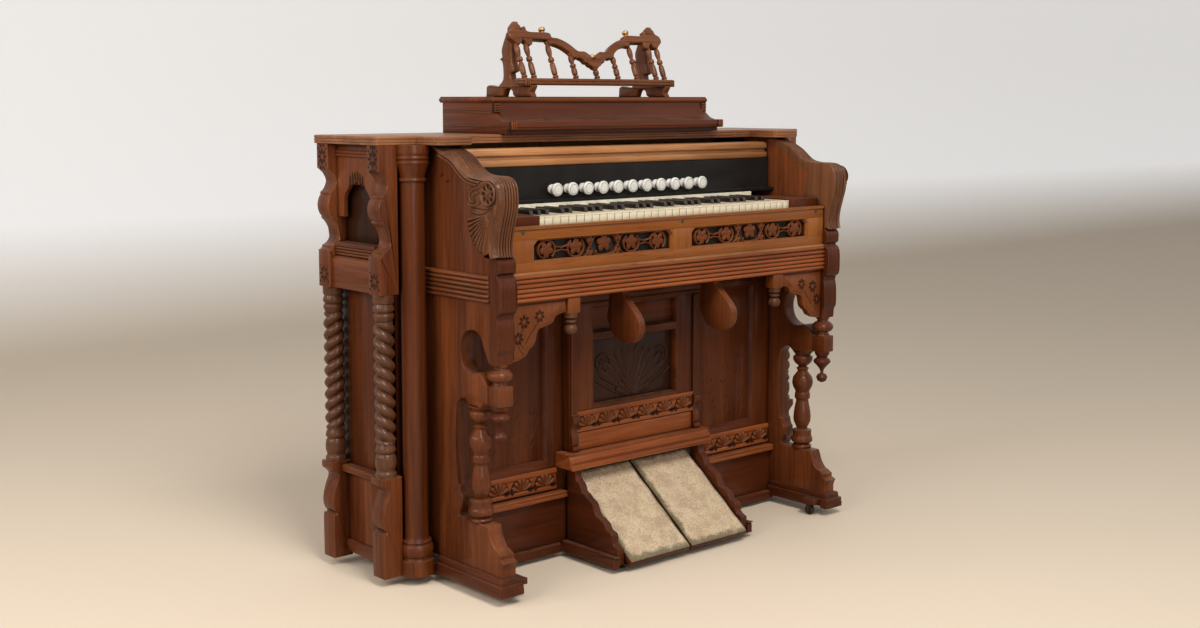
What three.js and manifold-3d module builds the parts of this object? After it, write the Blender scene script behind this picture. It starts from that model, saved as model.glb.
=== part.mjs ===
// Pump organ (parlour reed organ) with twisted corner columns, modelled as an assembly of separate
// wooden, carpeted and metal pieces. Lengths are millimetres, +Z is up and the player sits at -Y.
// Heights below are measured from the underside of the feet, depths from the front of the white keys.
import * as THREE from 'three';
import { mergeVertices } from 'three/addons/utils/BufferGeometryUtils.js';
import Module from 'manifold-3d';

const wasm = await Module();
wasm.setup();

// General fitting values
const clearance = 0.3;
const lap = 1.5;
const overrun = 4;
const weldDistance = 0.0005;

// Case: the two cheeks, the corner columns and the wide rear body
const cheekInner = 525;
const cheekBoard = 39;
const cheekRelief = 21;
const carcassHalfWidth = 648;
const carcassBoard = 18;
const postReach = 49;
const postWidth = 50;
const caseFront = 219;
const caseBack = 486;
const closingBoardFront = 263;
const topUnderside = 992;
const topThickness = 20;
const topSideLip = 5;
const topFrontLip = 1;
const topBackLip = 2;
const hornInner = 505;
const hornOuter = 598;
const hornFront = 122;
const bottomHeight = 20;
const bottomThickness = 20;
const backThickness = 16;

// Keyboard: thirty-six white keys from F to F
const naturalCount = 36;
const naturalPitch = 23.5;
const naturalGap = 1;
const naturalLength = 150;
const naturalBar = 35;
const keyThickness = 20;
const keyTop = 832;
const naturalDip = 10;
const sharpWidth = 10;
const sharpSlot = 13;
const sharpFront = 48;
const sharpBack = 146;
const sharpRise = 11;
const sharpDrop = 32;
const sharpBar = 12;
const sharpDip = 8;
const keyTipLength = 3;
const balanceRail = 12;
const balanceSetBack = 10;
const balanceGap = 0.8;

// Key bed, reeded rail and key slip
const bedUnderside = 647;
const bedThickness = 20;
const bedBack = 440;
const railTop = 709;
const railBack = -12;
const railDepth = 21;
const reedCount = 6;
const reedDepth = 7;
const slipDepth = 20;
const slipFace = -33;
const slipTop = 815;
const slipLip = 3;
const slipLipHeight = 6;
const windowInner = 32;
const windowOuter = 459;
const windowBottom = 735;
const windowTop = 785;
const windowChamfer = 12;
const fretFace = -25;
const fretThickness = 6;
const fretScrolls = 5;
const keyBlockBack = 136;
const keyBlockTop = 836;

// Stops and the sliding fall
const stopCount = 11;
const stopPitch = 48.9;
const stopHeight = 880;
const stopBoardFace = 168;
const stopBoardThickness = 18;
const stopBoardBottom = 849;
const stopLip = 20;
const stopLipHeight = 8;
const stopShelfBack = 430;
const stopShelfThickness = 18;
const stripHalfLength = 436;
const stripHeight = 14;
const stripDepth = 14;
const fallHalfWidth = 523;
const fallFace = 171;
const fallBottom = 936;
const fallHeight = 44;
const fallBack = 400;
const fallBoard = 22;
const fallNose = 42;
const fallGroove = 7;

// Castors
const wheelRadius = 13;
const wheelWidth = 12;
const axleHeight = -8;
const axleRadius = 2.5;
const axleClearance = 0.4;
const swivelTrail = 8;
const forkPlate = 3;
const forkPlateRadius = 15;
const forkCheek = 2.5;
const forkCheekDepth = 11;
const forkSideGap = 1;
const castorPocketRadius = 24;
const castorPocket = 12;
const frontCastorY = -20;
const castorInset = 7;
const castorBlock = { inset: 27, front: 22, back: 22, height: 14 };
const rearCastorInset = 58;
const rearCastorY = 430;

// Numbers of facets
const turnedFacets = 10;
const columnFacets = 16;
const twistFacets = 8;
const wheelFacets = 16;
const smallFacets = 6;

// Finishes
function finish(color, roughness, metalness) {
  return () => new THREE.MeshStandardMaterial({ color, roughness, metalness });
}
const walnut = finish(0x6e3620, 0.42, 0);
const darkWalnut = finish(0x4a2416, 0.45, 0);
const goldenOak = finish(0xa8642e, 0.4, 0);
const blackLacquer = finish(0x141312, 0.35, 0);
const ivory = finish(0xeee6d2, 0.35, 0);
const ebony = finish(0x17130f, 0.3, 0);
const porcelain = finish(0xf1efe9, 0.2, 0);
const silvered = finish(0xb9bda8, 0.4, 0.6);
const carpet = finish(0xc9b48c, 0.95, 0);
const castIron = finish(0x2a2826, 0.55, 0.8);
const pine = finish(0xb08a5a, 0.6, 0);
const bellowsCloth = finish(0x2e2c2a, 0.9, 0);

// Turns a geometry into a closed solid for joining and cutting
function solidOf(geometry) {
  const bare = new THREE.BufferGeometry();
  bare.setAttribute('position', geometry.getAttribute('position').clone());
  if (geometry.index) bare.setIndex(geometry.index.clone());
  const merged = mergeVertices(bare, weldDistance);
  const points = Float32Array.from(merged.getAttribute('position').array);
  const kept = [];
  const indices = merged.index.array;
  for (let i = 0; i < indices.length; i += 3) {
    const [a, b, c] = [indices[i], indices[i + 1], indices[i + 2]];
    if (a !== b && b !== c && c !== a) kept.push(a, b, c);
  }
  let volume = 0;
  const at = (i) => new THREE.Vector3(points[3 * i], points[3 * i + 1], points[3 * i + 2]);
  for (let i = 0; i < kept.length; i += 3) {
    volume += at(kept[i]).dot(at(kept[i + 1]).cross(at(kept[i + 2])));
  }
  if (volume < 0) {
    for (let i = 0; i < kept.length; i += 3) {
      const held = kept[i];
      kept[i] = kept[i + 1];
      kept[i + 1] = held;
    }
  }
  return new wasm.Manifold(new wasm.Mesh({
    numProp: 3,
    vertProperties: points,
    triVerts: Uint32Array.from(kept),
  }));
}

function geometryOf(solid) {
  const mesh = solid.getMesh();
  const geometry = new THREE.BufferGeometry();
  geometry.setAttribute('position', new THREE.BufferAttribute(Float32Array.from(mesh.vertProperties), 3));
  geometry.setIndex(new THREE.BufferAttribute(Uint32Array.from(mesh.triVerts), 1));
  geometry.computeVertexNormals();
  return geometry;
}

function joined(solids) {
  return solids.reduce((sum, solid) => sum.add(solid));
}

function cut(solid, tools) {
  return tools.reduce((rest, tool) => rest.subtract(tool), solid);
}

// The mirror image of a solid across the middle plane of the organ
function mirrored(solid) {
  const geometry = geometryOf(solid);
  const position = geometry.getAttribute('position');
  for (let i = 0; i < position.count; i += 1) position.setX(i, -position.getX(i));
  return solidOf(geometry);
}

function moved(solid, x, y, z) {
  const geometry = geometryOf(solid);
  geometry.translate(x, y, z);
  return solidOf(geometry);
}

function box(fromX, toX, fromY, toY, fromZ, toZ) {
  const geometry = new THREE.BoxGeometry(toX - fromX, toY - fromY, toZ - fromZ);
  geometry.translate((fromX + toX) / 2, (fromY + toY) / 2, (fromZ + toZ) / 2);
  return solidOf(geometry);
}

function extrusion(outline, depth) {
  const shape = new THREE.Shape(outline.map(([a, b]) => new THREE.Vector2(a, b)));
  return new THREE.ExtrudeGeometry(shape, { depth, bevelEnabled: false, steps: 1 });
}

// Extrusions of an outline along one axis: (Y, Z) along X, (X, Z) along Y and (X, Y) along Z
function alongX(outline, fromX, toX) {
  const geometry = extrusion(outline, toX - fromX);
  geometry.applyMatrix4(new THREE.Matrix4().set(0, 0, 1, fromX, 1, 0, 0, 0, 0, 1, 0, 0, 0, 0, 0, 1));
  return solidOf(geometry);
}

function alongY(outline, fromY, toY) {
  const geometry = extrusion(outline, toY - fromY);
  geometry.applyMatrix4(new THREE.Matrix4().set(1, 0, 0, 0, 0, 0, -1, toY, 0, 1, 0, 0, 0, 0, 0, 1));
  return solidOf(geometry);
}

function alongZ(outline, fromZ, toZ) {
  const geometry = extrusion(outline, toZ - fromZ);
  geometry.translate(0, 0, fromZ);
  return solidOf(geometry);
}

// A board in the (X, Z) plane with holes cut right through it
function piercedBoard(outline, fromY, toY, holes) {
  const tools = holes.map((hole) => alongY(hole, fromY - overrun, toY + overrun));
  return cut(alongY(outline, fromY, toY), tools);
}

// A turned piece with its axis along Z, from (radius, height) pairs listed upwards
function turned(profile, facets, x = 0, y = 0) {
  const first = profile[0][1];
  const last = profile[profile.length - 1][1];
  const points = [[0, first], ...profile, [0, last]].map(([r, z]) => new THREE.Vector2(r, z));
  const geometry = new THREE.LatheGeometry(points, facets);
  geometry.rotateX(Math.PI / 2);
  geometry.translate(x, y, 0);
  return solidOf(geometry);
}

// Places a table of shares in a rectangle of real sizes
function placed(shares, fromA, toA, fromB, toB) {
  return shares.map(([a, b]) => [fromA + a * (toA - fromA), fromB + b * (toB - fromB)]);
}

// Points of a reeded face, upwards: each reed is a flat-topped ridge between two grooves
const reedShares = [[0.4, 0.05], [1, 0.3], [1, 0.7], [0.4, 0.95]];
function reeded(face, depth, bottom, top, count) {
  const height = (top - bottom) / count;
  const points = [];
  for (let i = 0; i < count; i += 1) {
    reedShares.forEach(([out, up]) => {
      points.push([face + out * depth, bottom + (i + up) * height]);
    });
  }
  return points;
}

const organ = new THREE.Group();

function add(name, solid, material, parent = organ) {
  const mesh = new THREE.Mesh(geometryOf(solid), material());
  mesh.name = name;
  parent.add(mesh);
  return mesh;
}

function addPair(name, solid, material) {
  add(`${name}_right`, solid, material);
  add(`${name}_left`, mirrored(solid), material);
}

// Top board with the two horns that run out over the cheeks
const topHalfWidth = carcassHalfWidth + postReach + topSideLip;
const topFront = caseFront - topFrontLip;
const topBack = caseBack + topBackLip;
const topOutline = [
  [-topHalfWidth, topBack], [-topHalfWidth, topFront], [-hornOuter, topFront], [-hornOuter, hornFront],
  [-hornInner, hornFront], [-hornInner, topFront], [hornInner, topFront], [hornInner, hornFront],
  [hornOuter, hornFront], [hornOuter, topFront], [topHalfWidth, topFront], [topHalfWidth, topBack],
];
const topSurface = topUnderside + topThickness;
add('top_board', alongZ(topOutline, topUnderside, topSurface), walnut);

// Desk box on the top: a long hollow cove front under a thin lid
const desk = {
  halfLength: 358, front: 180, coveBack: 246, back: 455, lidUnder: 1086, lidThickness: 15,
  lidFront: 242, lidBack: 465, lidHalfLength: 361, wall: 18, backWall: 18, coveWall: 19,
};
const deskFrontShares = [
  [0.28, 0], [0.28, 0.135], [0, 0.135], [0, 0.405], [0.26, 0.405], [0.28, 0.375], [0.5, 0.4],
  [0.7, 0.47], [0.85, 0.585], [0.95, 0.74], [0.985, 0.9], [1, 0.93], [1, 1],
];
const deskSection = [
  ...placed(deskFrontShares, desk.front, desk.coveBack, topSurface, desk.lidUnder + lap),
  [desk.back, desk.lidUnder + lap], [desk.back, topSurface],
];
const deskLidTop = desk.lidUnder + desk.lidThickness;
const deskLid = box(-desk.lidHalfLength, desk.lidHalfLength, desk.lidFront, desk.lidBack,
  desk.lidUnder, deskLidTop);
const deskHollow = box(-desk.halfLength + desk.wall, desk.halfLength - desk.wall,
  desk.coveBack + desk.coveWall, desk.back - desk.backWall, topSurface - overrun, desk.lidUnder);
add('desk_box', cut(joined([
  alongX(deskSection, -desk.halfLength, desk.halfLength), deskLid,
]), [deskHollow]), walnut);

// Music rack: two scrolled stands, a ledge, nine turned spindles and a scalloped rail, leaning back
const rack = {
  standInner: 215, standThickness: 20, standFront: 256, standBack: 438, standHeight: 184,
  ledgeHalfLength: 262, ledgeFront: 256, ledgeBack: 292, ledgeUnder: 28, ledgeThickness: 17,
  ledgeEnd: 14, leanFootY: 278, railHalfLength: 255, railUnder: 28, railTop: 145, railThickness: 18,
  spindleRadius: 6.5, spindleSink: 9, spindleRise: 8, finialRadius: 9.5, finialStem: 3.5,
  finialHeight: 17, finialX: 141,
};
const rackLean = 22.8;
const standShares = [
  [0, 0], [0.033, 0.06], [-0.016, 0.13], [0, 0.152], [0.192, 0.152], [0.302, 0.196], [0.423, 0.234],
  [0.451, 0.31], [0.352, 0.342], [0.385, 0.408], [0.412, 0.484], [0.412, 0.62], [0.374, 0.69],
  [0.33, 0.755], [0.407, 1], [0.505, 0.924], [0.516, 0.875], [0.582, 0.766], [0.643, 0.63],
  [0.632, 0.533], [0.692, 0.505], [0.632, 0.462], [0.61, 0.364], [0.615, 0.234], [0.681, 0.174],
  [0.747, 0.136], [0.923, 0.158], [0.989, 0.136], [1, 0], [0.615, 0], [0.571, 0.087], [0.489, 0.109],
  [0.412, 0.076], [0.352, 0],
];
const railTopShares = [
  [1, 0.667], [0.992, 0.787], [0.945, 0.852], [0.925, 0.944], [0.886, 1], [0.847, 0.954],
  [0.827, 0.87], [0.808, 0.917], [0.78, 0.907], [0.749, 0.806], [0.51, 0.796], [0.475, 0.694],
  [0.408, 0.676], [0.329, 0.611], [0.259, 0.519], [0.184, 0.389], [0.102, 0.38], [0.047, 0.306],
  [0.016, 0.213], [0, 0.185],
];
const railUnderShares = [
  [0, 0], [0.047, 0.037], [0.086, 0.102], [0.125, 0.148], [0.173, 0.231], [0.251, 0.241],
  [0.298, 0.352], [0.373, 0.463], [0.463, 0.528], [0.525, 0.519], [0.549, 0.63], [0.729, 0.63],
  [0.745, 0.519], [0.784, 0.491], [0.816, 0.556], [0.847, 0.63], [0.878, 0.528], [0.918, 0.509],
  [0.957, 0.574],
];
const spindleShares = [
  [0.9, 0], [0.95, 0.14], [0.55, 0.22], [0.95, 0.45], [0.7, 0.55], [0.95, 0.78], [0.55, 0.86], [0.9, 1],
];
const spindlePlaces = [
  { xShare: 0, riseShare: 0 }, { xShare: 0.278, riseShare: 0.28 }, { xShare: 0.537, riseShare: 0.53 },
  { xShare: 0.808, riseShare: 0.55 }, { xShare: 0.925, riseShare: 0.53 },
];
const mirrorShares = (shares) => shares.map(([a, b]) => [-a, b]).reverse();
const railOutline = placed(
  [...railUnderShares, ...railTopShares, ...mirrorShares(railTopShares).slice(1),
    ...mirrorShares(railUnderShares).slice(0, -1)],
  0, rack.railHalfLength, rack.railUnder, rack.railTop,
);
const rackLedgeTop = deskLidTop + rack.ledgeUnder + rack.ledgeThickness;
const leaning = [alongY(railOutline, -rack.railThickness / 2, rack.railThickness / 2)];
spindlePlaces.forEach(({ xShare, riseShare }) => {
  const top = rack.railUnder + riseShare * (rack.railTop - rack.railUnder) + rack.spindleRise;
  const profile = placed(spindleShares, 0, rack.spindleRadius, -rack.spindleSink, top);
  const sides = xShare === 0 ? [1] : [1, -1];
  sides.forEach((side) => {
    leaning.push(turned(profile, smallFacets, side * xShare * rack.railHalfLength, 0));
  });
});
const finialTopShares = { middle: 0.185, outer: 0.796 };
const finialShares = [[0.37, -0.35], [0.37, 0.18], [0.9, 0.36], [1, 0.6], [0.75, 0.88], [0.3, 1]];
[[0, finialTopShares.middle], [rack.finialX, finialTopShares.outer],
  [-rack.finialX, finialTopShares.outer]].forEach(([x, share]) => {
  const seat = rack.railUnder + share * (rack.railTop - rack.railUnder);
  leaning.push(turned(
    placed(finialShares, 0, rack.finialRadius, seat, seat + rack.finialHeight), smallFacets, x, 0,
  ));
});
const leaningGeometry = geometryOf(joined(leaning));
leaningGeometry.rotateX(-THREE.MathUtils.degToRad(rackLean));
leaningGeometry.translate(0, rack.leanFootY, rackLedgeTop);
const standOutline = placed(
  standShares, rack.standFront, rack.standBack, deskLidTop, deskLidTop + rack.standHeight,
);
const stand = alongX(standOutline, rack.standInner, rack.standInner + rack.standThickness);
const ledgeOutline = [
  [-rack.ledgeHalfLength + rack.ledgeEnd, rack.ledgeBack], [-rack.ledgeHalfLength, rack.leanFootY],
  [-rack.ledgeHalfLength + rack.ledgeEnd, rack.ledgeFront],
  [rack.ledgeHalfLength - rack.ledgeEnd, rack.ledgeFront], [rack.ledgeHalfLength, rack.leanFootY],
  [rack.ledgeHalfLength - rack.ledgeEnd, rack.ledgeBack],
];
const ledge = alongZ(ledgeOutline, rackLedgeTop - rack.ledgeThickness, rackLedgeTop);
add('music_rack', joined([solidOf(leaningGeometry), stand, mirrored(stand), ledge]), walnut);

// Corner columns, each with a capital, a smooth shaft, a torus base and a round plinth
const column = {
  x: 610, shaft: 31, plinth: 41, plinthHeight: 38, torus: 39.5, torusHeight: 74, bead: 35,
  beadHeight: 82, footHeight: 105, neck: 930, ring: 34, ringHeight: 940, capital: 41,
};
const columnAxisY = caseFront;
const columnProfile = [
  [column.plinth, 0], [column.plinth, column.plinthHeight], [column.bead, column.plinthHeight + overrun],
  [column.torus, column.torusHeight - 2 * overrun], [column.torus, column.torusHeight - overrun],
  [column.bead, column.torusHeight], [column.bead, column.beadHeight], [column.shaft, column.footHeight],
  [column.shaft, column.neck], [column.ring, column.neck + overrun], [column.ring, column.ringHeight],
  [column.shaft, column.ringHeight + overrun], [column.shaft, column.ringHeight + 3 * overrun],
  [column.capital - overrun, column.ringHeight + 5 * overrun], [column.capital, topUnderside - 4 * overrun],
  [column.capital, topUnderside],
];
addPair('corner_column', turned(columnProfile, columnFacets, column.x, columnAxisY), walnut);
const columnNotch = turned(
  [[column.plinth + 2 * clearance, -overrun], [column.plinth + 2 * clearance, topSurface]],
  columnFacets, column.x, columnAxisY,
);

// End panels with the lower halves of the carved corner posts
const endFoot = {
  height: 234, panelBottom: 14, railTop: 226, railHeight: 18, railReach: 26, panelReach: 8,
  bottomRail: 28, bottomReach: 16,
};
const postFootShares = [
  [1, 0], [1, 0.415], [0.878, 0.444], [0.816, 0.466], [0.939, 0.504], [1.02, 0.564], [1, 0.641],
  [0.857, 0.752], [0.735, 0.812], [0.714, 0.855], [0.816, 0.889], [1.041, 0.932], [1.041, 1],
  [0, 1], [0, 0],
];
const postFront = caseFront;
const postRear = caseBack - postWidth;
const postOuter = carcassHalfWidth + postReach;
const postFootOutline = placed(postFootShares, carcassHalfWidth - lap, postOuter, 0, endFoot.height);
const betweenPostsFrom = postFront + postWidth - lap;
const betweenPostsTo = postRear + lap;
const endPanel = joined([
  box(carcassHalfWidth - carcassBoard, carcassHalfWidth, closingBoardFront, caseBack,
    endFoot.panelBottom, topUnderside),
  box(cheekInner + carcassBoard, carcassHalfWidth - lap, closingBoardFront,
    closingBoardFront + carcassBoard, endFoot.panelBottom, topUnderside),
  alongY(postFootOutline, postFront, postFront + postWidth),
  alongY(postFootOutline, postRear, postRear + postWidth),
  box(carcassHalfWidth - lap, carcassHalfWidth + endFoot.railReach, betweenPostsFrom, betweenPostsTo,
    endFoot.railTop - endFoot.railHeight, endFoot.railTop),
  box(carcassHalfWidth - lap, carcassHalfWidth + endFoot.panelReach, betweenPostsFrom, betweenPostsTo,
    endFoot.panelBottom, endFoot.railTop - lap),
  box(carcassHalfWidth - lap, carcassHalfWidth + endFoot.bottomReach, betweenPostsFrom, betweenPostsTo,
    endFoot.panelBottom, endFoot.panelBottom + endFoot.bottomRail),
]);
addPair('end_panel', cut(endPanel, [columnNotch]), walnut);

// Carved upper posts, joined by the arched fret, the shelf moulding and the lower rail
const endHead = {
  bottom: 655, lowRailTop: 729, lowRailReach: 42, shelfTop: 762, shelfReach: 34, fretBottom: 822,
  fretOuter: 24, fretThickness: 12, moldBottom: 961, moldTop: 977, moldReach: 30, plainReach: 22,
  archHalfWidth: 57, archSpring: 858, archTop: 898, toothHeight: 7,
};
const postHeadShares = [
  [1, 1], [1, 0.828], [0.878, 0.816], [0.694, 0.789], [0.551, 0.751], [0.551, 0.721], [0.694, 0.68],
  [0.857, 0.659], [0.857, 0.641], [0.918, 0.629], [1, 0.596], [1.02, 0.564], [0.98, 0.531],
  [0.878, 0.501], [0.816, 0.496], [0.816, 0.478], [0.653, 0.454], [0.49, 0.415], [0.408, 0.371],
  [0.429, 0.335], [0.571, 0.306], [0.816, 0.285], [0.816, 0.273], [0.939, 0.255], [1, 0.234], [1, 0],
  [0, 0], [0, 1],
];
const postHeadOutline = placed(postHeadShares, carcassHalfWidth, postOuter, endHead.bottom, topUnderside);
const archMiddle = (postFront + postWidth + postRear) / 2;
const archSteps = 12;
const archOutline = [
  [betweenPostsFrom, topUnderside], [betweenPostsFrom, endHead.fretBottom],
  [archMiddle - endHead.archHalfWidth, endHead.fretBottom],
];
for (let i = 0; i <= archSteps; i += 1) {
  const turn = Math.PI * (1 - i / archSteps);
  const tooth = i % 2 === 0 || i < 3 || i > archSteps - 3 ? 0 : endHead.toothHeight;
  archOutline.push([
    archMiddle + endHead.archHalfWidth * Math.cos(turn),
    endHead.archSpring + (endHead.archTop - endHead.archSpring) * Math.sin(turn) + tooth,
  ]);
}
archOutline.push([archMiddle + endHead.archHalfWidth, endHead.fretBottom]);
archOutline.push([betweenPostsTo, endHead.fretBottom], [betweenPostsTo, topUnderside]);
const fretOuterX = carcassHalfWidth + endHead.fretOuter;
const headPiece = joined([
  alongY(postHeadOutline, postFront, postFront + postWidth),
  alongY(postHeadOutline, postRear, postRear + postWidth),
  alongX(archOutline, fretOuterX - endHead.fretThickness, fretOuterX),
  box(carcassHalfWidth, carcassHalfWidth + endHead.plainReach, betweenPostsFrom, betweenPostsTo,
    endHead.moldTop - lap, topUnderside),
  box(carcassHalfWidth, carcassHalfWidth + endHead.moldReach, betweenPostsFrom, betweenPostsTo,
    endHead.moldBottom, endHead.moldTop),
  box(carcassHalfWidth, carcassHalfWidth + endHead.shelfReach, betweenPostsFrom, betweenPostsTo,
    endHead.lowRailTop - lap, endHead.shelfTop),
  box(carcassHalfWidth, carcassHalfWidth + endHead.lowRailReach, betweenPostsFrom, betweenPostsTo,
    endHead.bottom, endHead.lowRailTop),
]);
addPair('end_head', cut(headPiece, [columnNotch]), walnut);

// Twisted columns: two starts, with a turned neck and a turned base bulb
const twist = {
  inset: 23, radius: 24.5, grooveDepth: 8, pitch: 57, neckHeight: 62, baseHeight: 78, rowsPerRidge: 3,
};
const twistNeckShares = [
  [1, 1], [0.98, 0.72], [0.86, 0.66], [0.98, 0.52], [0.98, 0.42], [0.82, 0.33], [0.98, 0.22],
  [0.78, 0],
];
const twistBaseShares = [
  [1, 0], [1, 0.12], [0.86, 0.2], [1, 0.36], [0.96, 0.6], [0.8, 0.7], [0.98, 0.8], [0.78, 1],
];
function twistedColumn(hand) {
  const bottom = endFoot.height;
  const top = endHead.bottom - clearance;
  const neckFrom = top - twist.neckHeight;
  const baseTo = bottom + twist.baseHeight;
  const rows = placed(twistBaseShares, 0, twist.radius, bottom, baseTo)
    .map(([r, z]) => ({ z, radius: () => r }));
  const spacing = twist.pitch / 2 / twist.rowsPerRidge;
  const count = Math.round((neckFrom - baseTo) / spacing);
  for (let i = 1; i < count; i += 1) {
    const z = baseTo + ((neckFrom - baseTo) * i) / count;
    rows.push({
      z,
      radius: (angle) => {
        const ridge = Math.abs(Math.cos(angle - (hand * 2 * Math.PI * z) / twist.pitch));
        return twist.radius - twist.grooveDepth * (1 - ridge);
      },
    });
  }
  placed(twistNeckShares, 0, twist.radius, neckFrom, top).reverse()
    .forEach(([r, z]) => rows.push({ z, radius: () => r }));
  const points = [];
  rows.forEach((row) => {
    for (let k = 0; k < twistFacets; k += 1) {
      const angle = (2 * Math.PI * k) / twistFacets;
      const r = row.radius(angle);
      points.push(r * Math.cos(angle), r * Math.sin(angle), row.z);
    }
  });
  const lowest = rows.length * twistFacets;
  points.push(0, 0, bottom, 0, 0, top);
  const faces = [];
  for (let j = 0; j < rows.length - 1; j += 1) {
    for (let k = 0; k < twistFacets; k += 1) {
      const a = j * twistFacets + k;
      const b = j * twistFacets + ((k + 1) % twistFacets);
      faces.push(a, b, b + twistFacets, a, b + twistFacets, a + twistFacets);
    }
  }
  for (let k = 0; k < twistFacets; k += 1) {
    const next = (k + 1) % twistFacets;
    faces.push(lowest, next, k);
    faces.push(lowest + 1, lowest - twistFacets + k, lowest - twistFacets + next);
  }
  const geometry = new THREE.BufferGeometry();
  geometry.setAttribute('position', new THREE.BufferAttribute(Float32Array.from(points), 3));
  geometry.setIndex(faces);
  return solidOf(geometry);
}
const twistX = postOuter - twist.inset;
const twistFrontY = postFront + postWidth / 2;
const twistRearY = postRear + postWidth / 2;
const twistSpots = [
  ['twist_column_left_front', -twistX, twistFrontY, -1],
  ['twist_column_left_rear', -twistX, twistRearY, 1],
  ['twist_column_right_front', twistX, twistFrontY, 1],
  ['twist_column_right_rear', twistX, twistRearY, -1],
];
twistSpots.forEach(([name, x, y, hand]) => {
  add(name, twistedColumn(hand), walnut).position.set(x, y, 0);
});

// Cheek arms: the thick scrolled front of each cheek with its fan-shaped lower back edge
const arm = {
  front: -66, back: 150, bottom: 753, fanY: -38, fanZ: 848, fanOuter: 84, fanInner: 76, fanRays: 6,
  fanStart: -10, fanEnd: -75,
};
const armFrontShares = [
  [0.074, 0], [0.093, 0.063], [0.093, 0.134], [0.074, 0.218], [0.037, 0.331], [0, 0.456], [0, 0.594],
  [0.023, 0.665], [0.074, 0.711], [0.157, 0.732], [0.306, 0.734], [0.398, 0.741], [0.481, 0.757],
  [0.565, 0.795], [0.639, 0.845], [0.713, 0.895], [0.787, 0.929], [0.88, 0.958], [1, 1],
];
const armBackShares = [
  [1.139, 1], [1, 0.925], [0.88, 0.874], [0.787, 0.837], [0.694, 0.774], [0.611, 0.715],
  [0.528, 0.674], [0.454, 0.64], [0.426, 0.586], [0.458, 0.523],
];
const fanOutline = [];
for (let i = 0; i <= 2 * arm.fanRays; i += 1) {
  const turn = THREE.MathUtils.degToRad(
    arm.fanStart + ((arm.fanEnd - arm.fanStart) * i) / (2 * arm.fanRays),
  );
  const reach = i % 2 === 0 ? arm.fanInner : arm.fanOuter;
  fanOutline.push([arm.fanY + reach * Math.cos(turn), arm.fanZ + reach * Math.sin(turn)]);
}
const cheekFace = cheekInner + cheekBoard;
const post = {
  innerLip: 5, width: 48, front: -53, back: -12, corbelBottom: 515, blockBottom: 626,
  dropInset: 23.5, dropY: -17, midTop: 466, midBottom: 422, midInset: 4, midWidth: 38, midFront: -40,
  midBack: 3, dropBottom: 338,
};
const postInnerX = cheekInner - post.innerLip;
const postOuterX = postInnerX + post.width;
const dropX = postInnerX + post.dropInset;
const midInnerX = postInnerX + post.midInset;
const armOutline = [
  ...placed(armFrontShares, arm.front, arm.back, arm.bottom, topUnderside),
  ...placed(armBackShares, arm.front, arm.back, arm.bottom, topUnderside),
  ...fanOutline,
  [post.back, arm.bottom],
];
const armSolid = alongX(armOutline, cheekInner, cheekFace + cheekRelief);

// Front post below each arm: neck, reeded block, corbel, turned collar, square block and drop
const neckShares = [[0.366, 0.693], [0.171, 0.732], [0.122, 0.819], [0.146, 0.929], [0.366, 0.992]];
const blockShares = [
  [0.317, 0], [0.073, 0.063], [0, 0.189], [0, 0.472], [0.073, 0.583], [0.195, 0.638], [0.317, 0.654],
];
const corbelShares = [
  [0.463, 0], [0.415, 0.207], [0.293, 0.279], [0.244, 0.423], [0.268, 0.766], [0.366, 0.91],
  [0.317, 0.964],
];
const postOutline = [
  ...placed(corbelShares, post.front, post.back, post.corbelBottom, post.blockBottom),
  ...placed(blockShares, post.front, post.back, post.blockBottom, arm.bottom),
  ...placed(neckShares, post.front, post.back, post.blockBottom, arm.bottom),
  [(post.front + post.back) / 2, arm.bottom + lap], [post.back, arm.bottom + lap],
  [post.back, post.corbelBottom],
];
const collarRadius = 28;
const collarShares = [
  [0.15, 1.04], [0.15, 1], [0.62, 1], [0.62, 0.9], [0.5, 0.86], [0.52, 0.78], [0.75, 0.72], [1, 0.56],
  [1, 0.38], [0.8, 0.24], [0.55, 0.2], [0.6, 0.1], [0.7, 0.03], [0.7, -0.08],
];
const dropRadius = 22;
const dropShares = [
  [0.89, 1.03], [0.89, 0.93], [0.61, 0.81], [1, 0.715], [1, 0.64], [0.68, 0.55], [0.36, 0.45],
  [0.2, 0.36], [0.2, 0.29], [0.5, 0.25], [0.69, 0.165], [0.5, 0.05], [0.2, 0],
];
const postSolid = joined([
  alongX(postOutline, postInnerX, postOuterX),
  turned(placed(collarShares, 0, collarRadius, post.midTop, post.corbelBottom).reverse(),
    turnedFacets, dropX, post.dropY),
  box(midInnerX, midInnerX + post.midWidth, post.midFront, post.midBack, post.midBottom, post.midTop),
  turned(placed(dropShares, 0, dropRadius, post.dropBottom, post.midBottom).reverse(),
    turnedFacets, dropX, post.dropY),
]);
addPair('cheek', joined([armSolid, postSolid]), walnut);

// Turned legs under the cheeks
const leg = { x: 546.5, y: 53, bottom: 147, top: 412, radius: 28.5, tenonInset: 2 };
const legShares = [
  [0.88, 0], [0.91, 0.022], [0.72, 0.045], [1, 0.066], [1, 0.1], [0.9, 0.13], [0.91, 0.185],
  [0.5, 0.2], [0.58, 0.225], [0.81, 0.285], [0.79, 0.37], [0.66, 0.45], [0.58, 0.497], [0.72, 0.52],
  [0.72, 0.565], [0.66, 0.58], [0.72, 0.6], [0.9, 0.64], [0.98, 0.685], [0.9, 0.735], [0.67, 0.77],
  [0.46, 0.8], [0.6, 0.83], [0.36, 0.85], [0.74, 0.885], [0.91, 0.92], [0.91, 0.95], [0.7, 0.965],
  [0.9, 1],
];
addPair('leg', turned(
  placed(legShares, 0, leg.radius, leg.bottom + clearance, leg.top - clearance),
  turnedFacets, leg.x, leg.y,
), walnut);

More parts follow.
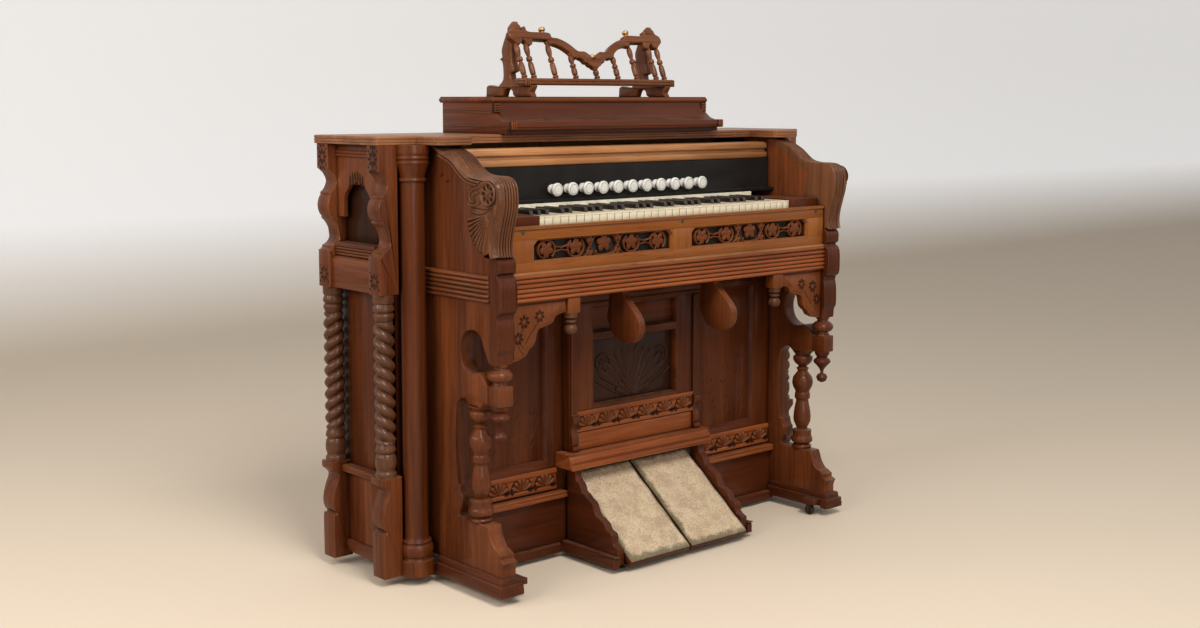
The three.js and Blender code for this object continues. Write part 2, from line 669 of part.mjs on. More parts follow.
// Sizes of the lower front and the pedal box, which the runners and the bottom board clear
const lower = {
  face: 160, back: 180, half: cheekInner - clearance, bottom: -8, top: bedUnderside - clearance,
  recess: 9, panelInner: 270, panelOuter: 459, panelBottom: 216, panelTop: 592, sillFace: 136,
  sillBottom: 128, sillTop: 143, plinthFace: 150, baseFace: 139, baseTop: 14, bayHalf: 219,
  bayFace: 131, openHalf: 200, openTop: 200, bayPanelHalf: 143, bayPanelBottom: 342,
  bayPanelTop: 508, bayRecess: 16, upperPanelBottom: 524, upperPanelTop: 590, shellRailBottom: 288,
  shellRailTop: 336, shellThickness: 5, sideShellBottom: 148, sideShellTop: 200, sideShellInner: 240,
};
const pedalBox = {
  wingInner: 200.5, wingThickness: 21, front: -48, wingTopY: 108, wingBottom: 36, baseOuter: 238,
  baseFront: -52, baseTop: 20, railTop: -3,
};
const wingOuter = pedalBox.wingInner + pedalBox.wingThickness;

// Side boards with the comma-shaped cut, the arched slot and the foot scroll, on their runners
const sideBoard = { notchReach: 103, notchTop: 583, slotReach: 125, footFront: -55, footBack: 24 };
const sideBand = { bottom: 650, top: 711, base: 4, reedDepth: 5 };
const runner = {
  inner: 515, outer: 580, front: -63, back: 188, height: 26, stepInset: 6, top: 40,
};
const commaCutShares = [
  [0.032, 0], [0.204, 0.142], [0.34, 0.202], [0.631, 0.167], [0.893, 0.288], [1, 0.528],
  [0.961, 0.768], [0.835, 0.923], [0.66, 0.991], [0.447, 1], [0.262, 0.906], [0.126, 0.67],
  [0.019, 0.49], [-0.049, 0.421],
];
const footScrollShares = [
  [0.089, 0], [0.089, 0.196], [0, 0.336], [0.177, 0.393], [0.177, 0.477], [0.354, 0.551],
  [0.456, 0.579], [0.633, 0.738], [0.728, 0.935], [0.772, 1],
];
const slotShares = [
  [0.672, 0], [0.896, 0.011], [0.896, 0.042], [0.824, 0.109], [0.8, 0.181], [0.856, 0.219],
  [0.888, 0.279], [0.952, 0.309], [1, 0.664], [0.968, 0.947], [0.864, 1.023], [0.712, 1.049],
  [0.592, 1.015], [0.576, 1],
];
const smallArchShares = [[0.23, 1], [0.144, 1.04], [0.05, 1.045]];
const upperBoardShares = [[0.25, 0.62], [0.62, 0.8], [0.83, 0.89], [1.03, 0.98]];
const boardFront = post.back + clearance;
const boardBack = closingBoardFront - clearance;
const seatBottom = leg.bottom;
const seatTop = leg.top;
const boardOutline = [
  ...placed(footScrollShares, sideBoard.footFront, sideBoard.footBack, runner.top - lap, seatBottom),
  ...placed(slotShares, 0, sideBoard.slotReach, seatBottom, seatTop),
  ...placed(smallArchShares, 0, sideBoard.slotReach, seatBottom, seatTop),
  [post.midBack + clearance, post.midBottom], [post.midBack + clearance, post.midTop],
  ...placed(commaCutShares, 0, sideBoard.notchReach, post.midTop, sideBoard.notchTop),
  [boardFront, post.corbelBottom], [boardFront, arm.bottom + lap],
  ...placed(upperBoardShares, arm.front, arm.back, arm.bottom, topUnderside),
  [arm.back + overrun, topUnderside], [boardBack, topUnderside], [boardBack, runner.top - lap],
];
const castorX = runner.inner - castorInset;
const runnerSolid = joined([
  box(runner.inner, runner.outer, runner.front, runner.back, 0, runner.height),
  box(runner.inner + runner.stepInset, runner.outer - runner.stepInset,
    runner.front + runner.stepInset, runner.back, runner.height - lap, runner.top),
  box(runner.inner - castorBlock.inset, runner.inner + lap, frontCastorY - castorBlock.front,
    frontCastorY + castorBlock.back, castorPocket, castorPocket + castorBlock.height),
]);
const bandOutline = [
  [cheekFace - lap, sideBand.bottom],
  ...reeded(cheekFace + sideBand.base, sideBand.reedDepth, sideBand.bottom, sideBand.top, reedCount),
  [cheekFace - lap, sideBand.top],
];
const sideBoardSolid = cut(
  joined([
    alongX(boardOutline, cheekInner, cheekFace), runnerSolid,
    alongY(bandOutline, boardFront, boardBack),
  ]),
  [
    moved(armSolid, 0, clearance, 0), moved(armSolid, 0, clearance, -clearance),
    moved(armSolid, 0, 0, -clearance),
    turned([[castorPocketRadius, -overrun], [castorPocketRadius, castorPocket + clearance]],
      turnedFacets, castorX, frontCastorY),
    box(runner.inner - overrun, cheekInner, lower.baseFace - clearance, runner.back + overrun,
      -overrun, runner.top + overrun),
  ],
);
addPair('side_board', sideBoardSolid, walnut);

// Pierced brackets between the posts and the reeded rail, each with a small turned drop
const bracket = {
  face: -30, thickness: 22, inner: 362, height: 128.7, blockInner: 326, blockHeight: 35.7, blockFace: -36,
  dropX: 344, dropY: -22, dropHeight: 50, dropRadius: 15.5,
};
const bracketEdgeShares = [
  [0, 0.764], [0.165, 0.715], [0.215, 0.667], [0.253, 0.593], [0.399, 0.541], [0.494, 0.512],
  [0.538, 0.439], [0.563, 0.309], [0.608, 0.228], [0.677, 0.171], [0.728, 0.089], [0.816, 0.033],
  [0.905, 0], [1, 0],
];
const bracketTop = bedUnderside - clearance;
const bracketBottom = bracketTop - bracket.height;
const bracketBlockBottom = bracketTop - bracket.blockHeight;
const bracketOuter = postInnerX - clearance;
const bracketOutline = [
  ...placed(bracketEdgeShares, bracket.inner, bracketOuter, bracketBottom, bracketTop),
  [bracketOuter, bracketTop], [bracket.inner - lap, bracketTop], [bracket.inner - lap, bracketBlockBottom],
];
const bracketDropShares = [
  [0.3, 0], [0.8, 0.08], [1, 0.26], [0.8, 0.42], [0.45, 0.5], [0.85, 0.58], [0.85, 0.66],
  [0.5, 0.72], [1, 0.8], [1, 1.04],
];
const bracketBack = bracket.face + bracket.thickness;
addPair('bracket', joined([
  alongY(bracketOutline, bracket.face, bracketBack),
  box(bracket.blockInner, bracket.inner, bracket.blockFace, bracketBack, bracketBlockBottom, bracketTop),
  turned(placed(bracketDropShares, 0, bracket.dropRadius, bracketBlockBottom - bracket.dropHeight,
    bracketBlockBottom), turnedFacets, bracket.dropX, bracket.dropY),
]), walnut);

// Key bed: floor board, reeded front rail, balance rail and the two key blocks
const keyboardHalf = (naturalCount * naturalPitch) / 2;
const bedHalf = postInnerX - clearance;
const bedFloor = bedUnderside + bedThickness;
const balanceBack = naturalLength + naturalBar + balanceSetBack;
const balanceFront = balanceBack - balanceRail;
const railFace = railBack - railDepth;
const reededRail = [
  [railBack, bedUnderside], ...reeded(railFace, -reedDepth, bedUnderside, railTop, reedCount),
  [railBack, railTop],
];
const keyBlockInner = keyboardHalf + naturalGap;
const keyBlock = box(keyBlockInner, bedHalf, railBack, keyBlockBack, bedUnderside, keyBlockTop);
add('key_bed', joined([
  alongX(reededRail, -bedHalf, bedHalf),
  box(-bedHalf, bedHalf, railBack - lap, bedBack, bedUnderside, bedFloor),
  box(-keyboardHalf, keyboardHalf, balanceFront, balanceBack, bedFloor - lap,
    keyTop - keyThickness - clearance),
  keyBlock, mirrored(keyBlock),
]), walnut);

// Key slip: a framed board with two windows of pierced scrollwork
const slipBack = slipFace + slipDepth;
function windowOutline(side) {
  return [
    [side * windowInner, windowBottom], [side * windowOuter, windowBottom],
    [side * windowOuter, windowTop - windowChamfer], [side * (windowOuter - windowChamfer), windowTop],
    [side * (windowInner + windowChamfer), windowTop], [side * windowInner, windowTop - windowChamfer],
  ];
}
const slipOutline = [
  [-bedHalf, railTop], [bedHalf, railTop], [bedHalf, slipTop], [-bedHalf, slipTop],
];
const scrollPitch = (windowOuter - windowInner) / fretScrolls;
const windowMiddle = (windowBottom + windowTop) / 2;
const scroll = {
  halfLengthShare: 0.4, halfHeightShare: 0.38, leafShare: 0.52, gapStart: 40, gapEnd: 320, steps: 6,
  cornerShare: 0.13,
};
function scrollHole(x, facing) {
  const points = [];
  const reachX = scroll.halfLengthShare * scrollPitch;
  const reachZ = scroll.halfHeightShare * (windowTop - windowBottom);
  const arc = (share, backwards) => {
    for (let i = 0; i <= scroll.steps; i += 1) {
      const t = backwards ? 1 - i / scroll.steps : i / scroll.steps;
      const turn = THREE.MathUtils.degToRad(scroll.gapStart + t * (scroll.gapEnd - scroll.gapStart));
      points.push([
        x + share * reachX * Math.sin(turn), windowMiddle + facing * share * reachZ * Math.cos(turn),
      ]);
    }
  };
  arc(1, false);
  arc(scroll.leafShare, true);
  return points;
}
function cornerHole(x, up) {
  const reach = scroll.cornerShare * scrollPitch;
  const edge = up ? windowTop - reach / 3 : windowBottom + reach / 3;
  const tip = up ? edge - reach : edge + reach;
  return [[x - reach, edge], [x + reach, edge], [x, tip]];
}
const fretHoles = [];
[-1, 1].forEach((side) => {
  for (let i = 0; i < fretScrolls; i += 1) {
    const x = side * (windowInner + (i + 0.5) * scrollPitch);
    fretHoles.push(scrollHole(x, i % 2 === 0 ? 1 : -1));
    if (i > 0) {
      fretHoles.push(cornerHole(side * (windowInner + i * scrollPitch), true));
      fretHoles.push(cornerHole(side * (windowInner + i * scrollPitch), false));
    }
  }
});
const fretOutline = [
  [-windowOuter - lap, windowBottom - lap], [windowOuter + lap, windowBottom - lap],
  [windowOuter + lap, windowTop + lap], [-windowOuter - lap, windowTop + lap],
];
add('key_slip', joined([
  piercedBoard(slipOutline, slipFace, slipBack, [windowOutline(-1), windowOutline(1)]),
  piercedBoard(fretOutline, fretFace, fretFace + fretThickness, fretHoles),
  box(-bedHalf, bedHalf, slipFace - slipLip, slipFace + lap, slipTop - slipLipHeight, slipTop),
]), goldenOak);

// White keys: thirty-six sticks joined by the bar behind, notched for the black keys
const naturalBottom = keyTop - keyThickness;
function hasSharp(index) {
  return [0, 1, 2, 4, 5].includes(index % 7) && index < naturalCount - 1;
}
const naturalOutline = [[-keyboardHalf, naturalLength + naturalBar]];
for (let i = 0; i < naturalCount; i += 1) {
  const left = -keyboardHalf + i * naturalPitch + naturalGap / 2;
  const right = left + naturalPitch - naturalGap;
  const leftNotch = i > 0 && hasSharp(i - 1) ? sharpSlot / 2 - naturalGap / 2 : 0;
  const rightNotch = hasSharp(i) ? sharpSlot / 2 - naturalGap / 2 : 0;
  if (i > 0) naturalOutline.push([left + leftNotch, naturalLength]);
  if (leftNotch > 0) {
    naturalOutline.push([left + leftNotch, sharpFront - keyTipLength], [left, sharpFront - keyTipLength]);
  }
  naturalOutline.push([i > 0 ? left : -keyboardHalf, 0], [i < naturalCount - 1 ? right : keyboardHalf, 0]);
  if (rightNotch > 0) {
    naturalOutline.push([right, sharpFront - keyTipLength], [right - rightNotch, sharpFront - keyTipLength]);
  }
  if (i < naturalCount - 1) naturalOutline.push([right - rightNotch, naturalLength]);
}
naturalOutline.push([keyboardHalf, naturalLength + naturalBar]);
add('natural_keys', alongZ(naturalOutline, naturalBottom, keyTop), ivory);

// Black keys: twenty-five sticks on a bar below the white ones
const sharpTop = keyTop + sharpRise;
const sharpLow = keyTop - sharpDrop;
const sharps = [
  box(-keyboardHalf + naturalPitch / 2, keyboardHalf - naturalPitch / 2, sharpFront + naturalDip,
    balanceFront - balanceGap, sharpLow - sharpBar, sharpLow),
];
const sharpStick = [
  [sharpFront, sharpLow - lap], [sharpFront, sharpTop - sharpDip], [sharpFront + sharpDip / 2, sharpTop],
  [sharpBack, sharpTop], [sharpBack, sharpLow - lap],
];
for (let i = 0; i < naturalCount; i += 1) {
  if (hasSharp(i)) {
    const x = -keyboardHalf + (i + 1) * naturalPitch;
    sharps.push(alongX(sharpStick, x - sharpWidth / 2, x + sharpWidth / 2));
  }
}
add('sharp_keys', joined(sharps), ebony);

// Stop board with its lower lip and the shelf behind that carries the fall
const stopHoleClearance = 0.5;
const stem = { radius: 6, length: 62 };
const stopHalf = cheekInner - clearance;
const stopBoardTop = fallBottom - clearance;
const stopPlaces = [];
for (let i = 0; i < stopCount; i += 1) stopPlaces.push((i - (stopCount - 1) / 2) * stopPitch);
const stopHoles = stopPlaces.map((x) => {
  const hole = [];
  for (let k = 0; k < turnedFacets; k += 1) {
    const turn = (2 * Math.PI * k) / turnedFacets;
    const r = stem.radius + stopHoleClearance;
    hole.push([x + r * Math.sin(turn), stopHeight + r * Math.cos(turn)]);
  }
  return hole;
});
const stopOutline = [
  [-stopHalf, stopBoardBottom], [stopHalf, stopBoardBottom], [stopHalf, stopBoardTop],
  [-stopHalf, stopBoardTop],
];
add('stop_board', joined([
  piercedBoard(stopOutline, stopBoardFace, stopBoardFace + stopBoardThickness, stopHoles),
  box(-stopHalf, stopHalf, stopBoardFace + stopBoardThickness - lap, stopShelfBack,
    stopBoardTop - stopShelfThickness, stopBoardTop),
  box(-stopHalf, stopHalf, stopBoardFace - stopLip, stopBoardFace + lap, stopBoardBottom,
    stopBoardBottom + stopLipHeight),
]), blackLacquer);

// Silvered strip along the backs of the keys, under the stop board's lip
const stripFront = stopBoardFace - stopLip;
add('key_strip', box(-stripHalfLength, stripHalfLength, stripFront, stripFront + stripDepth,
  stopBoardBottom - stripHeight + clearance, stopBoardBottom), silvered);

// Stop knobs: a stem through the board, a back flange and a wide round face
const knob = { radius: 14.3, reach: 28 };
const knobShares = [
  [0.5, 0], [1, 0.12], [1, 0.32], [0.5, 0.5], [0.5, 0.78], [0.84, 0.86], [0.84, 1],
];
stopPlaces.forEach((x, i) => {
  const profile = placed(knobShares, 0, knob.radius, -knob.reach, -clearance);
  profile.push([stem.radius, -clearance], [stem.radius, stem.length]);
  const geometry = geometryOf(turned(profile, turnedFacets));
  geometry.rotateX(-Math.PI / 2);
  const name = `stop_knob_${String(i + 1).padStart(2, '0')}`;
  const mesh = add(name, solidOf(geometry), porcelain);
  mesh.position.set(x, stopBoardFace, stopHeight);
});

// Fall board: it slides forward over the keys; its nose shows two rounded rails
const fallTop = fallBottom + fallHeight;
const fallNoseShares = [
  [0.2, 0], [0.04, 0.08], [0, 0.2], [0.05, 0.36], [1, 0.4], [1, 0.58], [0.05, 0.62], [0, 0.78],
  [0.06, 0.93], [0.25, 1],
];
const fallSection = [
  ...placed(fallNoseShares, fallFace, fallFace + fallGroove, fallBottom, fallTop),
  [fallFace + fallNose, fallTop], [fallFace + fallNose, fallBottom + fallBoard],
  [fallBack, fallBottom + fallBoard], [fallBack, fallBottom],
];
add('fall_board', alongX(fallSection, -fallHalfWidth, fallHalfWidth), goldenOak);

// Lower front: two flat bays with recessed panels and a centre bay that stands forward
const cornice = {
  halfLow: 241, halfMid: 238, halfHigh: 232, faceLow: 97, faceMid: 101, faceHigh: 108, midBottom: 212,
  highBottom: 226, top: 238,
};
const pilaster = {
  inner: 198, outer: 217, face: 126, bottom: 331, bracketFace: 119, bracketBottom: 252, bracketTop: 326,
};
const shell = {
  widthShare: 0.42, footShare: 0.3, riseShare: 0.5, innerWidthShare: 0.26, innerFootShare: 0.22,
  innerRiseShare: 0.36,
};
function shellStrip(from, to, bottom, top, face, count) {
  const holes = [];
  const pitch = (to - from) / count;
  const height = top - bottom;
  const shellSteps = 4;
  for (let i = 0; i < count; i += 1) {
    const middle = from + (i + 0.5) * pitch;
    const hole = [];
    for (let k = 0; k <= shellSteps; k += 1) {
      const turn = Math.PI * (k / shellSteps);
      hole.push([
        middle - shell.widthShare * pitch * Math.cos(turn),
        bottom + height * (shell.footShare + shell.riseShare * Math.sin(turn)),
      ]);
    }
    for (let k = shellSteps; k >= 0; k -= 1) {
      const turn = Math.PI * (k / shellSteps);
      hole.push([
        middle - shell.innerWidthShare * pitch * Math.cos(turn),
        bottom + height * (shell.innerFootShare + shell.innerRiseShare * Math.sin(turn)),
      ]);
    }
    holes.push(hole);
  }
  const outline = [[from, bottom], [to, bottom], [to, top], [from, top]];
  return piercedBoard(outline, face - lower.shellThickness, face + lap, holes);
}
const centreShells = 5;
const sideShells = 4;
const sideBay = cut(joined([
  box(lower.openHalf, lower.half, lower.face, lower.back, lower.bottom, lower.top),
  box(lower.openHalf + lap, lower.half, lower.plinthFace, lower.back, lower.bottom, lower.sillBottom + lap),
  box(wingOuter + clearance, lower.half, lower.sillFace, lower.back, lower.sillBottom, lower.sillTop),
  box(lower.openHalf + lap, lower.half, lower.baseFace, lower.back, lower.bottom, lower.baseTop),
]), [
  box(lower.panelInner, lower.panelOuter, lower.face - overrun, lower.face + lower.recess,
    lower.panelBottom, lower.panelTop),
]);
const sideShell = shellStrip(lower.sideShellInner, lower.half - overrun, lower.sideShellBottom,
  lower.sideShellTop, lower.face, sideShells);
const bay = cut(box(-lower.bayHalf, lower.bayHalf, lower.bayFace, lower.back, lower.openTop, lower.top), [
  box(-lower.bayPanelHalf, lower.bayPanelHalf, lower.bayFace - overrun, lower.bayFace + lower.bayRecess,
    lower.bayPanelBottom, lower.bayPanelTop),
  box(-lower.bayPanelHalf, lower.bayPanelHalf, lower.bayFace - overrun, lower.bayFace + lower.bayRecess,
    lower.upperPanelBottom, lower.upperPanelTop),
]);
const pilasterSolid = joined([
  box(pilaster.inner, pilaster.outer, pilaster.face, lower.bayFace + lap, pilaster.bottom, lower.top),
  box(pilaster.inner, pilaster.outer, pilaster.bracketFace, lower.bayFace + lap, pilaster.bracketBottom,
    pilaster.bracketTop),
]);
add('lower_front', joined([
  sideBay, mirrored(sideBay), sideShell, mirrored(sideShell), bay,
  shellStrip(-pilaster.inner, pilaster.inner, lower.shellRailBottom, lower.shellRailTop,
    lower.bayFace, centreShells),
  pilasterSolid, mirrored(pilasterSolid),
  box(-cornice.halfLow, cornice.halfLow, cornice.faceLow, lower.back, lower.openTop, cornice.midBottom + lap),
  box(-cornice.halfMid, cornice.halfMid, cornice.faceMid, lower.back, cornice.midBottom,
    cornice.highBottom + lap),
  box(-cornice.halfHigh, cornice.halfHigh, cornice.faceHigh, lower.back, cornice.highBottom, cornice.top),
]), darkWalnut);

// Pedal box: two scalloped wings on a low frame
const wingEdgeShares = [
  [0, 0], [0.115, 0.056], [0.141, 0.191], [0.256, 0.235], [0.301, 0.309], [0.417, 0.37],
  [0.506, 0.407], [0.577, 0.531], [0.603, 0.568], [0.705, 0.617], [0.769, 0.667], [0.833, 0.691],
  [0.885, 0.79], [0.974, 0.864], [1, 1],
];
const wingBack = lower.baseFace - clearance;
const wingTop = lower.openTop - clearance;
const wingOutline = [
  [pedalBox.front, lower.bottom],
  ...placed(wingEdgeShares, pedalBox.front, pedalBox.wingTopY, pedalBox.wingBottom, wingTop),
  [wingBack, wingTop], [wingBack, lower.bottom],
];
const wing = joined([
  alongX(wingOutline, pedalBox.wingInner, wingOuter),
  box(wingOuter - lap, pedalBox.baseOuter, pedalBox.baseFront, wingBack, lower.bottom, pedalBox.baseTop),
  box(pedalBox.wingInner, pedalBox.baseOuter, pedalBox.baseFront, pedalBox.front + lap, lower.bottom,
    pedalBox.railTop),
]);
const pedal = {
  gap: 3, outer: 198, length: 287, lipReach: 25, board: 16, carpetThickness: 6, carpetInset: 0.5,
  hingeY: -39, hingeZ: 5, hingeDrop: 3.5,
};
const pedalSlope = 37.3;
const barrelRadius = pedal.hingeDrop - clearance;
const barrelOutline = [
  [pedal.hingeY - barrelRadius, pedalBox.railTop - lap], [pedal.hingeY + barrelRadius, pedalBox.railTop - lap],
];
for (let k = 0; k <= smallFacets; k += 1) {
  const turn = (Math.PI * k) / smallFacets;
  barrelOutline.push([
    pedal.hingeY + barrelRadius * Math.cos(turn), pedal.hingeZ + barrelRadius * Math.sin(turn),
  ]);
}
add('pedal_box', joined([
  wing, mirrored(wing),
  box(-pedalBox.baseOuter + lap, pedalBox.baseOuter - lap, pedalBox.baseFront,
    pedal.hingeY + barrelRadius + lap, lower.bottom, pedalBox.railTop),
  alongX(barrelOutline, -pedal.outer, pedal.outer),
]), darkWalnut);

// Pedals: wooden treadles under carpet, hinged at their lower ends
[['left', -1], ['right', 1]].forEach(([side, sign]) => {
  const frame = new THREE.Group();
  frame.position.set(0, pedal.hingeY, pedal.hingeZ);
  frame.rotation.x = THREE.MathUtils.degToRad(pedalSlope);
  organ.add(frame);
  const from = sign > 0 ? pedal.gap : -pedal.outer;
  const to = sign > 0 ? pedal.outer : -pedal.gap;
  add(`pedal_${side}`, box(from, to, -pedal.lipReach, pedal.length - pedal.lipReach,
    pedal.hingeDrop, pedal.hingeDrop + pedal.board), darkWalnut, frame);
  const carpetFrom = pedal.hingeDrop + pedal.board + clearance;
  add(`pedal_carpet_${side}`, box(from + pedal.carpetInset, to - pedal.carpetInset,
    -pedal.lipReach + pedal.carpetInset, pedal.length - pedal.lipReach - pedal.carpetInset,
    carpetFrom, carpetFrom + pedal.carpetThickness), carpet, frame);
});

// Knee levers for the swell and the full organ
const knee = { inner: 146, thickness: 20, front: -61, back: 55, height: 127.7 };
const kneeShares = [
  [0.94, 1], [0.94, 0.795], [0.974, 0.582], [1, 0.418], [0.871, 0.213], [0.75, 0.074], [0.448, 0],
  [0.207, 0.041], [0.043, 0.172], [0, 0.336], [0.026, 0.459], [0.147, 0.598], [0.353, 0.762],
  [0.509, 0.893], [0.526, 1],
];
const kneeTop = bedUnderside - clearance;
addPair('knee_lever', alongX(
  placed(kneeShares, knee.front, knee.back, kneeTop - knee.height, kneeTop),
  knee.inner, knee.inner + knee.thickness,
), walnut);

// Castors: a swivelling fork with its axle, and the wheel on it
function addCastor(name, x, y, ceiling) {
  const frame = new THREE.Group();
  frame.position.set(x, y, 0);
  organ.add(frame);
  const cheekFrom = wheelWidth / 2 + forkSideGap;
  const plateTop = ceiling - clearance;
  const plateUnder = plateTop - forkPlate;
  const cheek = box(cheekFrom, cheekFrom + forkCheek, swivelTrail - forkCheekDepth / 2,
    swivelTrail + forkCheekDepth / 2, axleHeight - 2 * axleRadius, plateUnder + lap);
  const axle = geometryOf(turned([
    [axleRadius, -cheekFrom - forkCheek / 2], [axleRadius, cheekFrom + forkCheek / 2],
  ], smallFacets));
  axle.rotateY(Math.PI / 2);
  axle.translate(0, swivelTrail, axleHeight);
  add(`${name}_fork`, joined([
    turned([[forkPlateRadius, plateUnder], [forkPlateRadius, plateTop]], turnedFacets),
    cheek, mirrored(cheek), solidOf(axle),
  ]), castIron, frame);
  const bore = axleRadius + axleClearance;
  const half = wheelWidth / 2;
  const wheel = new THREE.LatheGeometry([
    [bore, -half], [bore, half], [wheelRadius - 2 * lap, half], [wheelRadius, half - 2 * lap],
    [wheelRadius, -half + 2 * lap], [wheelRadius - 2 * lap, -half], [bore, -half],
  ].map(([r, z]) => new THREE.Vector2(r, z)), wheelFacets);
  wheel.rotateZ(Math.PI / 2);
  add(`${name}_wheel`, solidOf(wheel), castIron, frame).position.set(0, swivelTrail, axleHeight);
}
addCastor('castor_left_front', -castorX, frontCastorY, castorPocket);
addCastor('castor_right_front', castorX, frontCastorY, castorPocket);
const rearCastorX = carcassHalfWidth - rearCastorInset;
addCastor('castor_left_rear', -rearCastorX, rearCastorY, bottomHeight);
addCastor('castor_right_rear', rearCastorX, rearCastorY, bottomHeight);

// Back panel and bottom board
const innerHalf = carcassHalfWidth - carcassBoard - clearance;
const bottomTop = bottomHeight + bottomThickness;
const closingBack = closingBoardFront + carcassBoard + clearance;
const narrowHalf = cheekInner + carcassBoard - clearance;
const bottomOutline = [
  [-innerHalf, caseBack - lap], [-innerHalf, closingBack], [-narrowHalf, closingBack],
  [-narrowHalf, boardBack + clearance], [-lower.half, boardBack + clearance],
  [-lower.half, lower.back + clearance], [lower.half, lower.back + clearance],
  [lower.half, boardBack + clearance], [narrowHalf, boardBack + clearance], [narrowHalf, closingBack],
  [innerHalf, closingBack], [innerHalf, caseBack - lap],
];
add('case_back', joined([
  box(-innerHalf, innerHalf, caseBack - backThickness, caseBack, bottomHeight, topUnderside),
  alongZ(bottomOutline, bottomHeight, bottomTop),
]), darkWalnut);

// Reed chest on the key bed behind the keys
const chest = { half: 470, front: 215, back: 425, height: 92, coverHeight: 18, coverInset: 16 };
add('reed_chest', joined([
  box(-chest.half, chest.half, chest.front, chest.back, bedFloor, bedFloor + chest.height),
  box(-chest.half + chest.coverInset, chest.half - chest.coverInset, chest.front + chest.coverInset,
    chest.back - chest.coverInset, bedFloor + chest.height - lap,
    bedFloor + chest.height + chest.coverHeight),
]), pine);

// Wind reservoir under the key bed with the trunk board that carries the exhausters
const reservoir = {
  half: 430, front: 232, back: 432, height: 86, trunkFace: 345, trunkThickness: 18, foldDepth: 10,
};
const reservoirTop = bedUnderside - clearance;
const reservoirBottom = reservoirTop - reservoir.height;
const foldShares = [[0, 0], [1, 0.25], [0, 0.5], [1, 0.75], [0, 1]];
const foldOutline = [
  ...placed(foldShares, reservoir.front, reservoir.front + reservoir.foldDepth, reservoirBottom,
    reservoirTop),
  ...placed(foldShares, reservoir.back, reservoir.back - reservoir.foldDepth, reservoirBottom,
    reservoirTop).reverse(),
];
add('bellows_reservoir', joined([
  alongX(foldOutline, -reservoir.half, reservoir.half),
  box(-reservoir.half, reservoir.half, reservoir.trunkFace,
    reservoir.trunkFace + reservoir.trunkThickness, bottomTop, reservoirBottom + lap),
]), bellowsCloth);

// Exhauster boards in front of the trunk, hinged at their lower edges and pulled by the pedals
const exhauster = { inner: 14, outer: 205, face: 310, thickness: 14, drop: 60.7 };
addPair('exhauster', box(exhauster.inner, exhauster.outer, exhauster.face,
  exhauster.face + exhauster.thickness, bottomTop + clearance, reservoirBottom - exhauster.drop), pine);

// The model stands with its origin on the floor, below the middle of its box
const floorLevel = axleHeight - wheelRadius;
const lipTravel = THREE.MathUtils.degToRad(pedalSlope);
const carpetTop = pedal.hingeDrop + pedal.board + clearance + pedal.carpetThickness;
const lipEdge = pedal.lipReach - pedal.carpetInset;
const boxFront = pedal.hingeY - lipEdge * Math.cos(lipTravel) - carpetTop * Math.sin(lipTravel);
organ.position.set(0, -(boxFront + topBack) / 2, -floorLevel);

const group = new THREE.Group();
group.add(organ);
group.updateMatrixWorld(true);

export default group;
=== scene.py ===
"""A parlour pump organ in carved walnut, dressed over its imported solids.

Sizes are written in millimetres on the drawing's own axes: X runs along the keyboard from its middle,
Y is depth from the front of the white keys and Z is height from the underside of the feet. The helper
`metres` turns them into the frame that the solids use.
"""
import logging
import math
from dataclasses import dataclass
from enum import Enum
from typing import Callable, Iterable, Sequence

import bmesh
import bpy
import numpy as np
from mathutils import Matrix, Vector
from mathutils.geometry import tessellate_polygon


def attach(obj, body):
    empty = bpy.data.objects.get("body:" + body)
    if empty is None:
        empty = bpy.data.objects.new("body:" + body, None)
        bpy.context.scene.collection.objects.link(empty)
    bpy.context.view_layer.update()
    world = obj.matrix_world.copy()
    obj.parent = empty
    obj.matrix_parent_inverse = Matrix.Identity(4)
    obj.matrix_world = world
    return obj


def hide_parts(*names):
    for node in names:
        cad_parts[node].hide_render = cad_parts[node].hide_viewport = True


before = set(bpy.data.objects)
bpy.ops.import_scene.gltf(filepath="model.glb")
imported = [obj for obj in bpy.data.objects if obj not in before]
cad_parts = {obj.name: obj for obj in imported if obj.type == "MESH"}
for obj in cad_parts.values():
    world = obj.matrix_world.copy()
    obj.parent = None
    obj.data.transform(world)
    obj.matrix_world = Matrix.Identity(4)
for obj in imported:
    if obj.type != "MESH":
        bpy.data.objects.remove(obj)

LOG = logging.getLogger("organ")
Point = tuple[float, float]
Shares = Sequence[Point]
Shape = tuple[np.ndarray, np.ndarray | list]
Colour = tuple[float, float, float]
COLOUR, NUMBER, VECTOR = "NodeSocketColor", "NodeSocketFloat", "NodeSocketVector"

# The organ's main measures in millimetres, and the small ones that many pieces share

DEPTH_SHIFT, FOOT_HEIGHT = -206.938, 21.0
TOP_UNDER, TOP_SURFACE = 992.0, 1012.0
CHEEK_INNER, CHEEK_FACE, ARM_FACE = 525.0, 564.0, 585.0
CARCASS_HALF, POST_OUTER = 648.0, 697.0
CASE_FRONT, CASE_BACK, POST_WIDTH = 219.0, 486.0, 50.0
BED_UNDER = 647.0
LAP = 1.5
ROUND_SHARE = 0.29
STROKE_CORNER, EASED_CORNER = 100.0, 32.0
TINY = 1e-9
FINE_BUMP = 0.0004

# Outlines, as shares of the rectangles that their pieces fill

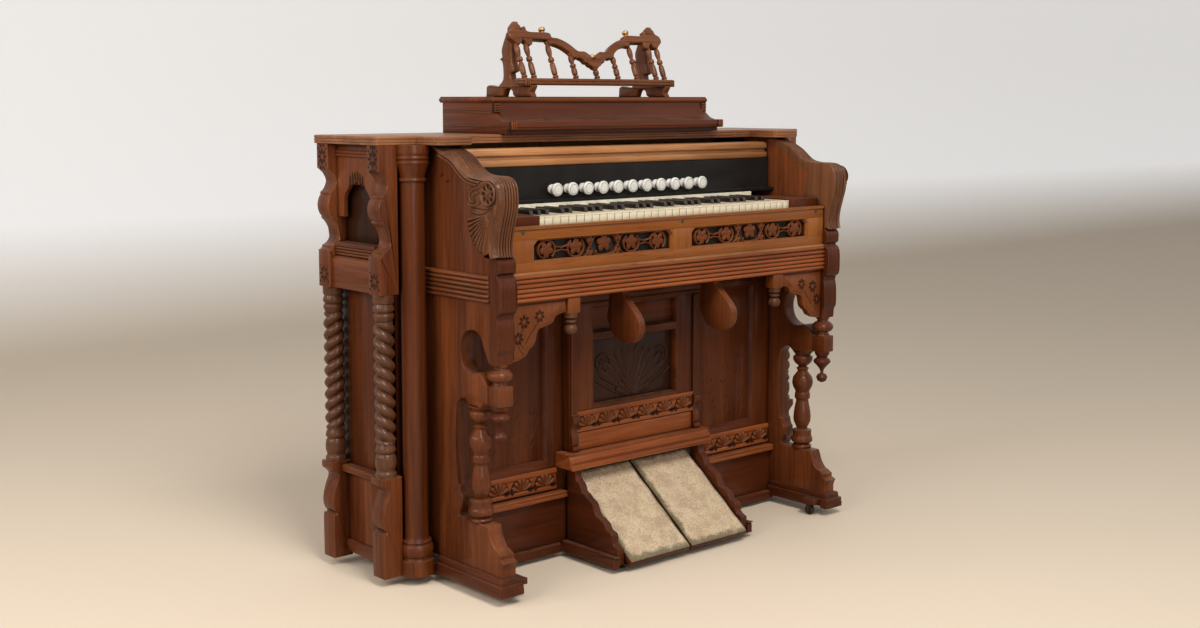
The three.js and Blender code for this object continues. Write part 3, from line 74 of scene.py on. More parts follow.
ARM_FRONT: Shares = (
    (0.074, 0), (0.093, 0.063), (0.093, 0.134), (0.074, 0.218), (0.037, 0.331), (0, 0.456), (0, 0.594),
    (0.023, 0.665), (0.074, 0.711), (0.157, 0.732), (0.306, 0.734), (0.398, 0.741), (0.481, 0.757),
    (0.565, 0.795), (0.639, 0.845), (0.713, 0.895), (0.787, 0.929), (0.88, 0.958), (1, 1))
ARM_BACK: Shares = (
    (1.139, 1), (1, 0.925), (0.88, 0.874), (0.787, 0.837), (0.694, 0.774), (0.611, 0.715), (0.528, 0.674),
    (0.454, 0.64), (0.426, 0.586), (0.458, 0.523), (0.44, 0.464))
COMMA_CUT: Shares = (
    (0.032, 0), (0.204, 0.142), (0.34, 0.202), (0.631, 0.167), (0.893, 0.288), (1, 0.528), (0.961, 0.768),
    (0.835, 0.923), (0.66, 0.991), (0.447, 1), (0.262, 0.906), (0.126, 0.67), (0.019, 0.49),
    (-0.049, 0.416))
FOOT_SCROLL: Shares = (
    (0.089, 0), (0.089, 0.196), (0, 0.336), (0.177, 0.393), (0.177, 0.477), (0.354, 0.551), (0.456, 0.579),
    (0.633, 0.738), (0.728, 0.935), (0.772, 1))
LEG_SLOT: Shares = (
    (0.672, 0), (0.896, 0.011), (0.896, 0.042), (0.824, 0.109), (0.8, 0.181), (0.856, 0.219),
    (0.888, 0.279), (0.952, 0.309), (1, 0.664), (0.968, 0.947), (0.864, 1.023), (0.712, 1.049),
    (0.592, 1.015), (0.576, 1))
POST_NECK: Shares = (
    (0.366, 0.693), (0.171, 0.732), (0.122, 0.819), (0.146, 0.929), (0.366, 0.992), (1, 1))
POST_BLOCK: Shares = (
    (0.317, 0), (0.073, 0.063), (0, 0.189), (0, 0.472), (0.073, 0.583), (0.195, 0.638), (0.317, 0.654),
    (0.415, 0.693))
POST_CORBEL: Shares = (
    (0.463, 0), (0.415, 0.207), (0.293, 0.279), (0.244, 0.423), (0.268, 0.766), (0.366, 0.91),
    (0.317, 0.964))
POST_HEAD: Shares = (
    (1, 1), (1, 0.828), (0.878, 0.816), (0.694, 0.789), (0.551, 0.751), (0.551, 0.721), (0.694, 0.68),
    (0.857, 0.659), (0.857, 0.641), (0.918, 0.629), (1, 0.596), (1.02, 0.564), (0.98, 0.531),
    (0.878, 0.501), (0.816, 0.496), (0.816, 0.478), (0.653, 0.454), (0.49, 0.415), (0.408, 0.371),
    (0.429, 0.335), (0.571, 0.306), (0.816, 0.285), (0.816, 0.273), (0.939, 0.255), (1, 0.234), (1, 0))
POST_FOOT: Shares = (
    (1, 0), (1, 0.415), (0.878, 0.444), (0.816, 0.466), (0.939, 0.504), (1.02, 0.564), (1, 0.641),
    (0.857, 0.752), (0.735, 0.812), (0.714, 0.855), (0.816, 0.889), (1.041, 0.932), (1.041, 1))
BRACKET_EDGE: Shares = (
    (0, 0.764), (0.165, 0.715), (0.215, 0.667), (0.253, 0.593), (0.399, 0.541), (0.494, 0.512),
    (0.538, 0.439), (0.563, 0.309), (0.608, 0.228), (0.677, 0.171), (0.728, 0.089), (0.816, 0.033),
    (0.905, 0), (1, 0))
WING_EDGE: Shares = (
    (0, 0), (0.115, 0.056), (0.141, 0.191), (0.256, 0.235), (0.301, 0.309), (0.417, 0.37), (0.506, 0.407),
    (0.577, 0.531), (0.603, 0.568), (0.705, 0.617), (0.769, 0.667), (0.833, 0.691), (0.885, 0.79),
    (0.974, 0.864), (1, 1))
STAND: Shares = (
    (0, 0), (0.033, 0.06), (-0.016, 0.13), (0, 0.152), (0.192, 0.152), (0.302, 0.196), (0.423, 0.234),
    (0.451, 0.31), (0.352, 0.342), (0.385, 0.408), (0.412, 0.484), (0.412, 0.62), (0.374, 0.69),
    (0.33, 0.755), (0.407, 1), (0.505, 0.924), (0.516, 0.875), (0.582, 0.766), (0.643, 0.63),
    (0.632, 0.533), (0.692, 0.505), (0.632, 0.462), (0.61, 0.364), (0.615, 0.234), (0.681, 0.174),
    (0.747, 0.136), (0.923, 0.158), (0.989, 0.136), (1, 0), (0.615, 0), (0.571, 0.087), (0.489, 0.109),
    (0.412, 0.076), (0.352, 0))
RAIL_TOP: Shares = (
    (1, 0.667), (0.992, 0.787), (0.945, 0.852), (0.925, 0.944), (0.886, 1), (0.847, 0.954), (0.827, 0.87),
    (0.808, 0.917), (0.78, 0.907), (0.749, 0.806), (0.51, 0.796), (0.475, 0.694), (0.408, 0.676),
    (0.329, 0.611), (0.259, 0.519), (0.184, 0.389), (0.102, 0.38), (0.047, 0.306), (0.016, 0.213),
    (0, 0.185))
RAIL_UNDER: Shares = (
    (0, 0), (0.047, 0.037), (0.086, 0.102), (0.125, 0.148), (0.173, 0.231), (0.251, 0.241), (0.298, 0.352),
    (0.373, 0.463), (0.463, 0.528), (0.525, 0.519), (0.549, 0.63), (0.729, 0.63), (0.745, 0.519),
    (0.784, 0.491), (0.816, 0.556), (0.847, 0.63), (0.878, 0.528), (0.918, 0.509), (0.957, 0.574))
KNEE: Shares = (
    (0.94, 1), (0.94, 0.795), (0.974, 0.582), (1, 0.418), (0.871, 0.213), (0.75, 0.074), (0.448, 0),
    (0.207, 0.041), (0.043, 0.172), (0, 0.336), (0.026, 0.459), (0.147, 0.598), (0.353, 0.762),
    (0.509, 0.893), (0.526, 1))
COLLAR: Shares = (
    (0.15, 1.04), (0.15, 1), (0.62, 1), (0.62, 0.9), (0.5, 0.86), (0.52, 0.78), (0.75, 0.72), (1, 0.56),
    (1, 0.38), (0.8, 0.24), (0.55, 0.2), (0.6, 0.1), (0.7, 0.03), (0.7, -0.08))
DROP: Shares = (
    (0.89, 1.03), (0.89, 0.93), (0.61, 0.81), (1, 0.715), (1, 0.64), (0.68, 0.55), (0.36, 0.45),
    (0.2, 0.36), (0.2, 0.29), (0.5, 0.25), (0.69, 0.165), (0.5, 0.05), (0.2, 0))
LEG: Shares = (
    (0.88, 0), (0.91, 0.022), (0.72, 0.045), (1, 0.066), (1, 0.1), (0.9, 0.13), (0.91, 0.185), (0.5, 0.2),
    (0.58, 0.225), (0.81, 0.285), (0.79, 0.37), (0.66, 0.45), (0.58, 0.497), (0.72, 0.52), (0.72, 0.565),
    (0.66, 0.58), (0.72, 0.6), (0.9, 0.64), (0.98, 0.685), (0.9, 0.735), (0.67, 0.77), (0.46, 0.8),
    (0.6, 0.83), (0.36, 0.85), (0.74, 0.885), (0.91, 0.92), (0.91, 0.95), (0.7, 0.965), (0.9, 1))
BRACKET_DROP: Shares = (
    (0.3, 0), (0.8, 0.08), (1, 0.26), (0.8, 0.42), (0.45, 0.5), (0.85, 0.58), (0.85, 0.66), (0.5, 0.72),
    (1, 0.8), (1, 1.04))
TWIST_NECK: Shares = (
    (1, 1), (0.98, 0.72), (0.86, 0.66), (0.98, 0.52), (0.98, 0.42), (0.82, 0.33), (0.98, 0.22), (0.78, 0))
TWIST_BASE: Shares = (
    (1, 0), (1, 0.12), (0.86, 0.2), (1, 0.36), (0.96, 0.6), (0.8, 0.7), (0.98, 0.8), (0.78, 1))
SMALL_ARCH: Shares = ((0.23, 1), (0.144, 1.04), (0.05, 1.045))
UPPER_BOARD: Shares = ((0.25, 0.62), (0.62, 0.8), (0.83, 0.89), (1.03, 0.98))

# The corner column's profile: its radius and its height in millimetres
CORNER_COLUMN: Shares = (
    (41, 0), (41, 33), (38.5, 36), (36, 38), (35, 43), (37.5, 47), (39.5, 55), (39.8, 63), (38, 70),
    (34.5, 73), (34.2, 75.5), (35.6, 78), (34.6, 81.5), (31, 84), (29.2, 92), (28.8, 105), (28.6, 500),
    (28.4, 903), (28.8, 909), (31.8, 910.4), (33.2, 913.4), (31.8, 916.4), (29.6, 918), (30.4, 924),
    (33.2, 934), (36.8, 943), (39.2, 948.6), (40.6, 951), (40.8, 954.4), (38.4, 956.8), (38.6, 959),
    (40.8, 961.4), (41, 965), (39, 967.4), (39.4, 970), (41, 974), (41, 982), (41, 992))


class Side(Enum):
    """The two ends of the organ, as the sign of X."""

    LEFT = -1
    RIGHT = 1

    @property
    def word(self) -> str:
        """The word used in piece names."""
        return self.name.lower()

    def span(self, inner: float, outer: float) -> list[float]:
        """Two places of the right end as they lie on this end, the lower first."""
        return sorted((self.value * inner, self.value * outer))


class Grain(Enum):
    """The way that the grain of a board runs."""

    ALONG_X = "x"
    ALONG_Y = "y"
    ALONG_Z = "z"


class Plane(Enum):
    """The axis that an outline is carried along."""

    X = 0
    Y = 1
    Z = 2


def metres(points: np.ndarray) -> np.ndarray:
    """Turns drawing millimetres, on the last axis of an array, into frame metres."""
    return (np.asarray(points, float) + np.array([0.0, DEPTH_SHIFT, FOOT_HEIGHT])) / 1000.0


# Shader graphs


class Graph:
    """A short way of writing a node tree."""

    def __init__(self, tree: bpy.types.NodeTree) -> None:
        """Keeps the tree that the nodes go into."""
        self.tree = tree

    def feed(self, node: bpy.types.Node, inputs: dict) -> None:
        """Gives a node's inputs, by name or index, their values or the sockets that they read."""
        for key, value in inputs.items():
            if isinstance(value, bpy.types.NodeSocket):
                self.tree.links.new(value, node.inputs[key])
            else:
                node.inputs[key].default_value = value

    def add(self, kind: str, inputs: dict | None = None, **settings) -> bpy.types.Node:
        """Adds a node.

        Args:
            kind: The node's type name without the ShaderNode prefix.
            inputs: Values or sockets for its inputs, by name or index.
            **settings: Attributes of the node.

        Returns:
            The new node.
        """
        node = self.tree.nodes.new(kind if kind.startswith("Node") else "ShaderNode" + kind)
        for key, value in settings.items():
            setattr(node, key, value)
        self.feed(node, inputs or {})
        return node

    def noise(self, vector, scale: float, detail: float, rough: float = 0.5,
              distortion: float = 0.0) -> bpy.types.NodeSocket:
        """A noise over a vector in metres."""
        return self.add("TexNoise", {"Vector": vector, "Scale": scale, "Detail": detail, "Roughness": rough,
                                     "Distortion": distortion}).outputs[0]

    def mix(self, factor, low, high, blend: str = "MIX") -> bpy.types.NodeSocket:
        """Mixes two colours and returns the result's socket."""
        node = self.add("Mix", {0: factor, 6: low, 7: high}, data_type="RGBA", blend_type=blend)
        return node.outputs[2]

    def maths(self, operation: str, first, second=0.0, clamp: bool = False) -> bpy.types.NodeSocket:
        """Works out one sum and returns its socket."""
        node = self.add("Math", {0: first, 1: second}, operation=operation, use_clamp=clamp)
        return node.outputs[0]

    def times(self, first, second, clamp: bool = False) -> bpy.types.NodeSocket:
        """Multiplies two values."""
        return self.maths("MULTIPLY", first, second, clamp)

    def plus(self, first, second) -> bpy.types.NodeSocket:
        """Adds two values."""
        return self.maths("ADD", first, second)

    def ramp(self, factor, low: float, high: float) -> bpy.types.NodeSocket:
        """Stretches a value so that low becomes 0 and high becomes 1."""
        node = self.add("MapRange", {0: factor, 1: low, 2: high, 3: 0.0, 4: 1.0}, clamp=True)
        return node.outputs[0]

    def bump(self, strength: float, distance: float, height) -> bpy.types.NodeSocket:
        """A normal bent by a height."""
        node = self.add("Bump", {"Strength": strength, "Distance": distance, "Height": height})
        return node.outputs[0]


def opaque(colour: Colour) -> tuple[float, float, float, float]:
    """A colour with full alpha."""
    return *colour, 1.0


def new_group(name: str, inputs: dict[str, str], outputs: dict[str, str]) -> tuple:
    """Makes an empty shader group with named sockets.

    Args:
        name: The group's name.
        inputs: Socket types by input name.
        outputs: Socket types by output name.

    Returns:
        The tree, its graph, its input node's sockets and its output node.
    """
    tree = bpy.data.node_groups.new(name, "ShaderNodeTree")
    for way, sockets in (("INPUT", inputs), ("OUTPUT", outputs)):
        for label, kind in sockets.items():
            tree.interface.new_socket(name=label, in_out=way, socket_type=kind)
    graph = Graph(tree)
    return tree, graph, graph.add("NodeGroupInput").outputs, graph.add("NodeGroupOutput")


def new_material(name: str) -> tuple[bpy.types.Material, Graph, bpy.types.Node]:
    """Makes a material and gives it with its graph and its shader."""
    material = bpy.data.materials.new(name)
    material.use_nodes = True
    return material, Graph(material.node_tree), material.node_tree.nodes["Principled BSDF"]


def grain_group() -> bpy.types.NodeTree:
    """Wood grain along Z: long streaks, broad figure and open pores.

    Returns:
        A group that gives a colour, a roughness change and a height.
    """
    tree, g, source, out = new_group(
        "wood_grain", {"Vector": VECTOR, "Light": COLOUR, "Dark": COLOUR, "Contrast": NUMBER},
        {"Color": COLOUR, "Rough": NUMBER, "Height": NUMBER})
    vector = source["Vector"]
    stretched = g.add("Mapping", {"Vector": vector, "Scale": (1.0, 1.0, 0.055)}).outputs[0]
    fine = g.add("Mapping", {"Vector": vector, "Scale": (1.0, 1.0, 0.02)}).outputs[0]
    figure, streaks = g.noise(stretched, 16.0, 5.0, 0.55, 0.7), g.noise(stretched, 95.0, 4.0, 0.65)
    pores, cloudy = g.noise(fine, 420.0, 2.0, 0.6), g.noise(vector, 3.2, 3.0)
    bands = g.ramp(g.plus(g.times(figure, 0.62), g.times(streaks, 0.38)), 0.36, 0.64)
    base = g.mix(g.times(bands, source["Contrast"], clamp=True), source["Light"], source["Dark"])
    toned = g.mix(g.ramp(cloudy, 0.35, 0.7), base, g.mix(0.55, base, (0.62, 0.5, 0.42, 1.0), "MULTIPLY"))
    pored = g.mix(g.ramp(pores, 0.6, 0.74), toned, g.mix(1.0, toned, (0.45, 0.4, 0.36, 1.0), "MULTIPLY"))
    g.feed(out, {"Color": pored, "Rough": g.times(g.ramp(streaks, 0.3, 0.75), 0.12),
                 "Height": g.maths("SUBTRACT", g.times(streaks, 0.35), g.ramp(pores, 0.58, 0.75))})
    return tree


def wear_group() -> bpy.types.NodeTree:
    """Handling wear and painted light: paler edges for wear and painted highlight, painted shade in the
    grooves, and a thin dusting with painted sheen on what faces up.

    Returns:
        A group that changes a colour and a roughness.
    """
    tree, g, source, out = new_group(
        "handling_wear", {"Color": COLOUR, "Rough": NUMBER, "Edge": COLOUR, "Edge amount": NUMBER,
                          "Groove amount": NUMBER, "Dust amount": NUMBER}, {"Color": COLOUR, "Rough": NUMBER})
    normal = g.add("NewGeometry").outputs["Normal"]
    rounded = g.add("Bevel", {"Radius": 0.0022}, samples=4).outputs[0]
    facing = g.add("VectorMath", {0: rounded, 1: normal}, operation="DOT_PRODUCT").outputs["Value"]
    hollow = g.add("AmbientOcclusion", {"Distance": 0.016}, samples=6).outputs["AO"]
    patches = g.noise(g.add("TexCoord").outputs["Object"], 38.0, 4.0)
    # paler edges: handling wear, and painted highlight along the eased edges
    open_edge = g.times(g.ramp(facing, 0.995, 0.86), g.ramp(hollow, 0.62, 0.9))
    edge_wear_and_highlight = g.times(g.times(open_edge, g.ramp(patches, 0.35, 0.62)), source["Edge amount"], clamp=True)
    edged = g.mix(edge_wear_and_highlight, source["Color"], source["Edge"])
    # painted shade: ambient occlusion darkens grooves and corners towards a near-black tint
    groove_shade = g.times(g.ramp(hollow, 0.72, 0.25), source["Groove amount"], clamp=True)
    groove_shaded = g.mix(groove_shade, edged, g.mix(1.0, edged, (0.16, 0.13, 0.12, 1.0), "MULTIPLY"))
    # upward faces turn paler and greyer: a thin dusting, and painted sheen where tops catch light
    up = g.ramp(g.add("SeparateXYZ", {0: normal}).outputs["Z"], 0.7, 1.0)
    dust_and_sheen_mask = g.times(g.times(up, g.ramp(patches, 0.1, 1.2)), source["Dust amount"], clamp=True)
    g.feed(out, {"Color": g.mix(dust_and_sheen_mask, groove_shaded, (0.36, 0.29, 0.22, 1.0)),
                 "Rough": g.plus(source["Rough"], g.times(dust_and_sheen_mask, 0.3))})
    return tree


def weave_group() -> bpy.types.NodeTree:
    """A low looped pile: rows of small loops with matted, uneven patches.

    Returns:
        A group that gives a shade and a height from a vector in metres.
    """
    tree, g, source, out = new_group(
        "loop_pile", {"Vector": VECTOR, "Pitch": NUMBER}, {"Shade": NUMBER, "Height": NUMBER})
    vector = source["Vector"]
    swirl = g.add("TexNoise", {"Vector": vector, "Scale": 60.0, "Detail": 2.0}).outputs[1]
    shift = g.add("VectorMath", {0: swirl, 1: (0.003, 0.003, 0.003)}, operation="MULTIPLY").outputs[0]
    warped = g.add("VectorMath", {0: vector, 1: shift}, operation="ADD").outputs[0]
    loops = g.add("TexVoronoi", {"Vector": warped, "Scale": source["Pitch"]}).outputs["Distance"]
    matted, threads = g.noise(vector, 26.0, 6.0, 0.7), g.noise(vector, 700.0, 2.0)
    tufts = g.maths("SUBTRACT", g.times(threads, 0.35), g.times(loops, 0.32))
    g.feed(out, {"Shade": g.plus(g.times(matted, 0.75), g.plus(tufts, 0.13)),
                 "Height": g.plus(g.times(loops, -0.8), g.plus(g.times(matted, 1.6), g.times(threads, 0.5)))})
    return tree


@dataclass(frozen=True)
class WoodFinish:
    """A shellacked or varnished wood."""

    name: str
    slot: str
    light: Colour
    dark: Colour
    # colour of the eased edges: wear, and painted highlight
    edge: Colour
    rough: float = 0.4
    contrast: float = 0.8
    coat: float = 0.25
    # how strongly the eased edges take wear and painted highlight
    edge_amount: float = 0.6
    # how strongly grooves and corners take painted shade
    groove_amount: float = 0.85
    # paler, greyer upward faces: a dusting, and painted sheen
    dust: float = 0.25
    grain: Grain = Grain.ALONG_Z

    def build(self, groups: dict[str, bpy.types.NodeTree]) -> bpy.types.Material:
        """Makes the material with the grain turned along its board."""
        material, g, shader = new_material(self.name)
        quarter = math.pi / 2
        turn = {Grain.ALONG_X: (0.0, quarter, 0.0), Grain.ALONG_Y: (quarter, 0.0, 0.0),
                Grain.ALONG_Z: (0.0, 0.0, 0.0)}[self.grain]
        place = g.add("Mapping", {"Vector": g.add("TexCoord").outputs["Object"], "Rotation": turn}).outputs[0]
        wood = g.add("Group", {"Vector": place, "Light": opaque(self.light), "Dark": opaque(self.dark),
                               "Contrast": self.contrast}, node_tree=groups["grain"]).outputs
        # wear and painted light: paler edges with painted highlight, painted shade in grooves, painted sheen
        # with a dusting on upward faces
        wear = g.add("Group", {"Color": wood["Color"], "Rough": g.plus(wood["Rough"], self.rough),
                               "Edge": opaque(self.edge), "Edge amount": self.edge_amount,
                               "Groove amount": self.groove_amount, "Dust amount": self.dust},
                     node_tree=groups["wear"]).outputs
        g.feed(shader, {"Base Color": wear["Color"], "Roughness": wear["Rough"],
                        "Normal": g.bump(0.22, FINE_BUMP, wood["Height"]), "Coat Weight": self.coat * 0.5,
                        "Coat Roughness": 0.14, "Specular IOR Level": 0.11})
        return material


@dataclass(frozen=True)
class SolidFinish:
    """A finish of nearly one colour: glaze, lacquer, metal or celluloid."""

    name: str
    slot: str
    colour: Colour
    other: Colour
    rough: float = 0.35
    metallic: float = 0.0
    coat: float = 0.0
    patch_scale: float = 40.0
    # how strongly grooves and corners take painted shade
    groove_amount: float = 0.5
    bump: float = 0.05
    # paler, greyer upward faces: a dusting, and painted sheen
    dust: float = 0.1
    specular: float = 0.4

    def build(self, groups: dict[str, bpy.types.NodeTree]) -> bpy.types.Material:
        """Makes the material with faint patches, painted shade in the corners and a fine bump."""
        material, g, shader = new_material(self.name)
        place = g.add("TexCoord").outputs["Object"]
        patches, fine = g.noise(place, self.patch_scale, 5.0), g.noise(place, 900.0, 2.0)
        colour = g.mix(g.ramp(patches, 0.35, 0.7), opaque(self.colour), opaque(self.other))
        rough = g.plus(g.times(g.ramp(patches, 0.3, 0.7), 0.1), self.rough)
        wear = g.add("Group", {"Color": colour, "Rough": rough, "Edge": opaque(self.colour),
                               "Edge amount": 0.0, "Groove amount": self.groove_amount,
                               "Dust amount": self.dust},
                     node_tree=groups["wear"]).outputs
        height = g.plus(patches, g.times(fine, 0.3))
        g.feed(shader, {"Base Color": wear["Color"], "Roughness": wear["Rough"],
                        "Normal": g.bump(self.bump, FINE_BUMP, height), "Metallic": self.metallic,
                        "Coat Weight": self.coat, "Specular IOR Level": self.specular})
        return material


@dataclass(frozen=True)
class CarpetFinish:
    """Beige looped carpet, olive along its frayed edges and brown at the lower lip."""

    name: str = "pedal_carpet_pile"
    slot: str = "carpet"
    beige: Colour = (0.92, 0.7, 0.44)
    tan: Colour = (0.62, 0.42, 0.24)
    olive: Colour = (0.15, 0.125, 0.045)
    brown: Colour = (0.33, 0.19, 0.08)

    def build(self, groups: dict[str, bpy.types.NodeTree]) -> bpy.types.Material:
        """Makes the material; the piece's UV map runs 0 to 1 across and up the pedal."""
        material, g, shader = new_material(self.name)
        coordinates = g.add("TexCoord").outputs
        pile = g.add("Group", {"Vector": coordinates["Object"], "Pitch": 260.0},
                     node_tree=groups["weave"]).outputs
        parts = g.add("SeparateXYZ", {0: coordinates["UV"]}).outputs
        wander = g.times(g.noise(coordinates["Object"], 42.0, 6.0, 0.7), 0.16)
        near = [g.maths("MINIMUM", way, g.maths("SUBTRACT", 1.0, way)) for way in (parts["X"], parts["Y"])]
        rim = g.ramp(g.maths("SUBTRACT", g.maths("MINIMUM", *near), wander), -0.02, -0.06)
        lip = g.ramp(g.plus(parts["Y"], g.times(wander, 1.3)), 0.16, 0.05)
        base = g.mix(g.ramp(pile["Shade"], 0.4, 0.6), opaque(self.tan), opaque(self.beige))
        rimmed = g.mix(g.times(rim, 0.85), base, opaque(self.olive))
        g.feed(shader, {"Base Color": g.mix(g.times(lip, 0.35), rimmed, opaque(self.brown)),
                        "Normal": g.bump(1.0, 0.005, pile["Height"]), "Roughness": 0.95,
                        "Sheen Weight": 0.25})
        return material


WOODS: dict[str, tuple] = {
    "walnut": ("walnut", "walnut", (0.2296, 0.0637, 0.0179), (0.0723, 0.0175, 0.0052), (0.3, 0.1187, 0.0426),
               dict(rough=0.34, contrast=0.95)),
    "dusky": ("dusky_walnut", "dark_walnut", (0.1148, 0.0269, 0.0077), (0.0425, 0.0104, 0.0034),
              (0.1785, 0.0605, 0.0203), dict(rough=0.36)),
    # greyer walnut that stands in for the grey sheen of lit faces: painted sheen
    "greyed": ("greyed_walnut", "walnut", (0.1438, 0.0563, 0.0224), (0.0594, 0.0214, 0.008),
               (0.2376, 0.1196, 0.0536), dict(rough=0.42, dust=0.4, contrast=0.95, groove_amount=1.0)),
    "oak": ("golden_wood", "golden_oak", (0.34, 0.111, 0.0217), (0.1997, 0.0558, 0.0104),
            (0.425, 0.1749, 0.0497), dict(rough=0.3, coat=0.4, contrast=0.6)),
    "fall": ("fall_wood", "golden_oak", (0.64, 0.3, 0.12), (0.22, 0.088, 0.031), (0.715, 0.3703, 0.1383),
             dict(rough=0.33, coat=0.3, contrast=0.9)),
    "rail": ("rail_wood", "walnut", (0.4089, 0.1127, 0.0277), (0.1606, 0.0374, 0.0091),
             (0.441, 0.1662, 0.0559), dict(rough=0.3, coat=0.35, contrast=0.9)),
    # near-black walnut: painted shade on the end's upper board behind the arch, and the dark ground of the
    # recessed fan panel
    "panel": ("deep_panel_wood", "dark_walnut", (0.0446, 0.0136, 0.0046), (0.018, 0.0051, 0.0017),
              (0.0792, 0.0313, 0.0115), dict(rough=0.38)),
    "pine": ("plain_pine", "pine", (0.5, 0.2532, 0.0851), (0.33, 0.1503, 0.0452), (0.5, 0.2848, 0.1064),
             dict(rough=0.6, coat=0.0, contrast=0.6)),
    "rack": ("rack_walnut", "walnut", (0.2137, 0.071, 0.0228), (0.0912, 0.0258, 0.0081),
             (0.38, 0.1804, 0.0758), dict(rough=0.3, coat=0.4, contrast=0.95)),
    # darker walnut for the lower front and desk ends; on the end's lower board it is painted shade towards
    # the bottom
    "warm": ("lower_walnut", "dark_walnut", (0.153, 0.0379, 0.0092), (0.0542, 0.0126, 0.0035),
             (0.255, 0.0874, 0.0271), dict(rough=0.34, contrast=0.95)),
    "column": ("column_walnut", "walnut", (0.1766, 0.0454, 0.0106), (0.068, 0.0156, 0.0037),
               (0.256, 0.1013, 0.0375), dict(rough=0.34, coat=0.5, contrast=0.95)),
    "fret": ("fret_wood", "golden_oak", (0.2025, 0.0588, 0.0158), (0.0945, 0.0256, 0.0072),
             (0.288, 0.1068, 0.0383), dict(coat=0.15)),
    "bracket": ("bracket_wood", "golden_oak", (0.23, 0.0655, 0.0166), (0.1196, 0.032, 0.0083),
                (0.3864, 0.1456, 0.0489), dict(rough=0.35)),
    "cut": ("carved_shadow", "walnut", (0.04, 0.012, 0.0043), (0.0208, 0.0063, 0.0026),
            (0.064, 0.0253, 0.0085), dict(rough=0.5, coat=0.0, dust=0.0)),
    # greyer, lightened walnut with bright edges: painted light and sheen on the arms' upper faces
    "scroll": ("scroll_walnut", "walnut", (0.205, 0.078, 0.032), (0.07, 0.0235, 0.0095), (0.42, 0.21, 0.11),
               dict(rough=0.34, dust=0.2, coat=0.4, groove_amount=1.0, contrast=0.95)),
    # lighter walnut with little groove shade: painted light on the top board, whose front edge lies in shade
    # under the desk's lip
    "top": ("top_board_walnut", "walnut", (0.36, 0.145, 0.06), (0.16, 0.058, 0.023), (0.5, 0.27, 0.14),
            dict(rough=0.34, coat=0.4, groove_amount=0.1, dust=0.3)),
    "twist": ("twist_walnut", "walnut", (0.17, 0.068, 0.031), (0.075, 0.027, 0.012), (0.38, 0.21, 0.12),
              dict(rough=0.34, coat=0.5, groove_amount=1.0, contrast=0.9)),
}
PLAIN: tuple[SolidFinish | CarpetFinish, ...] = (
    SolidFinish("black_lacquer_board", "black_lacquer", (0.009, 0.0075, 0.0068), (0.014, 0.012, 0.0105),
                rough=0.34, patch_scale=18.0, bump=0.08, specular=0.14),
    SolidFinish("silvered_felt_strip", "silvered_strip", (0.86, 0.8, 0.64), (0.66, 0.6, 0.46),
                rough=0.55, metallic=0.1, groove_amount=0.0, patch_scale=60.0, bump=0.2),
    SolidFinish("aged_ivory", "ivory", (0.9, 0.8, 0.58), (0.84, 0.72, 0.48), rough=0.22, coat=0.2,
                patch_scale=55.0, groove_amount=0.7, bump=0.03, dust=0.0),
    SolidFinish("black_key_stain", "ebony", (0.03, 0.019, 0.013), (0.012, 0.008, 0.006), rough=0.25,
                coat=0.15, patch_scale=70.0),
    SolidFinish("glazed_porcelain", "porcelain", (0.78, 0.76, 0.7), (0.7, 0.67, 0.6), rough=0.12, coat=0.5,
                patch_scale=80.0, groove_amount=0.9, bump=0.02, dust=0.0),
    SolidFinish("knob_ring", "porcelain", (0.3, 0.28, 0.25), (0.2, 0.18, 0.16), rough=0.3, patch_scale=200.0),
    SolidFinish("dark_iron", "cast_iron", (0.05, 0.045, 0.04), (0.09, 0.06, 0.04), rough=0.45, metallic=0.85,
                patch_scale=120.0, bump=0.25),
    SolidFinish("brass_ball", "walnut", (0.55, 0.32, 0.12), (0.4, 0.21, 0.08), rough=0.3, metallic=0.9,
                patch_scale=150.0),
    SolidFinish("bellows_cloth_black", "bellows_cloth", (0.03, 0.028, 0.026), (0.05, 0.045, 0.04), rough=0.85,
                patch_scale=90.0, bump=0.5, specular=0.06),
    SolidFinish("steel_screw", "cast_iron", (0.12, 0.1, 0.085), (0.05, 0.04, 0.035), metallic=0.9,
                patch_scale=300.0),
    CarpetFinish(),
)


class Finishes:
    """Every finish of the organ, made into a material when a piece first asks for it."""

    def __init__(self) -> None:
        """Builds the shared groups and lists the finishes: a wood's name ends in its grain's axis."""
        self.groups = {"grain": grain_group(), "wear": wear_group(), "weave": weave_group()}
        self.known = {finish.name: finish for finish in PLAIN}
        for family, (name, slot, light, dark, edge, more) in WOODS.items():
            for grain in Grain:
                self.known[f"{family}_{grain.value}"] = WoodFinish(
                    f"{name}_{grain.value}", slot, light, dark, edge, grain=grain, **more)
        self.made: dict[str, bpy.types.Material] = {}

    def dress(self, thing: bpy.types.Object, finish: str) -> None:
        """Gives an object a finish's material."""
        if finish not in self.made:
            self.made[finish] = self.known[finish].build(self.groups)
        thing.data.materials.append(self.made[finish])


# Outlines and grids


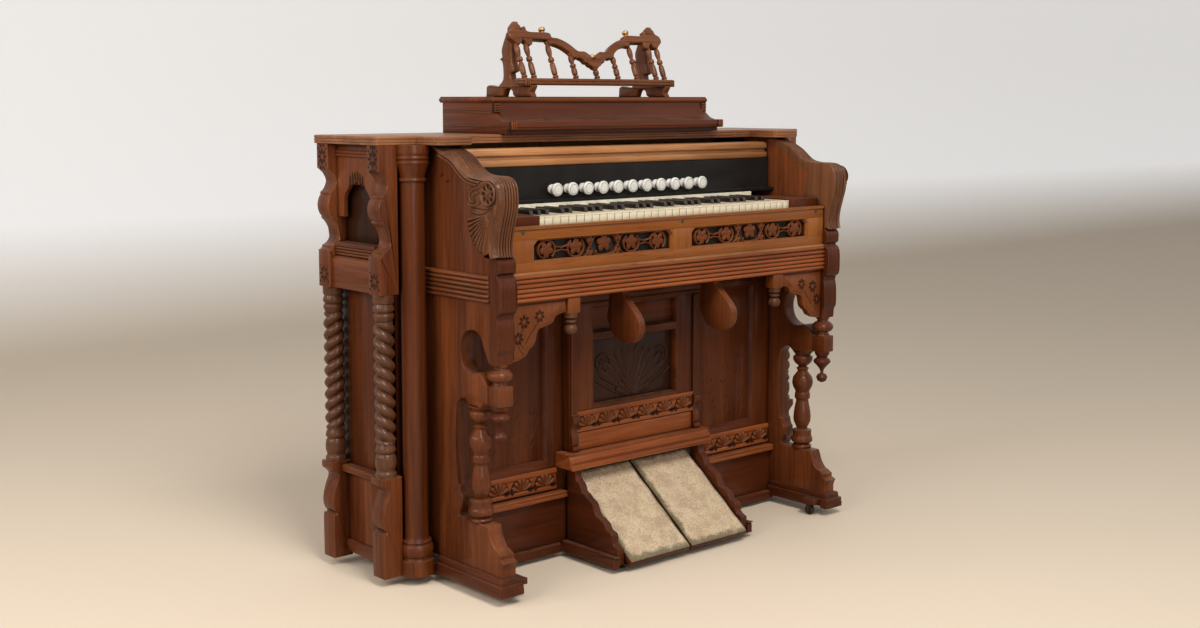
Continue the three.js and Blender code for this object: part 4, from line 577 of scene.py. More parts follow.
def catmull(points: Shares, steps: int = 5, corner: float = 42.0, closed: bool = True) -> np.ndarray:
    """Rounds an outline: bends under the corner angle become smooth Catmull-Rom curves.

    Between two points p1 and p2 the curve is the cubic through them whose slopes are half the chord
    from the point before to the point after; a corner gets the slope of its own straight side.

    Args:
        points: The outline's points.
        steps: New points on each side.
        corner: The least turn, in degrees, that stays a sharp corner.
        closed: Whether the last point joins the first.

    Returns:
        An array of points, without a repeated end.
    """
    p = np.asarray(points, float)
    before, after = np.roll(p, 1, 0), np.roll(p, -1, 0)
    a, b = p - before, after - p
    turn = np.degrees(np.abs(np.arctan2(a[:, 0] * b[:, 1] - a[:, 1] * b[:, 0], (a * b).sum(1))))
    sharp = turn > corner
    if not closed:
        sharp[0] = sharp[-1] = True
    p1, p2 = p, after
    p0 = np.where(sharp[:, None], p1 - (p2 - p1), before)
    p3 = np.where(np.roll(sharp, -1)[:, None], p2 + (p2 - p1), np.roll(p, -2, 0))
    t = (np.arange(steps) / steps)[None, :, None]
    p0, p1, p2, p3 = (q[:, None, :] for q in (p0, p1, p2, p3))
    curve = 0.5 * (2 * p1 + (p2 - p0) * t + (2 * p0 - 5 * p1 + 4 * p2 - p3) * t**2
                   + (3 * p1 - p0 - 3 * p2 + p3) * t**3)
    if not closed:
        return np.vstack([curve[:-1].reshape(-1, 2), p[-1:]])
    straight = sharp & np.roll(sharp, -1)
    keep = np.ones((len(p), steps), bool)
    keep[straight, 1:] = False
    return curve.reshape(-1, 2)[keep.reshape(-1)]


def spread(shares: Shares, a0: float, a1: float, b0: float, b1: float) -> np.ndarray:
    """Places a table of shares in a rectangle of real sizes."""
    table = np.asarray(shares, float)
    return np.stack([a0 + table[:, 0] * (a1 - a0), b0 + table[:, 1] * (b1 - b0)], 1)


def curve_of(shares: Shares, a0: float, a1: float, b0: float, b1: float, steps: int = 5,
             corner: float = 55.0) -> np.ndarray:
    """An open smooth curve through a table of shares placed in a rectangle."""
    return catmull(spread(shares, a0, a1, b0, b1), steps, corner, closed=False)


def rectangle(a0: float, b0: float, a1: float, b1: float) -> np.ndarray:
    """The four corners of a rectangle."""
    return np.array([[a0, b0], [a1, b0], [a1, b1], [a0, b1]], float)


def around(a: float, b: float, reach, turn, tall=None) -> np.ndarray:
    """Points at given turns, in radians, round a centre: on a circle, or on an ellipse `tall` high."""
    return np.stack([a + reach * np.cos(turn), b + (reach if tall is None else tall) * np.sin(turn)], -1)


def inward(outline: np.ndarray) -> np.ndarray:
    """The mitred inward normals of a closed outline, one for each point."""
    before, after = np.roll(outline, 1, 0), np.roll(outline, -1, 0)
    area = 0.5 * np.sum(outline[:, 0] * after[:, 1] - after[:, 0] * outline[:, 1])
    sign = 1.0 if area > 0 else -1.0

    def normal(v: np.ndarray) -> np.ndarray:
        """Unit normals of edge vectors."""
        n = np.stack([-v[:, 1], v[:, 0]], 1) * sign
        return n / np.maximum(np.linalg.norm(n, axis=1, keepdims=True), TINY)

    first, second = normal(outline - before), normal(after - outline)
    both = first + second
    return both / np.maximum((both * first).sum(1, keepdims=True), 0.5)


def rounded_corners(outline: np.ndarray, radius: float) -> np.ndarray:
    """Cuts each corner of an outline with two points near it, as a small round."""
    before, after = np.roll(outline, 1, 0), np.roll(outline, -1, 0)
    a, b = before - outline, after - outline
    a, b = (v / np.linalg.norm(v, axis=1, keepdims=True) for v in (a, b))
    middle = outline + (a + b) * radius * ROUND_SHARE
    return np.stack([outline + a * radius, middle, outline + b * radius], 1).reshape(-1, 2)


def reed_face(face: float, depth: float, low: float, high: float, count: int, fine: int = 6) -> np.ndarray:
    """A reeded face: round beads side by side.

    Each bead is an arc: with s from -1 to 1 across a bead, the face stands out by depth times the
    square root of one less s squared.

    Args:
        face: The place of the grooves.
        depth: How far the beads stand out from them, with its sign.
        low: The lower end.
        high: The upper end.
        count: Number of beads.
        fine: Points on a bead.

    Returns:
        Points (face place, height).
    """
    s = np.linspace(-0.985, 0.985, fine)
    height = low + (high - low) * (np.arange(count)[:, None] + (s[None] + 1) / 2) / count
    out = face + depth * np.sqrt(1 - s**2)[None] + 0 * height
    return np.stack([out, height], -1).reshape(-1, 2)


def ray_cut(a: float, b: float, reach: float, degrees: float, length: float, width: float) -> tuple:
    """A gouge cut that points away from (a, b), with its middle a reach away."""
    turn = math.radians(degrees)
    return a + reach * math.cos(turn), b + reach * math.sin(turn), degrees, length, width


def star_cuts(a: float, b: float, reach: float, petals: int, width: float) -> list[tuple]:
    """The gouge cuts of a star flower round one centre; the width is a share of the reach."""
    return [ray_cut(a, b, 0.62 * reach, 360.0 * k / petals + 90.0, 0.72 * reach, width * reach)
            for k in range(petals)]


def quads(rows: int, columns: int, round_rows: bool = False, round_columns: bool = True) -> np.ndarray:
    """The faces of a grid whose points are stored row by row.

    Args:
        rows: Number of rows.
        columns: Points in a row.
        round_rows: Whether the last row joins the first.
        round_columns: Whether the last column joins the first.

    Returns:
        An array of four indices a face.
    """
    r = np.arange(rows if round_rows else rows - 1)
    c = np.arange(columns if round_columns else columns - 1)
    i, j = np.meshgrid(r, c, indexing="ij")
    i2, j2 = (i + 1) % rows, (j + 1) % columns
    corners = [i * columns + j, i * columns + j2, i2 * columns + j2, i2 * columns + j]
    return np.stack(corners, -1).reshape(-1, 4)


def cap(outline: np.ndarray) -> list[tuple[int, int, int]]:
    """Cuts the inside of a closed outline into triangles."""
    return [tuple(t) for t in tessellate_polygon([[Vector((float(a), float(b), 0.0)) for a, b in outline]])]


def stand_outline(outline: np.ndarray, plane: Plane, at: float | np.ndarray) -> np.ndarray:
    """Puts outline points (A, B) at a place along the plane's axis, as X, Y and Z."""
    level = np.broadcast_to(at, outline.shape[:-1])
    a, b = outline[..., 0], outline[..., 1]
    return np.stack({Plane.X: (level, a, b), Plane.Y: (a, level, b), Plane.Z: (a, b, level)}[plane], -1)


def leaned(shape: Shape, degrees: float, pivot: Sequence[float]) -> Shape:
    """Turns a shape about an X-wise axis and moves its origin to the pivot."""
    t, (points, faces) = math.radians(degrees), shape
    x, y, z = points[..., 0], points[..., 1], points[..., 2]
    turned = np.stack([x, y * math.cos(t) - z * math.sin(t), y * math.sin(t) + z * math.cos(t)], -1)
    return turned + np.asarray(pivot, float), faces


def flipped(shape: Shape, side: Side) -> Shape:
    """A shape made for the right end, mirrored for the left end."""
    return shape[0] * np.array([side.value, 1.0, 1.0]), shape[1]


# Shapes: each function gives points in drawing millimetres and the faces between them


def carried_shape(outline: np.ndarray, plane: Plane, sections: Iterable[tuple],
                  mask: np.ndarray | None = None) -> Shape:
    """A board whose outline is carried along an axis while it is drawn in.

    Each section is a place along the axis, an inset and perhaps an edge inset: the outline there is
    moved inwards along its mitred normals by the inset, and by the edge inset times the mask. The two
    ends are closed with flat faces.

    Args:
        outline: Closed outline, in the plane's two axes.
        plane: The axis that it is carried along.
        sections: Places along the axis, each with its insets.
        mask: How far each point takes part in the edge inset.

    Returns:
        Points and faces.
    """
    normals, count = inward(outline), len(outline)
    share = np.zeros(count) if mask is None else mask
    rings = [stand_outline(outline + normals * (s[1] + (s[2] * share[:, None] if len(s) > 2 else 0.0)),
                           plane, s[0])
             for s in sections]
    last = (len(rings) - 1) * count
    inside = cap(outline)
    faces = quads(len(rings), count).tolist() + [t[::-1] for t in inside]
    return np.vstack(rings), faces + [tuple(i + last for i in t) for t in inside]


def eased(low: float, high: float, r: float) -> list[Point]:
    """Sections of a board whose two faces have rounded edges."""
    near = ROUND_SHARE * r
    return [(low, r), (low + near, near), (low + r, 0.0), (high - r, 0.0), (high - near, near), (high, r)]


def box_shape(low: Sequence[float], high: Sequence[float], r: float = 1.0) -> Shape:
    """A rectangular bar with eased edges."""
    outline = rounded_corners(rectangle(low[0], low[1], high[0], high[1]), r)
    return carried_shape(outline, Plane.Z, eased(low[2], high[2], r))


def run_shape(section: Shares, low: float, high: float, steps: int = 3, corner: float = 70.0) -> Shape:
    """A moulding whose rounded section (Y, Z) runs straight along X."""
    return carried_shape(catmull(section, steps, corner), Plane.X, [(low, 0), (high, 0)])


def turned_shape(profile: Shares, centre: Sequence[float], sides: int, steps: int = 4, corner: float = 50.0,
                 axis: Plane = Plane.Z) -> Shape:
    """A turned piece: its profile of radius and length goes round an axis.

    Args:
        profile: Radius and place along the axis, in order.
        centre: The axis's place, in millimetres.
        sides: Points round the axis.
        steps: New points between two profile points.
        corner: The least bend that stays sharp.
        axis: The axis's direction.

    Returns:
        Points and faces.
    """
    curve = catmull(profile, steps, corner, closed=False)
    angle = 2 * np.pi * np.arange(sides) / sides
    r, z = np.maximum(curve[:, 0], 0.05)[:, None], curve[:, 1][:, None] + 0 * angle
    a, b = r * np.cos(angle), r * np.sin(angle)
    ring = {Plane.Z: (a, b, z), Plane.Y: (a, z, b), Plane.X: (z, a, b)}[axis]
    return np.stack(ring, -1).reshape(-1, 3) + np.asarray(centre, float), tube_faces(len(curve), sides)


def tube_faces(rows: int, sides: int) -> list:
    """The faces of a tube of rings, with its two ends."""
    last = (rows - 1) * sides
    return quads(rows, sides).tolist() + [list(range(sides))[::-1], list(range(last, last + sides))]


def ring_shape(outline: np.ndarray, profile: Shares) -> Shape:
    """A moulding that runs round an outline on a front.

    Args:
        outline: The closed outline.
        profile: Closed section, each point an inset and a place on Y.

    Returns:
        Points and faces.
    """
    n = inward(outline)
    rings = [stand_outline(outline + n * inset, Plane.Y, at) for inset, at in profile]
    return np.vstack(rings), quads(len(rings), len(outline), round_rows=True)


def band_shape(path: np.ndarray, width: float | np.ndarray, plane: Plane, base: float, top: float,
               closed: bool = False) -> Shape:
    """A flat band with a rounded top that follows a path on a board's face.

    The section has seven points: two at the base and five on a half ellipse from base to top.

    Args:
        path: Points (A, B).
        width: The band's width, one value or one for each point.
        plane: The axis that faces the band.
        base: The place of its foot on that axis.
        top: The place of its crown.
        closed: Whether the path closes.

    Returns:
        Points and faces.
    """
    if closed:
        ahead, behind = np.roll(path, -1, 0), np.roll(path, 1, 0)
    else:
        ahead, behind = np.vstack([path[1:], path[-1:]]), np.vstack([path[:1], path[:-1]])
    along = ahead - behind
    along = along / np.maximum(np.linalg.norm(along, axis=1, keepdims=True), TINY)
    side = np.stack([-along[:, 1], along[:, 0]], 1)
    turn, count = np.linspace(0, np.pi, 7), len(path)
    half = np.broadcast_to(np.asarray(width, float) / 2, (count,))
    outline = path[None] + side[None] * (np.cos(turn)[:, None, None] * half[None, :, None])
    level = base + (top - base) * np.sin(turn) ** 0.7
    points = stand_outline(outline, plane, level[:, None] + 0 * half[None])
    faces = quads(count, 7, round_rows=True).tolist() if closed else tube_faces(count, 7)
    return points.transpose(1, 0, 2).reshape(-1, 3), faces


def stroke_shape(points: Shares, steps: int, width: float, plane: Plane, base: float, top: float) -> Shape:
    """A band along a smooth open curve."""
    return band_shape(catmull(points, steps, STROKE_CORNER, False), width, plane, base, top)


def slab_shape(top: np.ndarray, low: np.ndarray, round_columns: bool = False) -> Shape:
    """A closed form between two grids of points: the upper face, the under face and the rim."""
    rows, columns = top.shape[:2]
    total = rows * columns
    index = np.arange(total).reshape(rows, columns)
    if round_columns:
        rims = [index[0], index[-1][::-1]]
    else:
        rims = [np.concatenate([index[0, :-1], index[:-1, -1], index[-1, :0:-1], index[:0:-1, 0]])]
    face = quads(rows, columns, round_columns=round_columns)
    walls = [np.stack([r, np.roll(r, -1), np.roll(r, -1) + total, r + total], 1) for r in rims]
    points = np.vstack([top.reshape(-1, 3), low.reshape(-1, 3)])
    return points, np.vstack([face, face[:, ::-1] + total, *walls])


def relief_shape(surface: Callable[[np.ndarray, np.ndarray], tuple], rows: int, columns: int, at: float,
                 round_columns: bool = False) -> Shape:
    """A carved relief laid on an outer face of the right end.

    Args:
        surface: Gives Y, Z and the height over the face for two parameters from 0 to 1.
        rows: Points along the first parameter.
        columns: Points along the second.
        at: The face's place on X.
        round_columns: Whether the second parameter closes on itself.

    Returns:
        Points and faces.
    """
    second = np.arange(columns) / columns if round_columns else np.linspace(0, 1, columns)
    u, v = np.meshgrid(np.linspace(0, 1, rows), second, indexing="ij")
    y, z, height = surface(u, v)
    outline = np.stack([y, z], -1)
    return slab_shape(stand_outline(outline, Plane.X, at + height), stand_outline(outline, Plane.X, at - 0.8),
                      round_columns)


def gouge_shapes(cuts: Sequence[tuple], plane: Plane, at: float, outward: float = 1.0,
                 depth: float = 0.7) -> list[Shape]:
    """Carver's gouge cuts, each a pointed leaf-shaped hollow with a low rim.

    Along a cut the half width is w·sin(pi·u); across it the surface dips as a parabola from the
    rim, so that each one is a small scoop standing hardly proud of the board.

    Args:
        cuts: Centre A, centre B, angle in degrees, length and width of each cut.
        plane: The axis that faces the cuts.
        at: The board face's place on that axis.
        outward: The sign of the way that the board faces.
        depth: The height of the rim over the board.

    Returns:
        One shape for each cut.
    """
    cut = np.asarray(cuts, float)
    u, v = np.linspace(0, 1, 9)[:, None], np.linspace(-1, 1, 5)[None, :]
    along = (u - 0.5) * cut[:, 3, None, None] + 0 * v
    across = np.sin(np.pi * u) * v * cut[:, 4, None, None] / 2
    turn = np.radians(cut[:, 2])[:, None, None]
    a = cut[:, 0, None, None] + along * np.cos(turn) - across * np.sin(turn)
    b = cut[:, 1, None, None] + along * np.sin(turn) + across * np.cos(turn)
    rise = depth * (0.25 + 0.75 * v**2) * np.minimum(1.0, 4 * np.sin(np.pi * u)) + 0 * a
    outline = np.stack([a, b], -1)
    top = stand_outline(outline, plane, at + outward * rise)
    under = stand_outline(outline, plane, at - outward * 0.6 + 0 * rise)
    return [slab_shape(*pair) for pair in zip(top, under)]


def fan_shape(x: float, z: float, reach: float, start: float, end: float, lobes: int, face: float,
              rise: float, root: float = 0.12) -> Shape:
    """A carved fan of round lobes, laid on a front that looks towards -Y.

    The edge is reach times 0.86 plus 0.14 of the root of the absolute sine of lobes times pi times v,
    and the height over the face is rise times that same wave, growing with the root of u.

    Args:
        x: The root's place across.
        z: The root's height.
        reach: Length of the lobes.
        start: First angle in degrees.
        end: Last angle in degrees.
        lobes: Number of lobes.
        face: The board's face.
        rise: Height of the lobes over it.
        root: Share of the reach that stays bare at the root.

    Returns:
        Points and faces.
    """
    u, v = np.meshgrid(np.linspace(0, 1, 9), np.linspace(0, 1, lobes * 8 + 1), indexing="ij")
    turn = np.radians(start + (end - start) * v)
    wave = np.abs(np.sin(np.pi * lobes * v)) ** 0.6
    height = 0.1 + rise * (0.25 + 0.75 * wave) * np.sqrt(u + 0.02) * np.minimum(1.0, 6 * (1.04 - u))
    fan = around(x, z, reach * (root + (0.86 + 0.14 * wave - root) * u), turn)
    return slab_shape(stand_outline(fan, Plane.Y, face - height), stand_outline(fan, Plane.Y, face + 0.8))


class Maker:
    """Makes pieces and fastens them to the organ's bodies."""

    def __init__(self, finishes: Finishes) -> None:
        """Keeps the finishes and counts the pieces."""
        self.finishes = finishes
        self.count = 0

    def piece(self, name: str, shapes: Iterable[Shape], finish: str, body: str = "case",
              replaces: Iterable[str] = (), smooth: float = 38.0,
              uv: np.ndarray | None = None) -> bpy.types.Object:
        """Makes one piece from shapes in drawing millimetres.

        Args:
            name: The piece's name.
            shapes: Its shapes, joined in their order.
            finish: The name of its finish.
            body: The body that it rides on.
            replaces: The solids that it stands for.
            smooth: Edges that bend more than this many degrees stay sharp.
            uv: A UV place for each vertex.

        Returns:
            The new object.
        """
        points, faces, count = [], [], 0
        for p, f in shapes:
            points.append(p)
            faces += [[i + count for i in face] for face in (f.tolist() if isinstance(f, np.ndarray) else f)]
            count += len(p)
        mesh = bpy.data.meshes.new(name)
        mesh.from_pydata(metres(np.vstack(points)).tolist(), [], faces)
        self.cleaned(mesh, 1e-6)
        if uv is not None:
            layer = mesh.uv_layers.new(name="UVMap")
            corners = np.empty(len(mesh.loops), int)
            mesh.loops.foreach_get("vertex_index", corners)
            layer.data.foreach_set("uv", uv[corners].astype(np.float32).ravel())
        return self.keep(name, mesh, finish, body, replaces, smooth)

    def cleaned(self, mesh: bpy.types.Mesh, apart: float, flat: float = 0.0) -> None:
        """Merges a mesh's doubles, joins its flat faces under an angle and turns its normals outwards."""
        work = bmesh.new()
        work.from_mesh(mesh)
        bmesh.ops.remove_doubles(work, verts=work.verts, dist=apart)
        if flat:
            bmesh.ops.dissolve_limit(work, angle_limit=flat, verts=work.verts, edges=work.edges)
        bmesh.ops.recalc_face_normals(work, faces=work.faces)
        work.to_mesh(mesh)
        work.free()

    def keep(self, name: str, mesh: bpy.types.Mesh, finish: str, body: str, replaces: Iterable[str],
             smooth: float) -> bpy.types.Object:
        """Puts a mesh into the scene as a piece on a body, in place of the solids that it replaces."""
        mesh.shade_smooth()
        mesh.set_sharp_from_angle(angle=math.radians(smooth))
        thing = bpy.data.objects.new(name, mesh)
        bpy.context.scene.collection.objects.link(thing)
        self.finishes.dress(thing, finish)
        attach(thing, body)
        if replaces:
            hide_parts(*replaces)
        self.count += 1
        LOG.info("%s: %d faces on %s", name, len(mesh.polygons), body)
        return thing

    def sided(self, name: str, shapes: Iterable[Shape], side: Side, finish: str, **more) -> bpy.types.Object:
        """Makes a piece of one end from shapes that were made for the right end."""
        return self.piece(f"{name}_{side.word}", [flipped(shape, side) for shape in shapes], finish, **more)

    def softened(self, node: str, finish: str, width: float = 0.001, body: str = "case") -> None:
        """A copy of a solid with its flat faces made whole and its edges eased by a width in metres."""
        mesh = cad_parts[node].data.copy()
        self.cleaned(mesh, 1e-5, math.radians(0.8))
        mesh.materials.clear()
        bevel = self.keep(f"{node}_eased", mesh, finish, body, (node,), EASED_CORNER).modifiers.new(
            "eased_edges", "BEVEL")
        bevel.width, bevel.segments, bevel.harden_normals = width, 2, True
        bevel.limit_method, bevel.angle_limit = "ANGLE", math.radians(EASED_CORNER)


@dataclass
class Arms:
    """The scrolled arms with reeded fronts, fans and medallions, and the turned posts under them."""

    extent: tuple[float, ...] = (-66.0, 150.0, 753.0, TOP_UNDER)
    fan_y: float = -38.0
    fan_z: float = 848.0
    fan_low: float = 76.0
    fan_high: float = 83.0
    flutes: int = 9
    reeds: int = 5
    disc_y: float = -33.5
    disc_z: float = 891.7
    disc_radius: float = 26.5
    post_front: float = -53.0
    post_back: float = -12.0

    def edge(self, t: np.ndarray, power: float) -> np.ndarray:
        """The fan's reach: its flutes swell as the absolute sine of flutes·pi·t, raised to a power."""
        wave = np.abs(np.sin(np.pi * self.flutes * t)) ** power
        return self.fan_low + (self.fan_high - self.fan_low) * wave

    def outline(self) -> tuple[np.ndarray, np.ndarray]:
        """The arm's outline (Y, Z) and the share that each point takes in the front moulding."""
        front, back = curve_of(ARM_FRONT, *self.extent, 6), curve_of(ARM_BACK[:-1], *self.extent)
        t = np.linspace(0, 1, 91)
        fan = around(self.fan_y, self.fan_z, self.edge(t, 0.7), np.radians(-8 - 68 * t))
        outline = np.vstack([front, back, fan, [[self.post_back, self.extent[2]]]])
        return outline, (np.arange(len(outline)) < len(front)).astype(float)

    def sections(self) -> list[tuple]:
        """The arm's profile across its thickness: five reeds, a groove, a hollow and a bead."""
        s = np.linspace(-0.97, 0.97, 7)
        dip = 4.0 * (1 - np.sqrt(1 - s**2)) / (1 - math.sqrt(1 - 0.97**2))
        pitch = (561.0 - CHEEK_INNER) / self.reeds
        rows: list[tuple] = [(CHEEK_INNER + pitch * (k + (a + 1) / 2), 0.0, d)
                             for k in range(self.reeds) for a, d in zip(s, dip)]
        rows += [(561.6, 0.0, 4.4), (563.2, 0.0, 4.4), (563.8, 0.0, 1.4), (564.8, 0.0, 0.6)]
        rows += [(565.5 + 15.5 * t, 0.0, 0.8 + 7.2 * math.sin(math.pi / 2 * t) ** 0.9)
                 for t in np.linspace(0, 1, 8)]
        return rows + [(582.0, 0.0, 8.0), (582.8, 0.2, 9.6), (584.2, 0.3, 9.4), (ARM_FACE, 1.4, 9.9)]

    def fan(self, side: Side, make: Maker) -> None:
        """Carves the fan: flutes that open out from a point behind the nose, with dark gouges between them as
        painted shadow.
        """
        def surface(u: np.ndarray, v: np.ndarray) -> tuple:
            """Ridges over the sine of the angle, fading towards the fan's root."""
            turn = np.radians(-8 - 72 * v)
            wave = np.abs(np.sin(np.pi * self.flutes * v)) ** 0.55
            reach = 12 + (self.edge(v, 0.55) - 0.8 + 12 * v - 12) * u
            height = 0.15 + 7.5 * wave * u**0.7 * np.minimum(1.0, 7 * (1.02 - u))
            return self.fan_y + reach * np.cos(turn), self.fan_z + reach * np.sin(turn), height
        make.sided("fan", [relief_shape(surface, 14, 109, ARM_FACE - 0.3)], side, "scroll_z", smooth=60)
        # dark gouges between the flutes: painted shadow of the cuts
        cuts = [ray_cut(self.fan_y, self.fan_z, 55 + 12 * k / self.flutes, -8 - 72 * k / self.flutes, 54, 6.4)
                for k in range(1, self.flutes)]
        make.sided("fan_cut_shadows", gouge_shapes(cuts, Plane.X, ARM_FACE + 0.3), side, "cut_z")

    def medallion(self, side: Side, make: Maker) -> None:
        """Carves the round medallion: a rim, a hub and eight hollows between spokes."""
        y, z = self.disc_y, self.disc_z

        def surface(u: np.ndarray, v: np.ndarray) -> tuple:
            """A rim and a hub over a web with eight round hollows."""
            turn, reach = 2 * np.pi * v, self.disc_radius * (0.01 + 0.99 * u)
            rim, hub, web = (np.clip(1 - w**2, 0, 1) for w in ((u - 0.93) / 0.075, u / 0.2, (u - 0.6) / 0.27))
            hollow = np.clip(np.abs(np.cos(4 * turn)) ** 0.8 - 0.18, 0, 1) * web
            height = 2.2 + 2.2 * rim**0.5 + 3.2 * hub**0.5 - 2.0 * np.clip(1.7 * hollow, 0, 1)
            return y + reach * np.cos(turn), z + reach * np.sin(turn), height
        make.sided("medallion", [relief_shape(surface, 26, 120, ARM_FACE - 0.3, True)], side, "scroll_z",
                   smooth=60)
        # painted shadow: dark gouges in the eight hollows and a dark raised ring for the groove round the rim
        holes = [(y + 16.6 * math.cos(k * math.pi / 4), z + 16.6 * math.sin(k * math.pi / 4), 45 * k + 90,
                  10.5, 8.6)
                 for k in range(8)]
        make.sided("medallion_holes", gouge_shapes(holes, Plane.X, ARM_FACE + 0.2, 1.0, 1.0), side, "cut_z")
        groove = around(y, z, 27.6, 2 * np.pi * np.arange(56) / 56)
        make.sided("medallion_groove", [
            band_shape(groove, 2.2, Plane.X, ARM_FACE - 0.6, ARM_FACE + 0.3, True)], side, "cut_z")

    def carving(self, side: Side, make: Maker) -> None:
        """Carves the two ridges under the arm's edge and the scroll, and paints in dark strokes and gouges
        the shadow of the arm's lines, of the leaves round the scroll and of the cheek's marks.
        """
        at = ARM_FACE - 0.4
        # the lines are dark strokes: painted shadow of incised lines
        make.sided("arm_line_shadows", [stroke_shape(line, 6, 2.6, Plane.X, at, at + 0.9) for line in (
            ((-58, 874), (-46, 862), (-30, 853), (-12, 847), (6, 845), (26, 848)),
            ((-40, 861), (-22, 857), (0, 858.5), (26, 859)))], side, "cut_z")
        edge = curve_of(ARM_FRONT, *self.extent, 6)
        along = np.gradient(edge, axis=0)
        inner = np.stack([along[:, 1], -along[:, 0]], 1) / np.linalg.norm(along, axis=1, keepdims=True)
        apart = np.hypot(edge[:, 0] - self.disc_y, edge[:, 1] - self.disc_z)
        run = (edge[:, 1] > 893) & (edge[:, 1] < TOP_UNDER - 3) & (edge[:, 0] > -20)
        ridges = [(edge + inner * inset)[run & (apart > self.disc_radius + inset + 4)]
                  for inset in (13.0, 20.0)]
        make.sided("arm_ridges", [band_shape(path, 5.6, Plane.X, at, at + 3.2) for path in ridges], side,
                   "scroll_z")
        scroll = []
        for points in (((-8, 906), (6, 903), (22, 899), (33, 888), (32, 877), (22, 871), (12, 876)),
                       ((-2, 893), (10, 892), (20, 886), (22, 878)),
                       ((-6, 872), (8, 866), (24, 864), (38, 868))):
            path = catmull(points, 7, STROKE_CORNER, False)
            width = 6.4 * np.sin(np.pi * np.linspace(0.1, 0.95, len(path))) ** 0.5
            scroll.append(band_shape(path, width, Plane.X, at, at + 3.0))
        make.sided("arm_scroll", scroll, side, "scroll_z")
        # dark gouges for the leaves and the cheek's marks: painted shadow of the cuts
        leaves = [(12, 908, 165, 10, 3.4), (22, 905, 150, 9, 3.4), (31, 898, 130, 9, 3.4),
                  (37, 889, 110, 9, 3.4), (38, 879, 80, 9, 3.4), (-46, 857, 0, 8, 6), (-37, 840, 0, 8, 6)]
        make.sided("arm_leaf_shadows", gouge_shapes(leaves, Plane.X, at), side, "cut_z")
        marks = [(166, 924, -25, 17, 6), (143, 911.5, -20, 19, 6)]
        make.sided("cheek_marks", gouge_shapes(marks, Plane.X, CHEEK_FACE - 0.2, 1.0, 0.6), side, "cut_z")

    def post(self, side: Side, make: Maker) -> None:
        """Shapes the post: neck, reeded block and corbel, then the collar, square block and drop."""
        low, high, top = 515.0, 626.0, self.extent[2]
        corbel = curve_of(POST_CORBEL, self.post_front, self.post_back, low, high)
        block = curve_of(POST_BLOCK[:-1], self.post_front, self.post_back, high, top)
        neck = curve_of(POST_NECK[:-1], self.post_front, self.post_back, high, top)
        middle = (self.post_front + self.post_back) / 2
        outline = np.vstack([corbel, block, neck, [[middle, 754], [self.post_back, 754],
                                                   [self.post_back, low]]])
        mask = ((outline[:, 1] > 641) & (outline[:, 1] < 700) & (outline[:, 0] < -44)).astype(float)
        rows = [(520.0, 1.2, 0.0), (521.2, 0.0, 0.0), (523.5, 0.0, 0.0)]
        rows += [(524 + 40 * (k + (a + 1) / 2) / 6, 0.0, 1.8 * abs(a) ** 2.2)
                 for k in range(6) for a in np.linspace(-1, 1, 5)]
        rows += [(564.5, 0.0, 0.0), (566.8, 0.0, 0.0), (568.0, 1.2, 0.0)]
        make.sided("arm_post", [carried_shape(outline, Plane.X, rows, mask)], side, "dusky_z")
        centre, (inner, outer) = (side.value * 543.5, -17.0, 0.0), side.span(524.0, 562.0)
        collar, drop = spread(COLLAR, 0, 28, 466, 515)[::-1], spread(DROP, 0, 22, 338, 422)[::-1]
        make.piece(f"post_collar_{side.word}", [turned_shape(collar, centre, 56)], "column_z")
        make.piece(f"post_drop_{side.word}", [turned_shape(drop, centre, 48)], "dusky_z")
        make.piece(f"post_block_{side.word}", [box_shape((inner, -40, 422), (outer, 3, 466), 2.0)],
                   "column_z")

    def build(self, make: Maker) -> None:
        """Makes both arms and posts."""
        outline, mask = self.outline()
        for side in Side:
            make.sided("arm", [carried_shape(outline, Plane.X, self.sections(), mask)], side, "scroll_z",
                       replaces=(f"cheek_{side.word}",), smooth=50)
            self.fan(side, make)
            self.medallion(side, make)
            self.carving(side, make)
            self.post(side, make)


